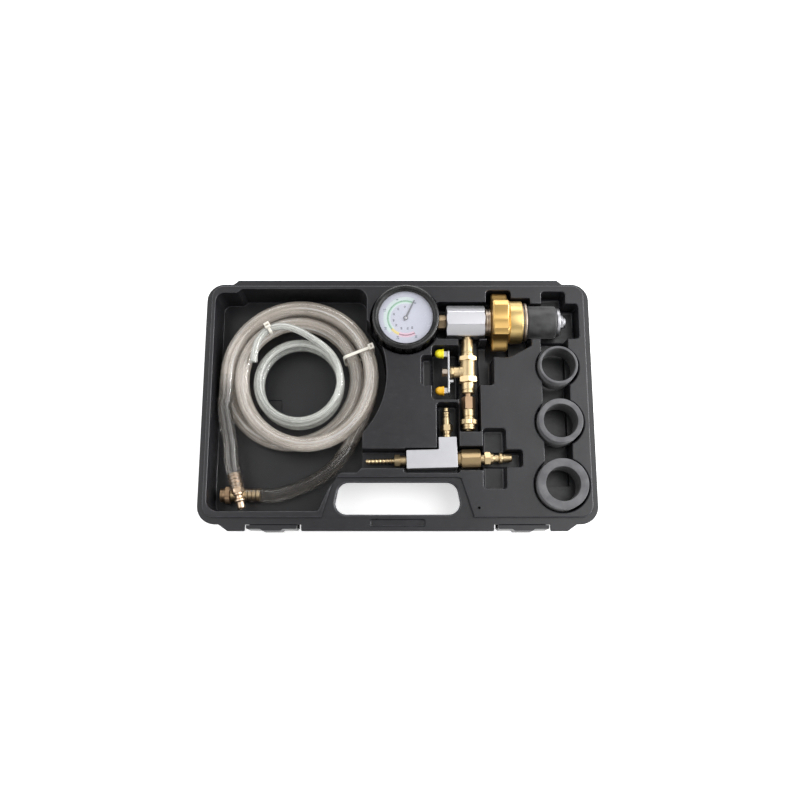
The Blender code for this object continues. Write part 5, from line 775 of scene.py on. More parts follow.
def rod(radius, start, end, chamfer=0.0, arc=0.0):
    """Profile of a solid rod with chamfers, whose corners may be rounded."""
    if not chamfer:
        return [(0, end), (radius, end, arc), (radius, start, arc), (0, start)]
    return [(0, end), (radius - chamfer, end, arc), (radius, end - chamfer, arc), (radius, start + chamfer, arc),
            (radius - chamfer, start, arc), (0, start)]


def sleeve(radius, bore, start, end, chamfer=0.0, inner=0.0, arc=0.0):
    """Profile of a ring with outer and inner chamfers."""
    side = [(radius - chamfer, end, arc), (radius, end - chamfer, arc), (radius, start + chamfer, arc),
            (radius - chamfer, start, arc)]
    if not chamfer:
        side = [(radius, end, arc), (radius, start, arc)]
    if not inner:
        return side + [(bore, start), (bore, end)]
    return side + [(bore + inner, start, arc), (bore, start + inner, arc), (bore, end - inner, arc),
                   (bore + inner, end, arc)]


def rounded(corners, arc=CORNER_ARC):
    """Outline with each (x, y, radius) corner turned into an arc."""
    outline = []
    for index, (x, y, radius) in enumerate(corners):
        here = Vector((x, y))
        if not radius:
            outline.append(here)
            continue
        before = (Vector(corners[index - 1][:2]) - here).normalized()
        after = (Vector(corners[(index + 1) % len(corners)][:2]) - here).normalized()
        half = before.angle(after) / 2
        reach = radius / math.tan(half)
        centre = here + (before + after).normalized() * radius / math.sin(half)
        first = here + before * reach - centre
        sweep = first.angle_signed(here + after * reach - centre)
        steps = arc if radius <= POCKET_ROUND else 2 * arc
        for step in range(steps + 1):
            outline.append(centre + Matrix.Rotation(-sweep * step / steps, 2) @ first)
    return outline


def box(left, right, front, back, radius):
    """Corners of a rectangle."""
    return [(left, front, radius), (right, front, radius), (right, back, radius), (left, back, radius)]


def disc(x, y, radius, steps=ROUND_STEPS):
    """Corners of a circle."""
    return [(x + radius * math.cos(TURN * step / steps), y + radius * math.sin(TURN * step / steps), 0)
            for step in range(steps)]


def offset(outline, distance):
    """Outline moved outwards by a distance, corner by corner."""
    if not distance:
        return outline
    out = []
    for index, here in enumerate(outline):
        before = (here - outline[index - 1]).normalized()
        after = (outline[(index + 1) % len(outline)] - here).normalized()
        normal = (Vector((before.y, -before.x)) + Vector((after.y, -after.x))).normalized()
        out.append(here + normal * distance / normal.dot(Vector((after.y, -after.x))))
    return out


def pulled(shape, edges):
    """Extrude a ring of edges in place: its new edges, and each old vertex's new one."""
    old = {tuple(vert.co): vert for edge in edges for vert in edge.verts}
    made = bmesh.ops.extrude_edge_only(shape, edges=edges)["geom"]
    fresh = {item for item in made if isinstance(item, bmesh.types.BMVert)}
    ring = [item for item in made if isinstance(item, bmesh.types.BMEdge) and fresh.issuperset(item.verts)]
    return ring, {old[tuple(vert.co)]: vert for vert in fresh}


def loft(sections):
    """Closed solid pulled through outlines of equal count, each given with its height, bottom first."""
    shape = bmesh.new()
    outline, height = sections[0]
    verts = [shape.verts.new((point.x, point.y, height)) for point in outline]
    edges = [shape.edges.new(pair) for pair in zip(verts, verts[1:] + verts[:1])]
    ends = [verts]
    for outline, height in sections[1:]:
        edges, partner = pulled(shape, edges)
        verts = [partner[vert] for vert in verts]
        for vert, point in zip(verts, outline):
            vert.co = (point.x, point.y, height)
    ends.append(verts)
    for ring in ends:
        shape.faces.new(ring)
    return tidy(shape)


def prism(corners, low, high, edge=0.0, arc=CORNER_ARC):
    """Flat outline raised to a block, with its two rims rounded by an edge size."""
    outline = corners if isinstance(corners[0], Vector) else rounded(corners, arc)
    if not edge:
        return loft([(outline, low), (outline, high)])
    steps = [QUARTER * step / 3 for step in range(4)]
    lower = [(offset(outline, -edge * (1 - math.sin(a))), low + edge * (1 - math.cos(a))) for a in steps]
    upper = [(offset(outline, -edge * (1 - math.cos(a))), high - edge * (1 - math.sin(a))) for a in steps]
    return loft(lower + upper)


def soften(shape, size, least=SHARP, arc=2):
    """Round every edge that is sharper than an angle."""
    sharp = [edge for edge in shape.edges if len(edge.link_faces) == 2 and edge.calc_face_angle(0) > least]
    bmesh.ops.bevel(shape, geom=sharp, offset=size, offset_type="OFFSET", segments=arc, profile=0.5,
                    affect="EDGES", clamp_overlap=True, material=-1)
    return shape


def combined(shape, tools, operation="DIFFERENCE"):
    """The shape with tools cut from it, joined to it or kept in common with it, exactly."""
    stand_ins = []
    for item in (shape, *tools):
        mesh = bpy.data.meshes.new("tool")
        item.to_mesh(mesh)
        item.free()
        stand_in = bpy.data.objects.new("tool", mesh)
        bpy.context.scene.collection.objects.link(stand_in)
        stand_ins.append(stand_in)
    for tool in stand_ins[1:]:
        step = stand_ins[0].modifiers.new("cut", "BOOLEAN")
        step.operation = operation
        step.solver = "EXACT"
        step.object = tool
    bpy.context.view_layer.update()
    seen = stand_ins[0].evaluated_get(bpy.context.evaluated_depsgraph_get())
    result = bmesh.new()
    result.from_mesh(seen.to_mesh())
    seen.to_mesh_clear()
    for stand_in in stand_ins:
        bpy.data.meshes.remove(stand_in.data)
    bmesh.ops.remove_doubles(result, verts=result.verts, dist=MERGE)
    return result


def nut_shape(sides, flat, start, end, chamfer=math.radians(30), edge=0.00015, spin=0.0, land=0.0):
    """Nut or block of equal flats, its ends turned to a cone so that only the corners are cut back."""
    corner = flat / math.cos(math.pi / sides)
    shape = prism([(corner * math.cos(spin + TURN * side / sides), corner * math.sin(spin + TURN * side / sides), land)
                   for side in range(sides)], start, end, 0, 1)
    wide = corner * 1.03
    drop = (wide - flat * 0.985) * math.tan(chamfer)
    cone = lathe([(0, end), (flat * 0.985, end), (wide, end - drop), (wide, start + drop), (flat * 0.985, start),
                  (0, start)])
    shape = combined(shape, [cone], "INTERSECT")
    return soften(shape, edge, math.radians(24), 2) if edge else shape


def ridges(radius, depth, start, end, count):
    """Outer side of a hose barb from its tip down, each ridge sloping outwards and dropping back."""
    pitch = (end - start) / count
    side = []
    for index in range(count):
        top = end - index * pitch
        side += [(radius - depth, top, depth * 0.25), (radius, top - pitch * 0.72, depth * 0.3),
                 (radius, top - pitch * 0.80, depth * 0.15)]
    return side + [(radius - depth, start)]


def quick_plug(radius, root, run, profile=None):
    """Outer side of a quick plug from its tip to its root, its corners broken."""
    return [(radius * wide, root + run * far, radius * 0.06) for far, wide in profile or QUICK_PLUG]


def fluted(shape, low, high, radius, depth, axis=2):
    """Press straight grooves into the band of a turned shape: every other line of its vertices moves in."""
    for vert in shape.verts:
        along = vert.co[axis]
        reach = math.hypot(vert.co.x, vert.co.y)
        if low <= along <= high and abs(reach - radius) < depth:
            line = round(math.atan2(vert.co.y, vert.co.x) / TURN * FLUTE_LINES)
            if line % 2:
                vert.co.xy *= (reach - depth) / reach
    return shape


def piece(name, shape, body, key, replaced=(), sharp=SHARP, flat=False):
    """Make a shape an object that rides on a body, with its finish and its smooth and sharp edges."""
    mesh = bpy.data.meshes.new(name)
    shape.to_mesh(mesh)
    shape.free()
    item = bpy.data.objects.new(name, mesh)
    bpy.context.scene.collection.objects.link(item)
    mesh.materials.append(finish(key))
    for face in mesh.polygons:
        face.use_smooth = not flat
    if not flat:
        mesh.set_sharp_from_angle(angle=sharp)
    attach(item, body)
    if replaced:
        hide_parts(*replaced)
    return item


def even_shading(item):
    """Let large faces keep their own direction, so that only the rounded edges shade round."""
    step = item.modifiers.new("even shading", "WEIGHTED_NORMAL")
    step.keep_sharp = True
    step.weight = 60


def span(node, axis):
    """Where a turned node stands: its start and end along an axis, its centre and its radius."""
    low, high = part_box(node)
    letter = "XYZ".index(axis)
    across = [i for i in range(3) if i != letter]
    centre = (low + high) / 2
    return low[letter], high[letter], centre, max(high[i] - low[i] for i in across) / 2


# Camera and studio


class FILLER_OT_stage(bpy.types.Operator):
    """Floor, soft lights and the camera of the photograph"""
    bl_idname = "filler.stage"
    bl_label = "Stage and camera"

    def execute(self, context):
        scene = context.scene
        camera = bpy.data.objects.new("camera", bpy.data.cameras.new("camera"))
        camera.location = CAMERA_PLACE
        camera.rotation_euler = (CAMERA_TILT, 0, 0)
        camera.data.lens = CAMERA_LENS
        camera.data.sensor_width = SENSOR
        camera.data.clip_start = 0.01
        scene.collection.objects.link(camera)
        scene.camera = camera
        shape = bmesh.new()
        bmesh.ops.create_grid(shape, x_segments=1, y_segments=1, size=FLOOR_SIZE)
        mesh = bpy.data.meshes.new("studio_floor")
        shape.to_mesh(mesh)
        shape.free()
        floor = bpy.data.objects.new("studio_floor", mesh)
        scene.collection.objects.link(floor)
        mesh.materials.append(finish("studio_paper"))
        for name, place, target, size, watts in LIGHTS:
            lamp = bpy.data.lights.new(name, "AREA")
            lamp.shape = "RECTANGLE"
            lamp.size, lamp.size_y = size
            lamp.energy = watts
            item = bpy.data.objects.new(name, lamp)
            item.location = place
            item.rotation_euler = (Vector(target) - Vector(place)).to_track_quat("-Z", "Y").to_euler()
            scene.collection.objects.link(item)
        world = bpy.data.worlds.new("studio")
        world.use_nodes = True
        world.node_tree.nodes["Background"].inputs["Color"].default_value = (*WORLD_COLOUR, 1)
        world.node_tree.nodes["Background"].inputs["Strength"].default_value = WORLD_STRENGTH
        scene.world = world
        scene.view_settings.view_transform = "Standard"
        return {"FINISHED"}


# Hoses and ties


def smoothed(points, steps):
    """Points of a smooth curve through route points, close together."""
    route = [Vector(point) for point in points]
    route = [2 * route[0] - route[1], *route, 2 * route[-1] - route[-2]]
    line = []
    for a, b, c, d in zip(route, route[1:], route[2:], route[3:]):
        for step in range(steps):
            t = step / steps
            line.append(b + (c - a) * t / 2 + (2 * a - 5 * b + 4 * c - d) * t * t / 2
                        + (3 * b - a - 3 * c + d) * t ** 3 / 2)
    return line + [route[-2]]


def run_of(line):
    """Length of a line."""
    return sum((b - a).length for a, b in zip(line, line[1:]))


def spaced(line, step):
    """Points along a line at even steps, with both of its ends."""
    total = run_of(line)
    count = max(1, round(total / step))
    points = [line[0]]
    walked, goal = 0.0, total / count
    for a, b in zip(line, line[1:]):
        run = (b - a).length
        while walked + run >= goal and len(points) < count:
            points.append(a.lerp(b, (goal - walked) / run))
            goal += total / count
        walked += run
    return points + [line[-1]]


def end_way(end, second, third):
    """Direction in which a bent line leaves its end point."""
    return (3 * (end - second).normalized() - (second - third).normalized()).normalized()


def straight_ends(points, run):
    """The same points with a straight run at each end, level and square to the end face."""
    first = end_way(points[0], points[1], points[2])
    last = end_way(points[-1], points[-2], points[-3])
    return [points[0] + first * run, *points, points[-1] + last * run]


def eased(share):
    """A share that starts and ends softly, held between nothing and all."""
    share = min(1, max(0, share))
    return share * share * (3 - 2 * share)


def large_coil_points():
    """Centre line of the large coil: in along the bottom, one climb, out along the top."""
    count = round(LARGE_SWEEP / TURN * LOOP_POINTS)
    middle = LARGE_START + LARGE_SWEEP / 2
    points = []
    for step in range(count + 1):
        angle = LARGE_START + LARGE_SWEEP * step / count
        reach = LARGE_INNER + LARGE_PITCH * eased((abs(angle - middle) / TURN - COIL_STEP_FROM) / COIL_STEP_RUN)
        height = LARGE_Z + LARGE_PITCH * eased((angle - middle) / LARGE_CLIMB + 1 / 2)
        points.append(COIL_CENTRE + Vector((reach * math.cos(angle), reach * math.sin(angle), height)))
    return straight_ends(points, LARGE_HOSE)


def small_coil_points():
    """Centre line of the small coil: piled loops, the last one bulging over the large coil."""
    count = SMALL_TURNS * LOOP_POINTS
    last_turn = SMALL_START + (SMALL_TURNS - 1) * TURN
    bulge = last_turn + (BULGE_ANGLE - SMALL_START) % TURN
    points = []
    for step in range(count + 1):
        turned = SMALL_TURNS * TURN * step / count
        angle = SMALL_START + turned
        swell = math.exp(-((angle - bulge) / BULGE_SPREAD) ** 2) if angle > last_turn else 0
        reach = SMALL_RADIUS + SMALL_SWAY * math.cos(turned / 2) + BULGE_REACH * swell
        height = SMALL_Z + SMALL_PITCH * turned / TURN + BULGE_RISE * swell
        points.append(SMALL_CENTRE + Vector((reach * math.cos(angle), reach * math.sin(angle), height)))
    return straight_ends(points, SMALL_HOSE)


def tail_points(start, start_way, end, last_way, route):
    """Loose stretch of hose between two places, straight where it meets them."""
    run = LARGE_HOSE * TAIL_STRAIGHT
    line = smoothed([start + start_way * run, *route, end + last_way * run], TAIL_POINTS)
    return [start, *line, end]


def large_route():
    """The whole large hose, from the coupler's barb through the coil to the plug's barb."""
    coil = large_coil_points()
    low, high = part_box("hose_coupler_body")
    rear = Vector((high.x, (low.y + high.y) / 2, (low.z + high.z) / 2))
    at = [COIL_CENTRE + Vector((x, y, LARGE_Z)) for x, y in COUPLER_TAIL]
    first = tail_points(rear, Vector((1, 0, 0)), coil[0], (coil[0] - coil[1]).normalized(), at)
    way = Vector((math.sin(PLUG_LEAN), -math.cos(PLUG_LEAN), 0))
    plug = COIL_CENTRE + Vector((*HOSE_PLUG_START, HOSE_PLUG_Z))
    at = [COIL_CENTRE + Vector((x, y, LARGE_Z + LARGE_PITCH)) for x, y in PLUG_TAIL]
    last = tail_points(coil[-1], (coil[-1] - coil[-2]).normalized(), plug, -way, at)
    inside = Vector((-BARB_COVER, 0, 0))
    line = [rear + inside, rear + inside / 2, *first[:-1], *smoothed(coil, 4)[1:-1], *last[1:],
            plug + way * BARB_COVER / 2, plug + way * BARB_COVER]
    return spaced(line, SWEEP_STEP)


def swept(line, radius, wall=0.0, steps=HOSE_STEPS):
    """Tube or wire along a line: a ring of edges pulled from point to point, once more inside if it has a wall.

    Each vertex keeps its direction across the tube and how far the nearer end is, for the lines of its finish, which
    are raised die lines painted as shade and highlight, and for its clearer ends.
    """
    ways = [(b - a).normalized() for a, b in zip(line, line[1:])]
    ways = [ways[0], *[(a + b).normalized() for a, b in zip(ways, ways[1:])], ways[-1]]
    shape = bmesh.new()
    around = shape.verts.layers.float_vector.new(AROUND)
    step, last = run_of(line) / (len(line) - 1), len(line) - 1
    rims = []
    for reach in (radius, radius - wall) if wall else (radius,):
        start = Matrix.Translation(line[0]) @ ways[0].to_track_quat("Z", "Y").to_matrix().to_4x4()
        ring = bmesh.ops.create_circle(shape, cap_ends=False, segments=steps, radius=reach, matrix=start)["verts"]
        for vert in ring:
            local = start.inverted() @ vert.co / reach
            vert[around] = (local.x, local.y, 0)
        edges = list({edge for vert in ring for edge in vert.link_edges})
        rims.append(edges)
        for index in range(1, len(line)):
            edges, partner = pulled(shape, edges)
            turn = ways[index - 1].rotation_difference(ways[index]).to_matrix()
            for old, vert in partner.items():
                vert.co = line[index] + turn @ (vert.co - line[index - 1])
                vert[around] = (old[around].x, old[around].y, step * min(index, last - index))
        rims.append(edges)
    if wall:
        bmesh.ops.bridge_loops(shape, edges=rims[0] + rims[2])
        bmesh.ops.bridge_loops(shape, edges=rims[1] + rims[3])
    else:
        bmesh.ops.holes_fill(shape, edges=rims[0] + rims[1], sides=0)
    return tidy(shape)


def crossings(line, angle, centre):
    """Where a coil's centre line crosses the half plane at an angle, as (reach, height)."""
    across = Vector((-math.sin(angle), math.cos(angle), 0))
    along = Vector((math.cos(angle), math.sin(angle), 0))
    found = []
    for a, b in zip(line, line[1:]):
        before, after = (a - centre).dot(across), (b - centre).dot(across)
        if before * after <= 0 and (a - centre).dot(along) > 0:
            cross = a.lerp(b, before / (before - after))
            found.append(((cross - centre).dot(along), cross.z))
    return found


def tie_shape(angle, line, hose, level, centre):
    """Flat strap round the strands of a coil at one angle, with its square head on top and a slot cut in the head."""
    strands = [strand for strand in crossings(line, angle, centre) if strand[1] > level]
    room = hose / 2 + TIE_EASE
    left, right = min(s[0] for s in strands) - room, max(s[0] for s in strands) + room
    low, high = min(s[1] for s in strands) - room, max(s[1] for s in strands) + room
    half = TIE_WIDTH / 2
    inner = rounded(box(left, right, low, high, hose * TIE_ROUND), 8)
    outer = rounded(box(left - TIE_THICK, right + TIE_THICK, low - TIE_THICK, high + TIE_THICK,
                        hose * TIE_ROUND + TIE_THICK), 8)
    band = combined(prism(outer, -half, half, 0.0003), [prism(inner, -half - OVERRUN, half + OVERRUN)])
    top = high + TIE_THICK
    middle = right - TIE_HEAD * 0.35
    head = prism(box(middle - TIE_HEAD / 2, middle + TIE_HEAD / 2, top - TIE_THICK / 2, top + TIE_HEAD_RISE,
                     TIE_THICK * 0.8), -TIE_HEAD / 2, TIE_HEAD / 2, 0.0005)
    slot = prism(box(middle - 0.0012, middle + 0.0008, top + 0.0006, top + TIE_HEAD_RISE + OVERRUN, 0),
                 -half - 0.0002, half + 0.0002)
    head = combined(head, [slot])
    band = combined(band, [head], "UNION")
    radial = Vector((math.cos(angle), math.sin(angle), 0))
    up = Vector((0, 0, 1))
    turn = Matrix((radial, up, radial.cross(up))).transposed().to_4x4()
    return moved(band, Matrix.Translation(centre) @ turn)


class FILLER_OT_hoses(bpy.types.Operator):
    """Both hoses with their ties"""
    bl_idname = "filler.hoses"
    bl_label = "Hoses and ties"

    def execute(self, context):
        sizes, _ = looks()
        ends = hose_fittings()
        line = large_route()
        large = piece("large_hose", swept(line, LARGE_HOSE / 2, sizes.large_wall), "hose_large", "large_vinyl",
                      ["hose_large_coil", "hose_tail_coupler_end", "hose_tail_plug_end"])
        line = spaced(smoothed(small_coil_points(), 4), SWEEP_STEP * 0.75)
        small = piece("small_hose", swept(line, SMALL_HOSE / 2, sizes.small_wall, 16), "hose_small", "small_vinyl",
                      ["hose_small_coil"])
        ties = (("large_tie", LARGE_TIE_ANGLE, large_coil_points(), LARGE_HOSE, 0.0, "hose_large", "hose_tie_large"),
                ("small_tie", BULGE_ANGLE, small_coil_points(), SMALL_HOSE, SMALL_TIE_LEVEL, "hose_small",
                 "hose_tie_small"))
        for name, angle, line, hose, level, body, node in ties:
            centre = SMALL_CENTRE if level else COIL_CENTRE
            piece(name, tie_shape(angle, line, hose, level, centre), body, "tie_nylon", [node])
        return {"FINISHED"}


def hanging_barb(radius, depth, low, high, count):
    """Outer side of a hose barb that points down, from its root to its tip."""
    side = [(*point, 0.0)[:3] for point in ridges(radius, depth, low, high, count)]
    return [(reach, low + high - height, size) for reach, height, size in reversed(side)]


def coupler_side(foot):
    """Outer side of a quick coupler's body from its mouth down to its rear face, and its bore back up from a foot."""
    outer = [(0.0050, 0.0222, 0.0001), (0.0056, 0.0216, 0.0001), (0.0056, 0.0105), (0.0068, 0.0105, 0.0001),
             (0.0068, 0.0088, 0.0001), (0.0063, 0.0084), (0.0063, 0.0074), (0.0068, 0.0070, 0.0001)]
    inner = [(0.0044, foot), (0.0044, 0.0137), (0.0049, 0.0137), (0.0049, 0.0150), (0.0044, 0.0150),
             (0.0044, 0.0214), (0.0048, 0.0222, 0.0001)]
    return outer, inner


def sleeve_shape():
    """Sliding sleeve of a quick coupler: a gripping flange with pressed flutes and a plain tail with a groove."""
    profile = [(0.0074, 0.0219, 0.0002), (0.0076, 0.0215, 0.0001), (0.0076, 0.0203), (0.0072, 0.0200),
               (0.0072, 0.0192), (0.0076, 0.0189), (0.0076, 0.0163, 0.0002), (0.0092, 0.0163, 0.0002),
               (0.0095, 0.0160), (0.0095, 0.0114), (0.0092, 0.0111, 0.0002), (0.0080, 0.0108, 0.0002),
               (0.0071, 0.0108), (0.0071, 0.0154), (0.0059, 0.0154), (0.0059, 0.0219)]
    return fluted(lathe(profile, FLUTE_LINES), 0.0112, 0.0162, 0.0095, 0.00035)


def spring(name, node, place, body):
    """Fine coil spring inside a coupler's sleeve."""
    line = []
    count = SPRING_TURNS * SPRING_POINTS
    for step in range(count + 1):
        angle = SPRING_TURNS * TURN * step / count
        rise = SPRING_LOW + (SPRING_HIGH - SPRING_LOW) * step / count
        line.append(place @ Vector((SPRING_RADIUS * math.cos(angle), SPRING_RADIUS * math.sin(angle), rise)))
    item = piece(name, swept(line, SPRING_WIRE, steps=8), body, "spring_steel", [node])
    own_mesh(item)
    return item


def hose_fittings():
    """The quick coupler and the quick plug on the large hose's ends, with their barbs inside the hose."""
    low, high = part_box("hose_coupler_body")
    place = placed((high.x - HOSE_HEX - HOSE_BARB, (low.y + high.y) / 2, (low.z + high.z) / 2), "-X")
    outer, inner = coupler_side(0.003)
    barb = hanging_barb(HOSE_BARB_RADIUS, HOSE_RIDGE, -HOSE_HEX - HOSE_BARB, LAP, HOSE_RIDGES)
    foot = [(HOSE_BORE, -HOSE_HEX - HOSE_BARB), (HOSE_BORE, 0.003)]
    body = lathe([*outer, (0.0068, 0.0004, 0.0002), (HOSE_BARB_RADIUS, 0.0004), *barb, *foot, *inner])
    hexagon = nut_shape(HEXAGON, HOSE_FLAT, -HOSE_HEX, 0.0006, spin=TURN / HEXAGON / 2)
    hexagon = combined(hexagon, [lathe(rod(HOSE_BORE, -HOSE_HEX - OVERRUN, OVERRUN))])
    body = moved(combined(body, [hexagon], "UNION"), place)
    made = [piece("hose_end_coupler", body, "hose_large", "brass_x", ["hose_coupler_body"]),
            piece("hose_end_sleeve", moved(sleeve_shape(), place), "hose_coupler_sleeve", "pink_brass_x",
                  ["hose_coupler_sleeve"]),
            spring("hose_end_spring", "hose_coupler_spring", place, "hose_large")]
    way = Vector((math.sin(PLUG_LEAN), -math.cos(PLUG_LEAN), 0))
    place = Matrix.Translation(COIL_CENTRE + Vector((*HOSE_PLUG_START, HOSE_PLUG_Z)))
    place = place @ way.to_track_quat("Z", "Y").to_matrix().to_4x4()
    tip = HOSE_BARB + HOSE_PLUG_HEX
    side = quick_plug(HOSE_PLUG_RADIUS, tip - LAP, HOSE_PLUG_TIP + LAP)
    barb = hanging_barb(HOSE_BARB_RADIUS, HOSE_RIDGE, 0, HOSE_BARB + LAP, HOSE_RIDGES)
    plug = lathe([(HOSE_BORE, tip + HOSE_PLUG_TIP), *side, *barb, (HOSE_BORE, 0)])
    hexagon = nut_shape(HEXAGON, HOSE_PLUG_FLAT, HOSE_BARB, tip)
    hexagon = combined(hexagon, [lathe(rod(HOSE_BORE, HOSE_BARB - OVERRUN, tip + OVERRUN))])
    made.append(piece("hose_end_plug", moved(combined(plug, [hexagon], "UNION"), place), "hose_large",
                      "plug_brass", ["hose_plug"]))
    return made


# Case


def pocket_cutter(corners, floor, top, lip, fillet, arc=CORNER_ARC):
    """Cutter for a pocket: filleted at its floor, drafted, and flared at the top so that it leaves a round lip."""
    outline = corners if isinstance(corners[0], Vector) else rounded(corners, arc)
    turns = [QUARTER * step / LIP_ARC for step in range(LIP_ARC + 1)]
    low = [(offset(outline, -POCKET_DRAFT - fillet * (1 - math.sin(a))), floor + fillet * (1 - math.cos(a)))
           for a in turns]
    high = [(offset(outline, lip * (1 - math.cos(a))), top - lip + lip * math.sin(a)) for a in turns]
    return loft(low + high + [(offset(outline, lip), top + 2 * OVERRUN)])


def bay_corners():
    """Hose bay: a room with a round bulge that follows the coil on its right."""
    first, last = BAY_ARC
    arc = [(COIL_CENTRE.x + BAY_REACH * math.cos(angle), COIL_CENTRE.y + BAY_REACH * math.sin(angle), 0)
           for angle in [first + (last - first) * step / 30 for step in range(31)]]
    return [(x * MM, y * MM, r * MM) for x, y, r in BAY_FRONT] + arc + [(x * MM, y * MM, r * MM)
                                                                        for x, y, r in BAY_BACK]


def pocket_tools(lip, fillet):
    """Every pocket's cutter, from the table of boxes, the rings' and the gauge's places and the bay's outline."""
    tools = [pocket_cutter(bay_corners(), BAY_FLOOR, DECK, lip, 0.0010)]
    for left, right, front, back, corner, floor in POCKETS.values():
        round_floor = min(fillet, corner * MM - POCKET_DRAFT - 0.0001)
        corners = box(left * MM, right * MM, front * MM, back * MM, corner * MM)
        tools.append(pocket_cutter(corners, floor * MM, DECK, lip, round_floor))
    collar = [(x * MM, y * MM, r * MM) for x, y, r in COLLAR_POCKET]
    tools.append(pocket_cutter(collar, COLLAR_FLOOR, DECK, lip, 0.0008))
    for node in ("gauge_boot", "adapter_ring_small", "adapter_ring_medium", "adapter_ring_large"):
        low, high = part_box(node)
        middle = (low + high) / 2
        outline = [Vector(point[:2]) for point in disc(middle.x, middle.y, (high.y - low.y) / 2 + POCKET_ROOM, 96)]
        tools.append(pocket_cutter(outline, low.z - FACE_GAP, DECK, lip, fillet / 2))
    return tools


def case_skirt():
    """Outside of the case below the rim, drafted, with a round foot."""
    outline = rounded(box(-HALF_WIDTH, HALF_WIDTH, RIM_FRONT, RIM_BACK, CORNER_RADIUS))
    foot = SKIRT_INSET + BASE_DRAFT
    turns = [QUARTER * step / 5 for step in range(6)]
    low = [(offset(outline, -foot - BASE_ROUND * (1 - math.sin(a))), BASE_ROUND * (1 - math.cos(a))) for a in turns]
    return loft(low + [(offset(outline, -SKIRT_INSET), RIM - RIM_THICK / 2)])


def case_rim():
    """Flat rim that the lid meets, with the hinge ledge behind and the lip in front."""
    lip = HALF_WIDTH - LIP_FROM_SIDE
    hinge = HALF_WIDTH - HINGE_FROM_SIDE
    latch = HALF_WIDTH - LATCH_FROM_SIDE
    notch = latch - LATCH_TRAVEL - LATCH_ROOM
    notch_end = latch + LATCH_LENGTH + LATCH_ROOM
    half = [(notch, -HALF_DEPTH, LIP_ROUND), (notch, RIM_FRONT, LIP_ROUND / 2),
            (notch_end, RIM_FRONT, LIP_ROUND / 2), (notch_end, -HALF_DEPTH, LIP_ROUND),
            (lip, -HALF_DEPTH, LIP_ROUND), (lip + LIP_TAPER, RIM_FRONT, LIP_ROUND),
            (HALF_WIDTH, RIM_FRONT, CORNER_RADIUS), (HALF_WIDTH, RIM_BACK, CORNER_RADIUS),
            (hinge + HINGE_TAPER, RIM_BACK, LIP_ROUND), (hinge, HALF_DEPTH, LIP_ROUND)]
    return prism(half + [(-x, y, radius) for x, y, radius in reversed(half)], RIM - RIM_THICK, RIM, EDGE_ROUND)


def case_deck():
    """Raised deck inside the rim, with a round edge."""
    corners = box(DECK_INSET - HALF_WIDTH, HALF_WIDTH - DECK_INSET, RIM_FRONT + DECK_FRONT_INSET,
                  RIM_BACK - DECK_BACK_INSET, CORNER_RADIUS - DECK_INSET)
    outline = rounded(corners)
    turns = [QUARTER * step / LIP_ARC for step in range(LIP_ARC + 1)]
    edge = 0.0014
    top = [(offset(outline, -edge * (1 - math.cos(a))), DECK - edge + edge * math.sin(a)) for a in turns]
    return loft([(outline, RIM - edge), *top])


def latch_rails():
    """T shaped rails on the front wall that the latches slide on."""
    rails = []
    for side in (-1, 1):
        middle = (HALF_WIDTH - LATCH_FROM_SIDE + LATCH_LENGTH / 2 - LATCH_TRAVEL / 2) * side
        half = LATCH_LENGTH / 2
        face = RIM_FRONT - LATCH_BACK - RAIL_NECK
        root = RIM_FRONT + SKIRT_INSET + BASE_DRAFT + LAP
        rails.append(prism(box(middle - half, middle + half, face - RAIL_HEAD / 2, root, 0),
                           RAIL_Z - RAIL_NECK_HALF, RAIL_Z + RAIL_NECK_HALF))
        rails.append(prism(box(middle - half, middle + half, face - RAIL_HEAD, face, 0),
                           RAIL_Z - RAIL_HEAD_HALF, RAIL_Z + RAIL_HEAD_HALF, 0.0003))
    return rails


def hand_cutter(lip):
    """Cutter for the hand opening: narrower at the top, and flared at both ends so that its rims are round."""
    front = -HALF_DEPTH + HANDLE_BAR
    outlines = []
    for lean, back_lean in ((HANDLE_LEAN, HANDLE_LEAN), (-HANDLE_LEAN, -HANDLE_BACK_LEAN)):
        wide, narrow = (half + lean for half in HANDLE_HALVES)
        back = HANDLE_BACK + back_lean
        outlines.append(rounded([(-wide, front, HANDLE_ROUND), (wide, front, HANDLE_ROUND),
                                 (narrow, back, HANDLE_ROUND), (-narrow, back, HANDLE_ROUND)]))
    below, above = outlines
    turns = [QUARTER * step / 5 for step in range(6)]
    low = [(offset(below, lip * (1 - math.sin(a))), lip * (1 - math.cos(a))) for a in turns]
    high = [(offset(above, lip * (1 - math.cos(a))), STEP_TOP - lip + lip * math.sin(a)) for a in turns]
    return loft([(offset(below, lip), -OVERRUN), *low, *high, (offset(above, lip), DECK + OVERRUN)])


def step_cutter(lip):
    """Cutter that lowers the deck round the hand opening, with a round edge along the step."""
    front = -HALF_DEPTH - OVERRUN * 3
    flare, side, behind = HANDLE_STEP
    wide, narrow = HANDLE_HALVES[0] + flare, HANDLE_HALVES[1] + side
    back = HANDLE_BACK + behind
    outline = rounded([(-wide, front, 0), (wide, front, 0), (wide, RIM_FRONT, 0.004), (narrow, HANDLE_BACK, 0.002),
                       (narrow - side, back, 0.002), (side - narrow, back, 0.002), (-narrow, HANDLE_BACK, 0.002),
                       (-wide, RIM_FRONT, 0.004)])
    turns = [QUARTER * step / LIP_ARC for step in range(LIP_ARC + 1)]
    high = [(offset(outline, lip * (1 - math.cos(a))), DECK - lip + lip * math.sin(a)) for a in turns]
    return loft([(outline, STEP_TOP), *high, (offset(outline, lip), DECK + OVERRUN)])


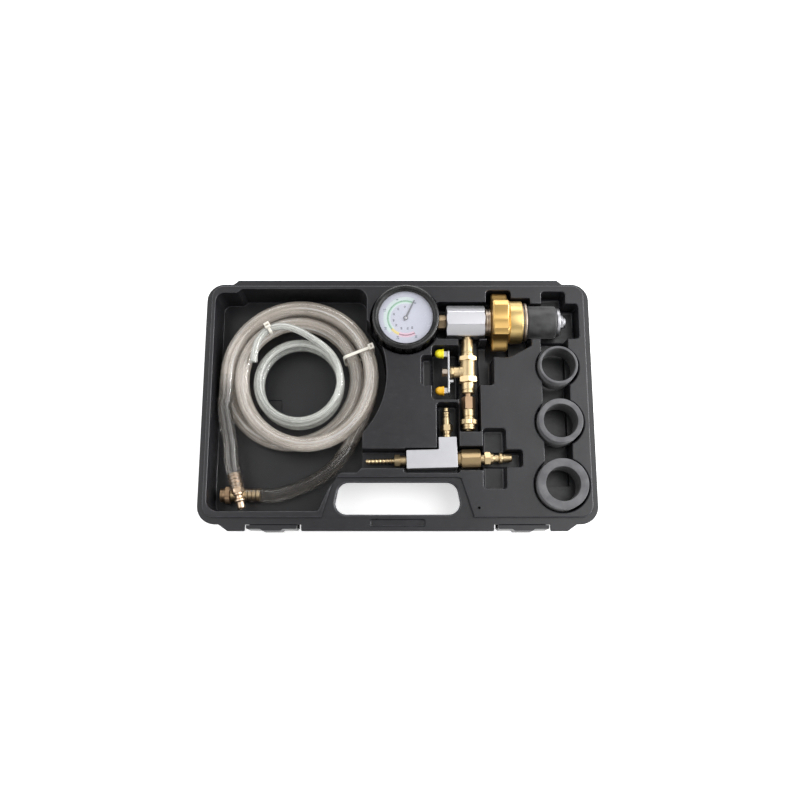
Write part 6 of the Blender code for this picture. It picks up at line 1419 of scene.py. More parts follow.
class FILLER_OT_case(bpy.types.Operator):
    """Base half of the blow moulded case with its pockets, hand opening, rim and latch rails"""
    bl_idname = "filler.case"
    bl_label = "Case"

    def execute(self, context):
        sizes, _ = looks()
        shape = combined(case_skirt(), [case_rim(), case_deck(), *latch_rails()], "UNION")
        slot = box(-SLOT_HALF, SLOT_HALF, -HALF_DEPTH + BACK_LIP, -HALF_DEPTH + BACK_LIP + SLOT_WIDTH, SMALL_ROUND)
        hole = [Vector(point[:2]) for point in disc(*BLOW_HOLE_AT, BLOW_HOLE, 24)]
        tools = [step_cutter(0.0012), hand_cutter(0.0026), *pocket_tools(sizes.lip, sizes.fillet),
                 pocket_cutter(slot, RIM - SLOT_DEPTH, STEP_TOP, 0.0006, 0.0008),
                 loft([(hole, RIM - SLOT_DEPTH), (hole, DECK + OVERRUN)])]
        shape = combined(shape, tools)
        even_shading(piece("case_tray", shape, "case", "case_plastic", ["case_base"], math.radians(50)))
        return {"FINISHED"}


class FILLER_OT_latches(bpy.types.Operator):
    """Sliding latches with a ribbed thumb grip"""
    bl_idname = "filler.latches"
    bl_label = "Latches"

    def execute(self, context):
        for name, side in (("latch_right", 1), ("latch_left", -1)):
            low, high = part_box(name)
            inner, outer = sorted((low.x, high.x), key=abs)
            middle = (inner + outer) / 2
            front, back = low.y, high.y
            flat = front + LATCH_BUMP
            bump = LATCH_BUMP_HALF * side
            corners = [(inner, back, 0), (inner, flat, LIP_ROUND), (middle - bump, flat, LIP_ROUND),
                       (middle - bump + LATCH_BUMP * side, front, LIP_ROUND),
                       (middle + bump - LATCH_BUMP * side, front, LIP_ROUND), (middle + bump, flat, LIP_ROUND),
                       (outer, flat, LIP_ROUND), (outer, back, 0)]
            shape = prism(corners if side > 0 else corners[::-1], low.z, high.z, 0.0004)
            face = RIM_FRONT - LATCH_BACK - RAIL_NECK
            reach = HALF_WIDTH
            slots = [prism(box(-reach, reach, face, RIM_FRONT, 0), RAIL_Z - RAIL_NECK_HALF - FACE_GAP,
                           RAIL_Z + RAIL_NECK_HALF + FACE_GAP),
                     prism(box(-reach, reach, face - RAIL_HEAD - FACE_GAP, face + FACE_GAP, 0),
                           RAIL_Z - RAIL_HEAD_HALF - FACE_GAP, RAIL_Z + RAIL_HEAD_HALF + FACE_GAP)]
            for index in range(GRIP_GROOVES):
                at = middle + (index - (GRIP_GROOVES - 1) / 2) * GRIP_PITCH
                slots.append(prism(box(at - 0.0005, at + 0.0005, front - OVERRUN, front + 0.0006, 0),
                                   low.z + 0.003, high.z - 0.003))
            shape = combined(shape, slots)
            even_shading(piece(name + "_slider", shape, name, "latch_plastic", [name], math.radians(40)))
        return {"FINISHED"}


# Gauge


def gathered(shapes):
    """Several shapes as one."""
    result = bmesh.new()
    for shape in shapes:
        mesh = bpy.data.meshes.new("part")
        shape.to_mesh(mesh)
        shape.free()
        result.from_mesh(mesh)
        bpy.data.meshes.remove(mesh)
    return result


def pressed_grooves(shape, count, depth, inside, full, fade):
    """Press round grooves into the upright side of a turned shape. They end softly between two heights."""
    for vert in shape.verts:
        reach = math.hypot(vert.co.x, vert.co.y)
        if reach < inside:
            continue
        turned_by = (math.atan2(vert.co.y, vert.co.x) / TURN * count) % 1
        across = min(1, max(0, (GROOVE_HALF - abs(turned_by - GROOVE_MIDDLE)) / GROOVE_SHOULDER))
        along = min(1, max(0, (fade - vert.co.z) / (fade - full)))
        pressed = depth * across * across * (3 - 2 * across) * along
        vert.co.xy *= (reach - pressed) / reach
    return shape


def band(inner, outer, start, sweep, height, steps=0):
    """Flat piece of a ring between two radii, from an angle over a sweep."""
    shape = bmesh.new()
    ends = [shape.verts.new((inner, 0, height)), shape.verts.new((outer, 0, height))]
    shape.edges.new(ends)
    bmesh.ops.spin(shape, geom=shape.verts[:] + shape.edges[:], cent=(0, 0, 0), axis=(0, 0, 1), angle=sweep,
                   steps=steps or max(1, round(math.degrees(sweep) / 2)), use_merge=False)
    moved(shape, Matrix.Rotation(start, 4, "Z"))
    bmesh.ops.recalc_face_normals(shape, faces=shape.faces)
    if shape.faces and sum(face.normal.z for face in shape.faces) < 0:
        bmesh.ops.reverse_faces(shape, faces=shape.faces)
    return shape


def word(text, size):
    """Letters as flat faces, centred, read along X."""
    curve = bpy.data.curves.new("word", "FONT")
    curve.body = text
    curve.size = size
    curve.offset = size * WORD_WEIGHT
    curve.align_x = "CENTER"
    curve.align_y = "CENTER"
    curve.resolution_u = 3
    stand_in = bpy.data.objects.new("word", curve)
    bpy.context.scene.collection.objects.link(stand_in)
    bpy.context.view_layer.update()
    seen = stand_in.evaluated_get(bpy.context.evaluated_depsgraph_get())
    shape = bmesh.new()
    shape.from_mesh(seen.to_mesh())
    seen.to_mesh_clear()
    bpy.data.objects.remove(stand_in)
    bpy.data.curves.remove(curve)
    return shape


def numbers(labels, size, height):
    """Numbers on the dial, each (text, angle in degrees, reach), upright for a reader at the dial's bottom."""
    shapes = []
    for text, angle, reach in labels:
        turned_by = math.radians(angle)
        where = Matrix.Translation((reach * math.cos(turned_by), reach * math.sin(turned_by), height))
        shapes.append(moved(word(text, size), where @ Matrix.Rotation(QUARTER, 4, "Z")))
    return gathered(shapes)


def ticks(first, last, count, inner, outer, width, height):
    """Short marks at even steps along the scale."""
    shapes = []
    for index in range(count):
        angle = first + (last - first) * index / (count - 1)
        half = width / outer / 2
        shapes.append(band(inner, outer, angle - half, 2 * half, height, 1))
    return gathered(shapes)


def dial_print(place, top):
    """Everything printed on the dial: the coloured bands, the marks and the numbers."""
    height = top + DIAL_RISE
    first, last = math.radians(DIAL_FIRST), math.radians(DIAL_LAST)
    layers = []
    for key, inner, outer, start, end, lift in DIAL_BANDS:
        shape = band(inner * MM, outer * MM, math.radians(start), math.radians(end - start), height + lift * DIAL_RISE)
        layers.append((key, shape))
    marks = [ticks(first, last, DIAL_MINOR, 0.0196, 0.0207, 0.00012, height + 3 * DIAL_RISE),
             ticks(first, last, DIAL_MAJOR, 0.0186, 0.0209, 0.00022, height + 3 * DIAL_RISE)]
    layers.append(("dial_ink", gathered(marks)))
    layers.append(("dial_teal", numbers(DIAL_OUTER, 0.0036, height + 2 * DIAL_RISE)))
    layers.append(("dial_ink", numbers(DIAL_INNER, 0.0028, height + 2 * DIAL_RISE)))
    for index, (key, shape) in enumerate(layers):
        piece(f"dial_print_{index}", moved(shape, place), "filler", key, flat=True)


def needle_shape(angle, low):
    """Pointer that narrows to its tip, with a short tail under its hub."""
    thick = 0.0003
    corners = [(-0.0034, -0.0010, 0.0006), (0.0, -0.00125, 0), (0.0212, -0.00070, 0), (0.0226, -0.0003, 0),
               (0.0226, 0.0003, 0), (0.0212, 0.00070, 0), (0.0, 0.00125, 0), (-0.0034, 0.0010, 0.0006)]
    shape = prism(corners, low, low + thick, 0.00006)
    return moved(shape, Matrix.Rotation(angle, 4, "Z"))


class FILLER_OT_gauge(bpy.types.Operator):
    """Gauge with its ribbed rubber boot, bezel, window, printed dial and needle"""
    bl_idname = "filler.gauge"
    bl_label = "Gauge"

    def execute(self, context):
        sizes, _ = looks()
        place = placed((HEAD.x, HEAD.y, 0))
        low, high, _, radius = span("gauge_boot", "Z")
        inside, mouth = radius - BOOT_WALL, radius - BOOT_WALL - BOOT_LIP_WIDTH
        profile = [(0, low), (radius - 0.0008, low, 0.0008), (radius, low + 0.0012), (radius, low + 0.0040),
                   (radius, high - 0.0150), (radius, high - 0.0062), (radius, high - 0.0044),
                   (radius, high - 0.0032), (radius - 0.0003, high - 0.0012, 0.0006), (radius - 0.0016, high, 0.0009),
                   (mouth, high, 0.0005), (mouth, high - 0.0012), (inside, high - 0.0012), (inside, low + 0.003),
                   (0, low + 0.003)]
        boot = lathe(profile, BOOT_RIBS * GROOVE_POINTS)
        pressed_grooves(boot, BOOT_RIBS, BOOT_RIB_DEPTH, inside + LAP / 2, high - 0.0060, high - 0.0030)
        notch = moved(lathe(rod(BOOT_NOTCH, inside - LAP, radius + OVERRUN)), placed((0, 0, HEAD.z), "X"))
        boot = moved(combined(boot, [notch]), place)
        piece("gauge_boot_ribbed", boot, "filler", "boot_rubber", ["gauge_boot"], math.radians(44))
        low, high, _, radius = span("gauge_bezel", "Z")
        window_low, window_high, _, window = span("gauge_lens", "Z")
        seat = window + FACE_GAP
        profile = [(radius, low, 0.0002), (radius, high, 0.0004), (radius - 0.0013, high, 0.0003),
                   (radius - 0.0019, high - 0.0004, 0.0003), (seat - 0.0009, high - 0.0004, 0.0003),
                   (seat - 0.0015, high - 0.0009, 0.0001), (seat - 0.0015, window_high + FACE_GAP),
                   (seat, window_high + FACE_GAP), (seat, low)]
        piece("gauge_bezel_ring", moved(lathe(profile, 96), place), "filler", "black_steel", ["gauge_bezel"])
        shape = lathe(rod(window, window_low, window_high, 0.0002, 0.00008), 96)
        piece("gauge_window", moved(shape, place), "filler", "gauge_lens", ["gauge_lens"])
        low, high, _, radius = span("gauge_dial", "Z")
        shape = lathe(sleeve(radius, DIAL_HOLE, low, high, 0.0001), 96)
        piece("gauge_dial_plate", moved(shape, place), "filler", "dial_paint", ["gauge_dial"])
        dial_print(place, high)
        low, high, _, _ = span("gauge_needle", "Z")
        hub = high - 0.0010
        shape = needle_shape(sizes.needle_angle, hub + 0.00015)
        shaft = [(0, hub + 0.0005), (0.0026, hub + 0.0005, 0.0001), (0.0026, hub, 0.0001), (0.0008, hub),
                 (0.0008, low, 0.0001), (0, low)]
        shape = gathered([shape, lathe(shaft, SMALL_STEPS)])
        piece("gauge_needle_arm", moved(shape, place), "needle", "needle_paint", ["gauge_needle"])
        cap = lathe([(0.0003, high - 0.0001), (0.0009, high - 0.0001, 0.0001), (0.0013, high - 0.0003, 0.0001),
                     (0.0014, hub + 0.0005), (0.0003, hub + 0.0005)], SMALL_STEPS)
        slot = prism(box(-0.0010, 0.0010, -0.0002, 0.0002, 0), high - 0.0003, high + OVERRUN)
        cap = moved(combined(cap, [slot]), place @ Matrix.Rotation(math.radians(20), 4, "Z"))
        piece("gauge_needle_cap", cap, "needle", "plated_steel")
        return {"FINISHED"}


# Head


def head_place(node):
    """Place where a turned node of the head begins along X, with its length and its radius."""
    start, end, _, radius = span(node, "X")
    return placed((start, HEAD.y, HEAD.z), "X"), end - start, radius


def rounded_ring(radius, bore, run, chamfer, arc=0.0002):
    """Turned ring along Z from its start, with outer chamfers whose corners are broken."""
    return sleeve(radius, bore, 0, run, chamfer, 0.0, arc)


class FILLER_OT_body(bpy.types.Operator):
    """Adapter nut, eight sided body, neck ring and draw tube"""
    bl_idname = "filler.body"
    bl_label = "Filler body"

    def execute(self, context):
        place, run, _ = head_place("gauge_adapter_nut")
        flat = ADAPTER_CORNER * math.cos(TURN / HEXAGON / 2)
        nut = nut_shape(HEXAGON, flat, 0, ADAPTER_HEX, math.radians(38), 0.0006)
        nut = combined(nut, [lathe(rod(0.0050, ADAPTER_HEX - LAP, run, 0.0003))], "UNION")
        cuts = [lathe(rod(0.0063, -OVERRUN, 0.0054)), lathe(rod(0.0030, 0.0052, run + OVERRUN))]
        piece("adapter_nut", moved(combined(nut, cuts), place), "filler", "bronze_nut", ["gauge_adapter_nut"])
        place, run, _ = head_place("body_block")
        block = nut_shape(OCTAGON, BODY_FLAT, 0, run, math.radians(34), 0.0003, TURN / OCTAGON / 2, BODY_LAND)
        tube_room = run - TUBE_IN_BODY - FACE_GAP
        bores = lathe([(0, run + OVERRUN), (TUBE_RADIUS + FACE_GAP, run + OVERRUN), (TUBE_RADIUS + FACE_GAP, tube_room),
                       (0.0040, tube_room), (0.0040, 0.0051), (0.0053, 0.0051), (0.0053, -OVERRUN),
                       (0, -OVERRUN)], SMALL_STEPS)
        port = placed((0, 0, VALVE_X - span("body_block", "X")[0]))
        down = placed((0, 0, 0), "-Y")
        valve = moved(lathe(rod(0.0045, 0, 0.025), SMALL_STEPS), port @ down)
        spot = moved(lathe(rod(SPOT_RADIUS, BODY_FLAT - SPOT_DEPTH, 0.025)), port @ down)
        block = moved(combined(block, [bores, valve, spot]), place)
        even_shading(piece("filler_body", block, "filler", "facet_aluminium", ["body_block"], math.radians(20)))
        place, run, radius = head_place("neck_ring")
        ring = [(radius - 0.0008, run, 0.0002), (radius, run - 0.0008, 0.0002), (radius, 0.0042, 0.0002),
                (radius - 0.0006, 0.0038, 0.0001), (radius - 0.0006, 0.0030, 0.0001), (radius, 0.0026, 0.0002),
                (radius, 0.0008, 0.0002), (radius - 0.0008, 0, 0.0002), (0.0058, 0), (0.0058, run)]
        piece("neck_ring_turned", moved(lathe(ring), place), "filler", "neck_aluminium", ["neck_ring"])
        place, run, radius = head_place("draw_tube")
        shape = lathe(sleeve(radius, TUBE_BORE, 0, run, 0.0005, 0.0003, 0.0001))
        piece("draw_tube_turned", moved(shape, place), "filler", "turned_aluminium_x", ["draw_tube"])
        return {"FINISHED"}


def knob_outline(radius):
    """Outline of the star knob, hollow scallops with flat lands between them."""
    outline = []
    for step in range(KNOB_LOBES * KNOB_LOBE_POINTS):
        across = abs(2 * (step % KNOB_LOBE_POINTS) / KNOB_LOBE_POINTS - 1) / (1 - KNOB_LAND)
        angle = KNOB_PHASE + TURN * (step / KNOB_LOBE_POINTS + 1 / 2) / KNOB_LOBES
        reach = radius - KNOB_LOBE_DEPTH * max(0, 1 - across ** 2)
        outline.append(Vector((reach * math.cos(angle), reach * math.sin(angle))))
    return outline


class FILLER_OT_expander(bpy.types.Operator):
    """Star knob, pressure collar, washers, rubber plug and end nut on the draw tube"""
    bl_idname = "filler.expander"
    bl_label = "Expanding plug"

    def execute(self, context):
        bore = TUBE_RADIUS + FACE_GAP
        place, run, radius = head_place("star_knob")
        rims = [(KNOB_ROUND * inset, KNOB_ROUND * height) for inset, height in KNOB_RIM]
        sections = [(knob_outline(KNOB_RADIUS - inset), height) for inset, height in rims]
        sections += [(knob_outline(KNOB_RADIUS - inset), run - height) for inset, height in reversed(rims)]
        dish = [(0, run + OVERRUN), (0.0150, run + OVERRUN), (0.0135, run - 0.0012, 0.0006), (0, run - 0.0012)]
        knob = combined(loft(sections), [lathe(rod(bore, -OVERRUN, run + OVERRUN)), lathe(dish)])
        even_shading(piece("star_knob_turned", moved(knob, place), "knob", "gold_anodised", ["star_knob"],
                           math.radians(30)))
        place, run, radius = head_place("pressure_collar")
        collar = [(radius - 0.0013, run, 0.0003), (radius, run - 0.0013, 0.0003), (radius, 0.0013, 0.0003),
                  (radius - 0.0013, 0, 0.0003), (bore, 0), (bore, run)]
        piece("pressure_collar_turned", moved(lathe(collar), place), "pusher", "dark_gold", ["pressure_collar"])
        for node, body, key, chamfer in (("thrust_ring", "pusher", "thrust_steel", 0.0002),
                                         ("front_washer", "pusher", "neck_aluminium", 0.0006),
                                         ("end_washer", "filler", "turned_aluminium_x", 0.0006)):
            place, run, radius = head_place(node)
            ring = lathe(rounded_ring(radius, bore, run, chamfer, chamfer * 0.4))
            piece(node + "_turned", moved(ring, place), body, key, [node])
        place, run, radius = head_place("rubber_plug")
        plug = [(radius - 0.0014, run, 0.0006), (radius, run - 0.0014, 0.0008), (radius, 0.0014, 0.0008),
                (radius - 0.0014, 0, 0.0006), (bore, 0), (bore, run)]
        item = piece("rubber_plug_moulded", moved(lathe(plug), place), "filler", "plug_rubber", ["rubber_plug"])
        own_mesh(item)
        place, run, _ = head_place("end_nut")
        nut = nut_shape(HEXAGON, 0.0078 * math.cos(TURN / HEXAGON / 2), 0, run)
        nut = combined(nut, [lathe(rod(bore, -OVERRUN, run + OVERRUN))])
        piece("end_nut_hex", moved(nut, place), "filler", "turned_aluminium_x", ["end_nut"])
        return {"FINISHED"}


# Valve, lever and couplers


class FILLER_OT_valve(bpy.types.Operator):
    """Nipple, ball valve body with its packing nut, and valve end"""
    bl_idname = "filler.valve"
    bl_label = "Ball valve"

    def execute(self, context):
        place = placed((VALVE_X, HEAD.y, HEAD.z), "-Y")
        root, tip = (HEAD.y - edge for edge in (span("valve_nipple", "Y")[1], span("valve_nipple", "Y")[0]))
        nipple = [(0.0028, tip), (0.0045, tip, 0.0002), (0.0045, tip - 0.0030), (0.0070, tip - 0.0030, 0.0003),
                  (0.0068, 0.0352, 0.0002), (0.0064, 0.0349, 0.0001), (0.0064, 0.0342, 0.0001),
                  (0.0067, 0.0339, 0.0002), (0.0061, 0.0206, 0.0002), (0.0057, 0.0200, 0.0003), (0.0042, 0.0200),
                  (0.0042, root), (0.0028, root)]
        piece("valve_nipple_turned", moved(lathe(nipple), place), "filler", "brass_y", ["valve_nipple"])
        low, high, _, _ = span("valve_body", "Y")
        top, bottom = HEAD.y - high, HEAD.y - low
        flat = VALVE_CORNER * math.cos(TURN / HEXAGON / 2)
        barrel = lathe([(0, top + LAP), (0.0084, top + LAP), (0.0084, top + 0.0052, 0.0008),
                        (0.0081, top + 0.0060, 0.0006), (0.0081, bottom - 0.0074, 0.0006),
                        (0.0084, bottom - 0.0066, 0.0008), (0.0084, bottom - LAP), (0, bottom - LAP)])
        upper = nut_shape(HEXAGON, flat, top, top + 0.0054, math.radians(30), 0.0003, TURN / HEXAGON / 2)
        lower = nut_shape(HEXAGON, flat, bottom - 0.0068, bottom, math.radians(30), 0.0003, TURN / HEXAGON / 2)
        across = placed((0, 0, LEVER_DOWN)) @ Matrix.Rotation(-QUARTER, 4, "Y")
        bonnet = moved(lathe([(0, BONNET_REACH), (0.0057, BONNET_REACH), (0.0060, BONNET_REACH - 0.0003),
                              (0.0060, 0.0098, 0.0006), (0.0067, 0.0088, 0.0006), (0.0067, 0), (0, 0)]), across)
        cuts = [lathe([(0, bottom + OVERRUN), (0.0065, bottom + OVERRUN), (0.0065, 0.0497), (0.0035, 0.0497),
                       (0.0035, 0.0423), (0.0048, 0.0423), (0.0048, top - OVERRUN), (0, top - OVERRUN)]),
                moved(lathe(rod(0.0027, 0, BONNET_REACH + OVERRUN), SMALL_STEPS), across)]
        shape = combined(combined(barrel, [upper, lower, bonnet], "UNION"), cuts)
        even_shading(piece("valve_body_forged", moved(shape, place), "filler", "cast_brass", ["valve_body"]))
        nut_start, nut_end, _, _ = span("packing_nut", "X")
        nut = nut_shape(HEXAGON, 0.0068 * math.cos(TURN / HEXAGON / 2), VALVE_X - nut_end, VALVE_X - nut_start,
                        spin=TURN / HEXAGON / 2)
        nut = combined(nut, [lathe(rod(0.0027, 0, 0.025), SMALL_STEPS)])
        lever = placed((VALVE_X, HEAD.y - LEVER_DOWN, HEAD.z), "-X")
        piece("packing_nut_hex", moved(nut, lever), "filler", "brass_x", ["packing_nut"])
        low, high, _, _ = span("valve_end", "Y")
        top, bottom = HEAD.y - high, HEAD.y - low
        end = [(0.0038, bottom), (0.0066, bottom, 0.0003), (0.0070, bottom - 0.0005, 0.0003),
               (0.0070, bottom - 0.0030, 0.0001), (0.0066, bottom - 0.0034), (0.0066, bottom - 0.0040),
               (0.0070, bottom - 0.0044, 0.0001), (0.0070, bottom - 0.0116), (0.0062, bottom - 0.0116),
               (0.0062, top), (0.0035, top), (0.0035, 0.0777), (0.0038, 0.0777)]
        piece("valve_end_turned", moved(lathe(end), place), "filler", "brass_y", ["valve_end"])
        return {"FINISHED"}


def cap_shape(centre):
    """Vinyl cap pulled over an ear of the lever: a soft round end, a thin wall and a rolled mouth."""
    outline = rounded(box(-CAP_HALF, CAP_HALF, -CAP_WIDE, CAP_WIDE, CAP_WIDE - 0.0001), 2 * CORNER_ARC)
    turns = [QUARTER * step / (2 * LIP_ARC) for step in range(2 * LIP_ARC + 1)]
    tip = [(offset(outline, -0.0004 - CAP_TIP * (1 - math.cos(a))), CAP_RUN - CAP_DOME * (1 - math.sin(a)))
           for a in turns]
    mouth = [(offset(outline, -inset), CAP_BACK + rise)
             for inset, rise in ((0.0005, 0), (0, 0.0004), (0, 0.0014), (0.0004, 0.0020))]
    return moved(loft(mouth + tip), placed((0, centre, 0)))


class FILLER_OT_lever(bpy.types.Operator):
    """Bent steel lever with its yellow vinyl caps and the nut that holds it"""
    bl_idname = "filler.lever"
    bl_label = "Lever"

    def execute(self, context):
        low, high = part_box("lever_plate")
        half, tall = (high.y - low.y) / 2, (high.z - low.z) / 2
        middle = (low + high) / 2
        face, back = high.x, high.x - LEVER_THICK
        ear = half - EAR_IN
        plate = prism(box(back, face, -half, half, 0.0005), -tall, tall, 0.0003)
        ears = [prism(box(low.x, face - 0.0005, side * ear - EAR_HALF, side * ear + EAR_HALF, 0.0006),
                      -LEVER_THICK / 2, LEVER_THICK / 2, 0.0003) for side in (-1, 1)]
        stop = prism(box(face - LAP, face + 0.0042, -0.0115, -0.0085, 0.0004), -0.0012, 0.0012, 0.0003)
        plate = combined(plate, [*ears, stop], "UNION")
        hole = moved(lathe(rod(0.0027, -0.030, 0.030), SMALL_STEPS), placed((back, 0, 0), "X"))
        ends = moved(prism(box(-half, half, -tall, tall, 0.0030), low.x, face + 0.006),
                     Matrix(((0, 0, 1, 0), (1, 0, 0, 0), (0, 1, 0, 0), (0, 0, 0, 1))))
        plate = combined(combined(plate, [hole]), [ends], "INTERSECT")
        place = placed((0, middle.y, middle.z))
        even_shading(piece("lever_bent_plate", moved(plate, place), "lever", "plated_steel", ["lever_plate"]))
        for node, side in (("lever_cap_upper", 1), ("lever_cap_lower", -1)):
            low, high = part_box(node)
            centre = (low.y + high.y) / 2 - middle.y
            room = [prism(box(-CAP_SLOT, CAP_SLOT, side * ear - EAR_HALF - FACE_GAP, side * ear + EAR_HALF + FACE_GAP,
                              0), -OVERRUN, CAP_RUN - 0.0019)]
            cap = combined(cap_shape(centre), room)
            cap = moved(cap, placed((high.x, middle.y, middle.z), "-X"))
            key = "cap_vinyl" if side > 0 else "amber_cap_vinyl"
            even_shading(piece(node + "_dipped", cap, "lever", key, [node], math.radians(50)))
        start, end, _, _ = span("lever_screw", "X")
        run = end - start
        nut = nut_shape(HEXAGON, 0.00475 * math.cos(TURN / HEXAGON / 2), 0, run, spin=TURN / HEXAGON / 2)
        nut = combined(nut, [lathe(rod(0.0027, -OVERRUN, 0.0037), SMALL_STEPS),
                             lathe([(0, run + OVERRUN), (0.0024, run + OVERRUN), (0.0024, run - 0.0006), (0, run - 0.0006)],
                                   SMALL_STEPS)])
        nut = moved(nut, placed((end, middle.y, middle.z), "-X"))
        even_shading(piece("lever_nut", nut, "lever", "neck_aluminium", ["lever_screw"]))
        return {"FINISHED"}


class FILLER_OT_coupler(bpy.types.Operator):
    """Adapter and quick coupler under the valve"""
    bl_idname = "filler.coupler"
    bl_label = "Quick coupler"

    def execute(self, context):
        place = placed((VALVE_X, HEAD.y, HEAD.z), "-Y")
        low, high, _, _ = span("coupler_adapter", "Y")
        top, bottom = HEAD.y - high, HEAD.y - low
        shoulder, foot = top + COUPLING_NECK_RUN, bottom - 0.0033
        stem = lathe([(0.0022, bottom), (0.0041, bottom, 0.0002), (0.0041, foot - LAP), (0.0035, foot - LAP),
                      (0.0035, top), (0.0022, top)])
        hexagon = nut_shape(HEXAGON, COUPLING_FLAT, shoulder, foot, math.radians(30), 0.00025)
        hexagon = combined(hexagon, [lathe(rod(0.0022, top, bottom), SMALL_STEPS)])
        shape = moved(combined(stem, [hexagon], "UNION"), place)
        even_shading(piece("coupler_adapter_hex", shape, "filler", "pink_brass", ["coupler_adapter"]))
        place = placed((VALVE_X, span("coupler_body", "Y")[1], HEAD.z), "-Y")
        outer, inner = coupler_side(0.0)
        piece("coupler_body_turned", moved(lathe([*outer, (0.0068, 0.0, 0.0002), *inner]), place), "filler",
              "brass_y", ["coupler_body"])
        piece("coupler_sleeve_fluted", moved(sleeve_shape(), place), "coupler_sleeve", "brass_y",
              ["coupler_sleeve"])
        spring("coupler_spring_coiled", "coupler_spring", place, "filler")
        return {"FINISHED"}


class FILLER_OT_venturi(bpy.types.Operator):
    """Venturi block with its hose barb, vacuum nipple, air hexagon and air plug"""
    bl_idname = "filler.venturi"
    bl_label = "Venturi"

    def execute(self, context):
        half, side, tall = 0.027, 0.010, 0.010
        arm, port = side + 0.013, half - 0.00975
        corners = [(-half, -side), (half, -side), (half, arm), (half - 0.0195, arm), (half - 0.0195, side),
                   (-half, side)]
        block = prism([(x, y, 0.0010) for x, y in corners], -tall, tall, 0.0007)
        cuts = [moved(lathe(rod(0.005, -half - OVERRUN, half + OVERRUN)), AXES["X"]),
                moved(lathe(rod(0.004, 0, arm + OVERRUN)), placed((port, 0, 0), "Y"))]
        block = moved(combined(block, cuts), VENTURI_PLACE)
        even_shading(piece("venturi_block_milled", block, "venturi", "block_aluminium", ["venturi_block"],
                           math.radians(24)))
        face, spigot = half + FACE_GAP, half - 0.0025
        self.barb(face, spigot)
        self.vacuum(arm, port)
        self.air(face, spigot)
        return {"FINISHED"}

    def fitting(self, name, node, profile, flat, start, end, bore, place, key):
        """Turned fitting with a hexagon between two heights, bored right through."""
        hexagon = nut_shape(HEXAGON, flat, start, end, math.radians(30), 0.0002)
        shape = combined(lathe(profile), [hexagon], "UNION")
        low, high = profile[0][1], profile[-1][1]
        shape = combined(shape, [lathe(rod(bore, min(low, high) - OVERRUN, max(low, high) + OVERRUN), SMALL_STEPS)])
        even_shading(piece(name, moved(shape, VENTURI_PLACE @ place), "venturi", key, [node]))

    def barb(self, face, spigot):
        """Hose barb that the air leaves by."""
        cone = face + 0.0064
        end = cone + 0.0061
        side = ridges(0.0030, 0.0006, end - LAP, end + 0.0304, 8)
        profile = [(0, end + 0.0304), *side, (0.0052, end - LAP), (0.0055, cone), (0.0058, face + 0.0022, 0.0004),
                   (0.0047, face, 0.0003), (0.0047, spigot), (0, spigot)]
        self.fitting("exhaust_barb_turned", "exhaust_barb", profile, 0.0070 * math.cos(TURN / HEXAGON / 2), cone, end,
                     0.0015, AXES["-X"], "brass_x")

    def vacuum(self, arm, port):
        """Quick plug that draws the vacuum."""
        start = arm + FACE_GAP
        neck = start + 0.0072
        end = neck + 0.0070
        side = quick_plug(0.0042, end - LAP, 0.0207, STOUT_PLUG)
        profile = [(0, end - LAP + 0.0207), *side, (0.0046, end - LAP), (0.0046, start + 0.0048, 0.0002),
                   (0.0040, start + 0.0044, 0.0001), (0.0040, start + 0.0034, 0.0001), (0.0046, start + 0.0030, 0.0002),
                   (0.0046, start, 0.0002), (0.0037, start), (0.0037, arm - 0.0025), (0, arm - 0.0025)]
        self.fitting("vacuum_nipple_turned", "vacuum_nipple", profile, 0.0068 * math.cos(TURN / HEXAGON / 2), neck,
                     end, 0.0015, placed((port, 0, 0), "Y"), "brass_y")

    def air(self, face, spigot):
        """One way hexagon and the plug that the compressed air comes in by."""
        neck = face + 0.0040
        end = neck + 0.0205
        profile = [(0, end - LAP), (0.0080, end - LAP), (0.0080, face + 0.0016, 0.0003), (0.0072, face, 0.0003),
                   (0.0047, face), (0.0047, spigot), (0, spigot)]
        hexagon = nut_shape(HEXAGON, 0.0110 * math.cos(TURN / HEXAGON / 2), neck, end, math.radians(30), 0.0003)
        cuts = [lathe(rod(0.0022, spigot - OVERRUN, end + OVERRUN), SMALL_STEPS),
                lathe(rod(0.0051, end - 0.0028, end + OVERRUN), SMALL_STEPS)]
        shape = combined(combined(lathe(profile), [hexagon], "UNION"), cuts)
        even_shading(piece("air_hex_turned", moved(shape, VENTURI_PLACE @ AXES["X"]), "venturi", "one_way_brass",
                           ["air_hex"]))
        start = end + FACE_GAP
        neck = start + 0.0040
        plug = neck + 0.0065
        side = quick_plug(0.0059, plug - LAP, 0.0245)
        profile = [(0, plug - LAP + 0.0245), *side, (0.0048, plug - LAP), (0.0048, end - 0.0025),
                   (0, end - 0.0025)]
        self.fitting("air_plug_turned", "air_plug", profile, 0.0075 * math.cos(TURN / HEXAGON / 2), neck, plug,
                     0.0015, AXES["X"], "brass_x")


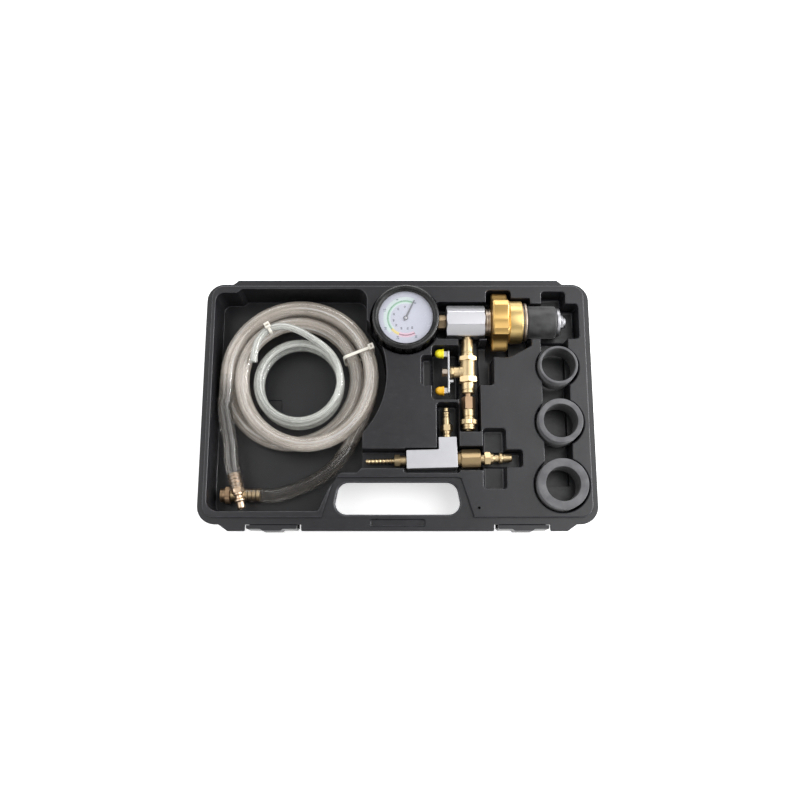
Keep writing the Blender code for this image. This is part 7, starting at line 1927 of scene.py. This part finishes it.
class FILLER_OT_rings(bpy.types.Operator):
    """Rubber adapter rings"""
    bl_idname = "filler.rings"
    bl_label = "Adapter rings"

    def execute(self, context):
        for size in ("small", "medium", "large"):
            node = "adapter_ring_" + size
            low, high, centre, radius = span(node, "Z")
            profile = [(radius - 0.0002, high, 0.0009), (radius, low, 0.0009), (RING_BORE, low, 0.0006),
                       (RING_BORE, high, 0.0008)]
            ring = moved(lathe(profile, 96, 4), placed((centre.x, centre.y, 0)))
            item = piece(node + "_moulded", ring, "ring_" + size, "ring_rubber", [node])
            # Painted shade: the bore's faces take the darker plug rubber, for the shade deep inside the ring.
            item.data.materials.append(finish("plug_rubber"))
            for face in item.data.polygons:
                out = Vector((face.center.x - centre.x, face.center.y - centre.y))
                if out.length < RING_BORE + 0.0003:
                    face.material_index = 1
        return {"FINISHED"}


class FILLER_OT_inner_works(bpy.types.Operator):
    """Finishes of what the frame carries inside the gauge, the valve and the venturi"""
    bl_idname = "filler.inner_works"
    bl_label = "Inner works"

    def execute(self, context):
        for node, key in INNER_FINISHES.items():
            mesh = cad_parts[node].data
            mesh.materials.clear()
            mesh.materials.append(finish(key))
        return {"FINISHED"}


class FILLER_PT_panel(bpy.types.Panel):
    """Sizes and colours of the filler, and the pieces to build"""
    bl_idname = "FILLER_PT_panel"
    bl_label = "Coolant vacuum filler"
    bl_space_type = "VIEW_3D"
    bl_region_type = "UI"
    bl_category = "Filler"

    def draw(self, context):
        layout = self.layout
        for group in (context.scene.filler_sizes, context.scene.filler_colours):
            column = layout.column()
            for name in group.bl_rna.properties.keys():
                if name not in ("rna_type", "name"):
                    column.prop(group, name)
        column = layout.column()
        for operator in OPERATORS:
            column.operator(operator.bl_idname)


OPERATORS = (FILLER_OT_stage, FILLER_OT_hoses, FILLER_OT_case, FILLER_OT_latches, FILLER_OT_gauge, FILLER_OT_body,
             FILLER_OT_expander, FILLER_OT_valve, FILLER_OT_lever, FILLER_OT_coupler, FILLER_OT_venturi,
             FILLER_OT_rings, FILLER_OT_inner_works)
CLASSES = (FillerSizes, FillerColours, *OPERATORS, FILLER_PT_panel)


def register():
    """Make the settings, the operators and the panel known."""
    for item in CLASSES:
        bpy.utils.register_class(item)
    bpy.types.Scene.filler_sizes = bpy.props.PointerProperty(type=FillerSizes)
    bpy.types.Scene.filler_colours = bpy.props.PointerProperty(type=FillerColours)


def unregister():
    """Undo register."""
    del bpy.types.Scene.filler_colours
    del bpy.types.Scene.filler_sizes
    for item in reversed(CLASSES):
        bpy.utils.unregister_class(item)


def main():
    """Build every piece in order."""
    register()
    for operator in OPERATORS:
        group, name = operator.bl_idname.split(".")
        if getattr(getattr(bpy.ops, group), name)() != {"FINISHED"}:
            raise RuntimeError(f"{operator.bl_label} did not finish")


if __name__ == "__main__":
    main()
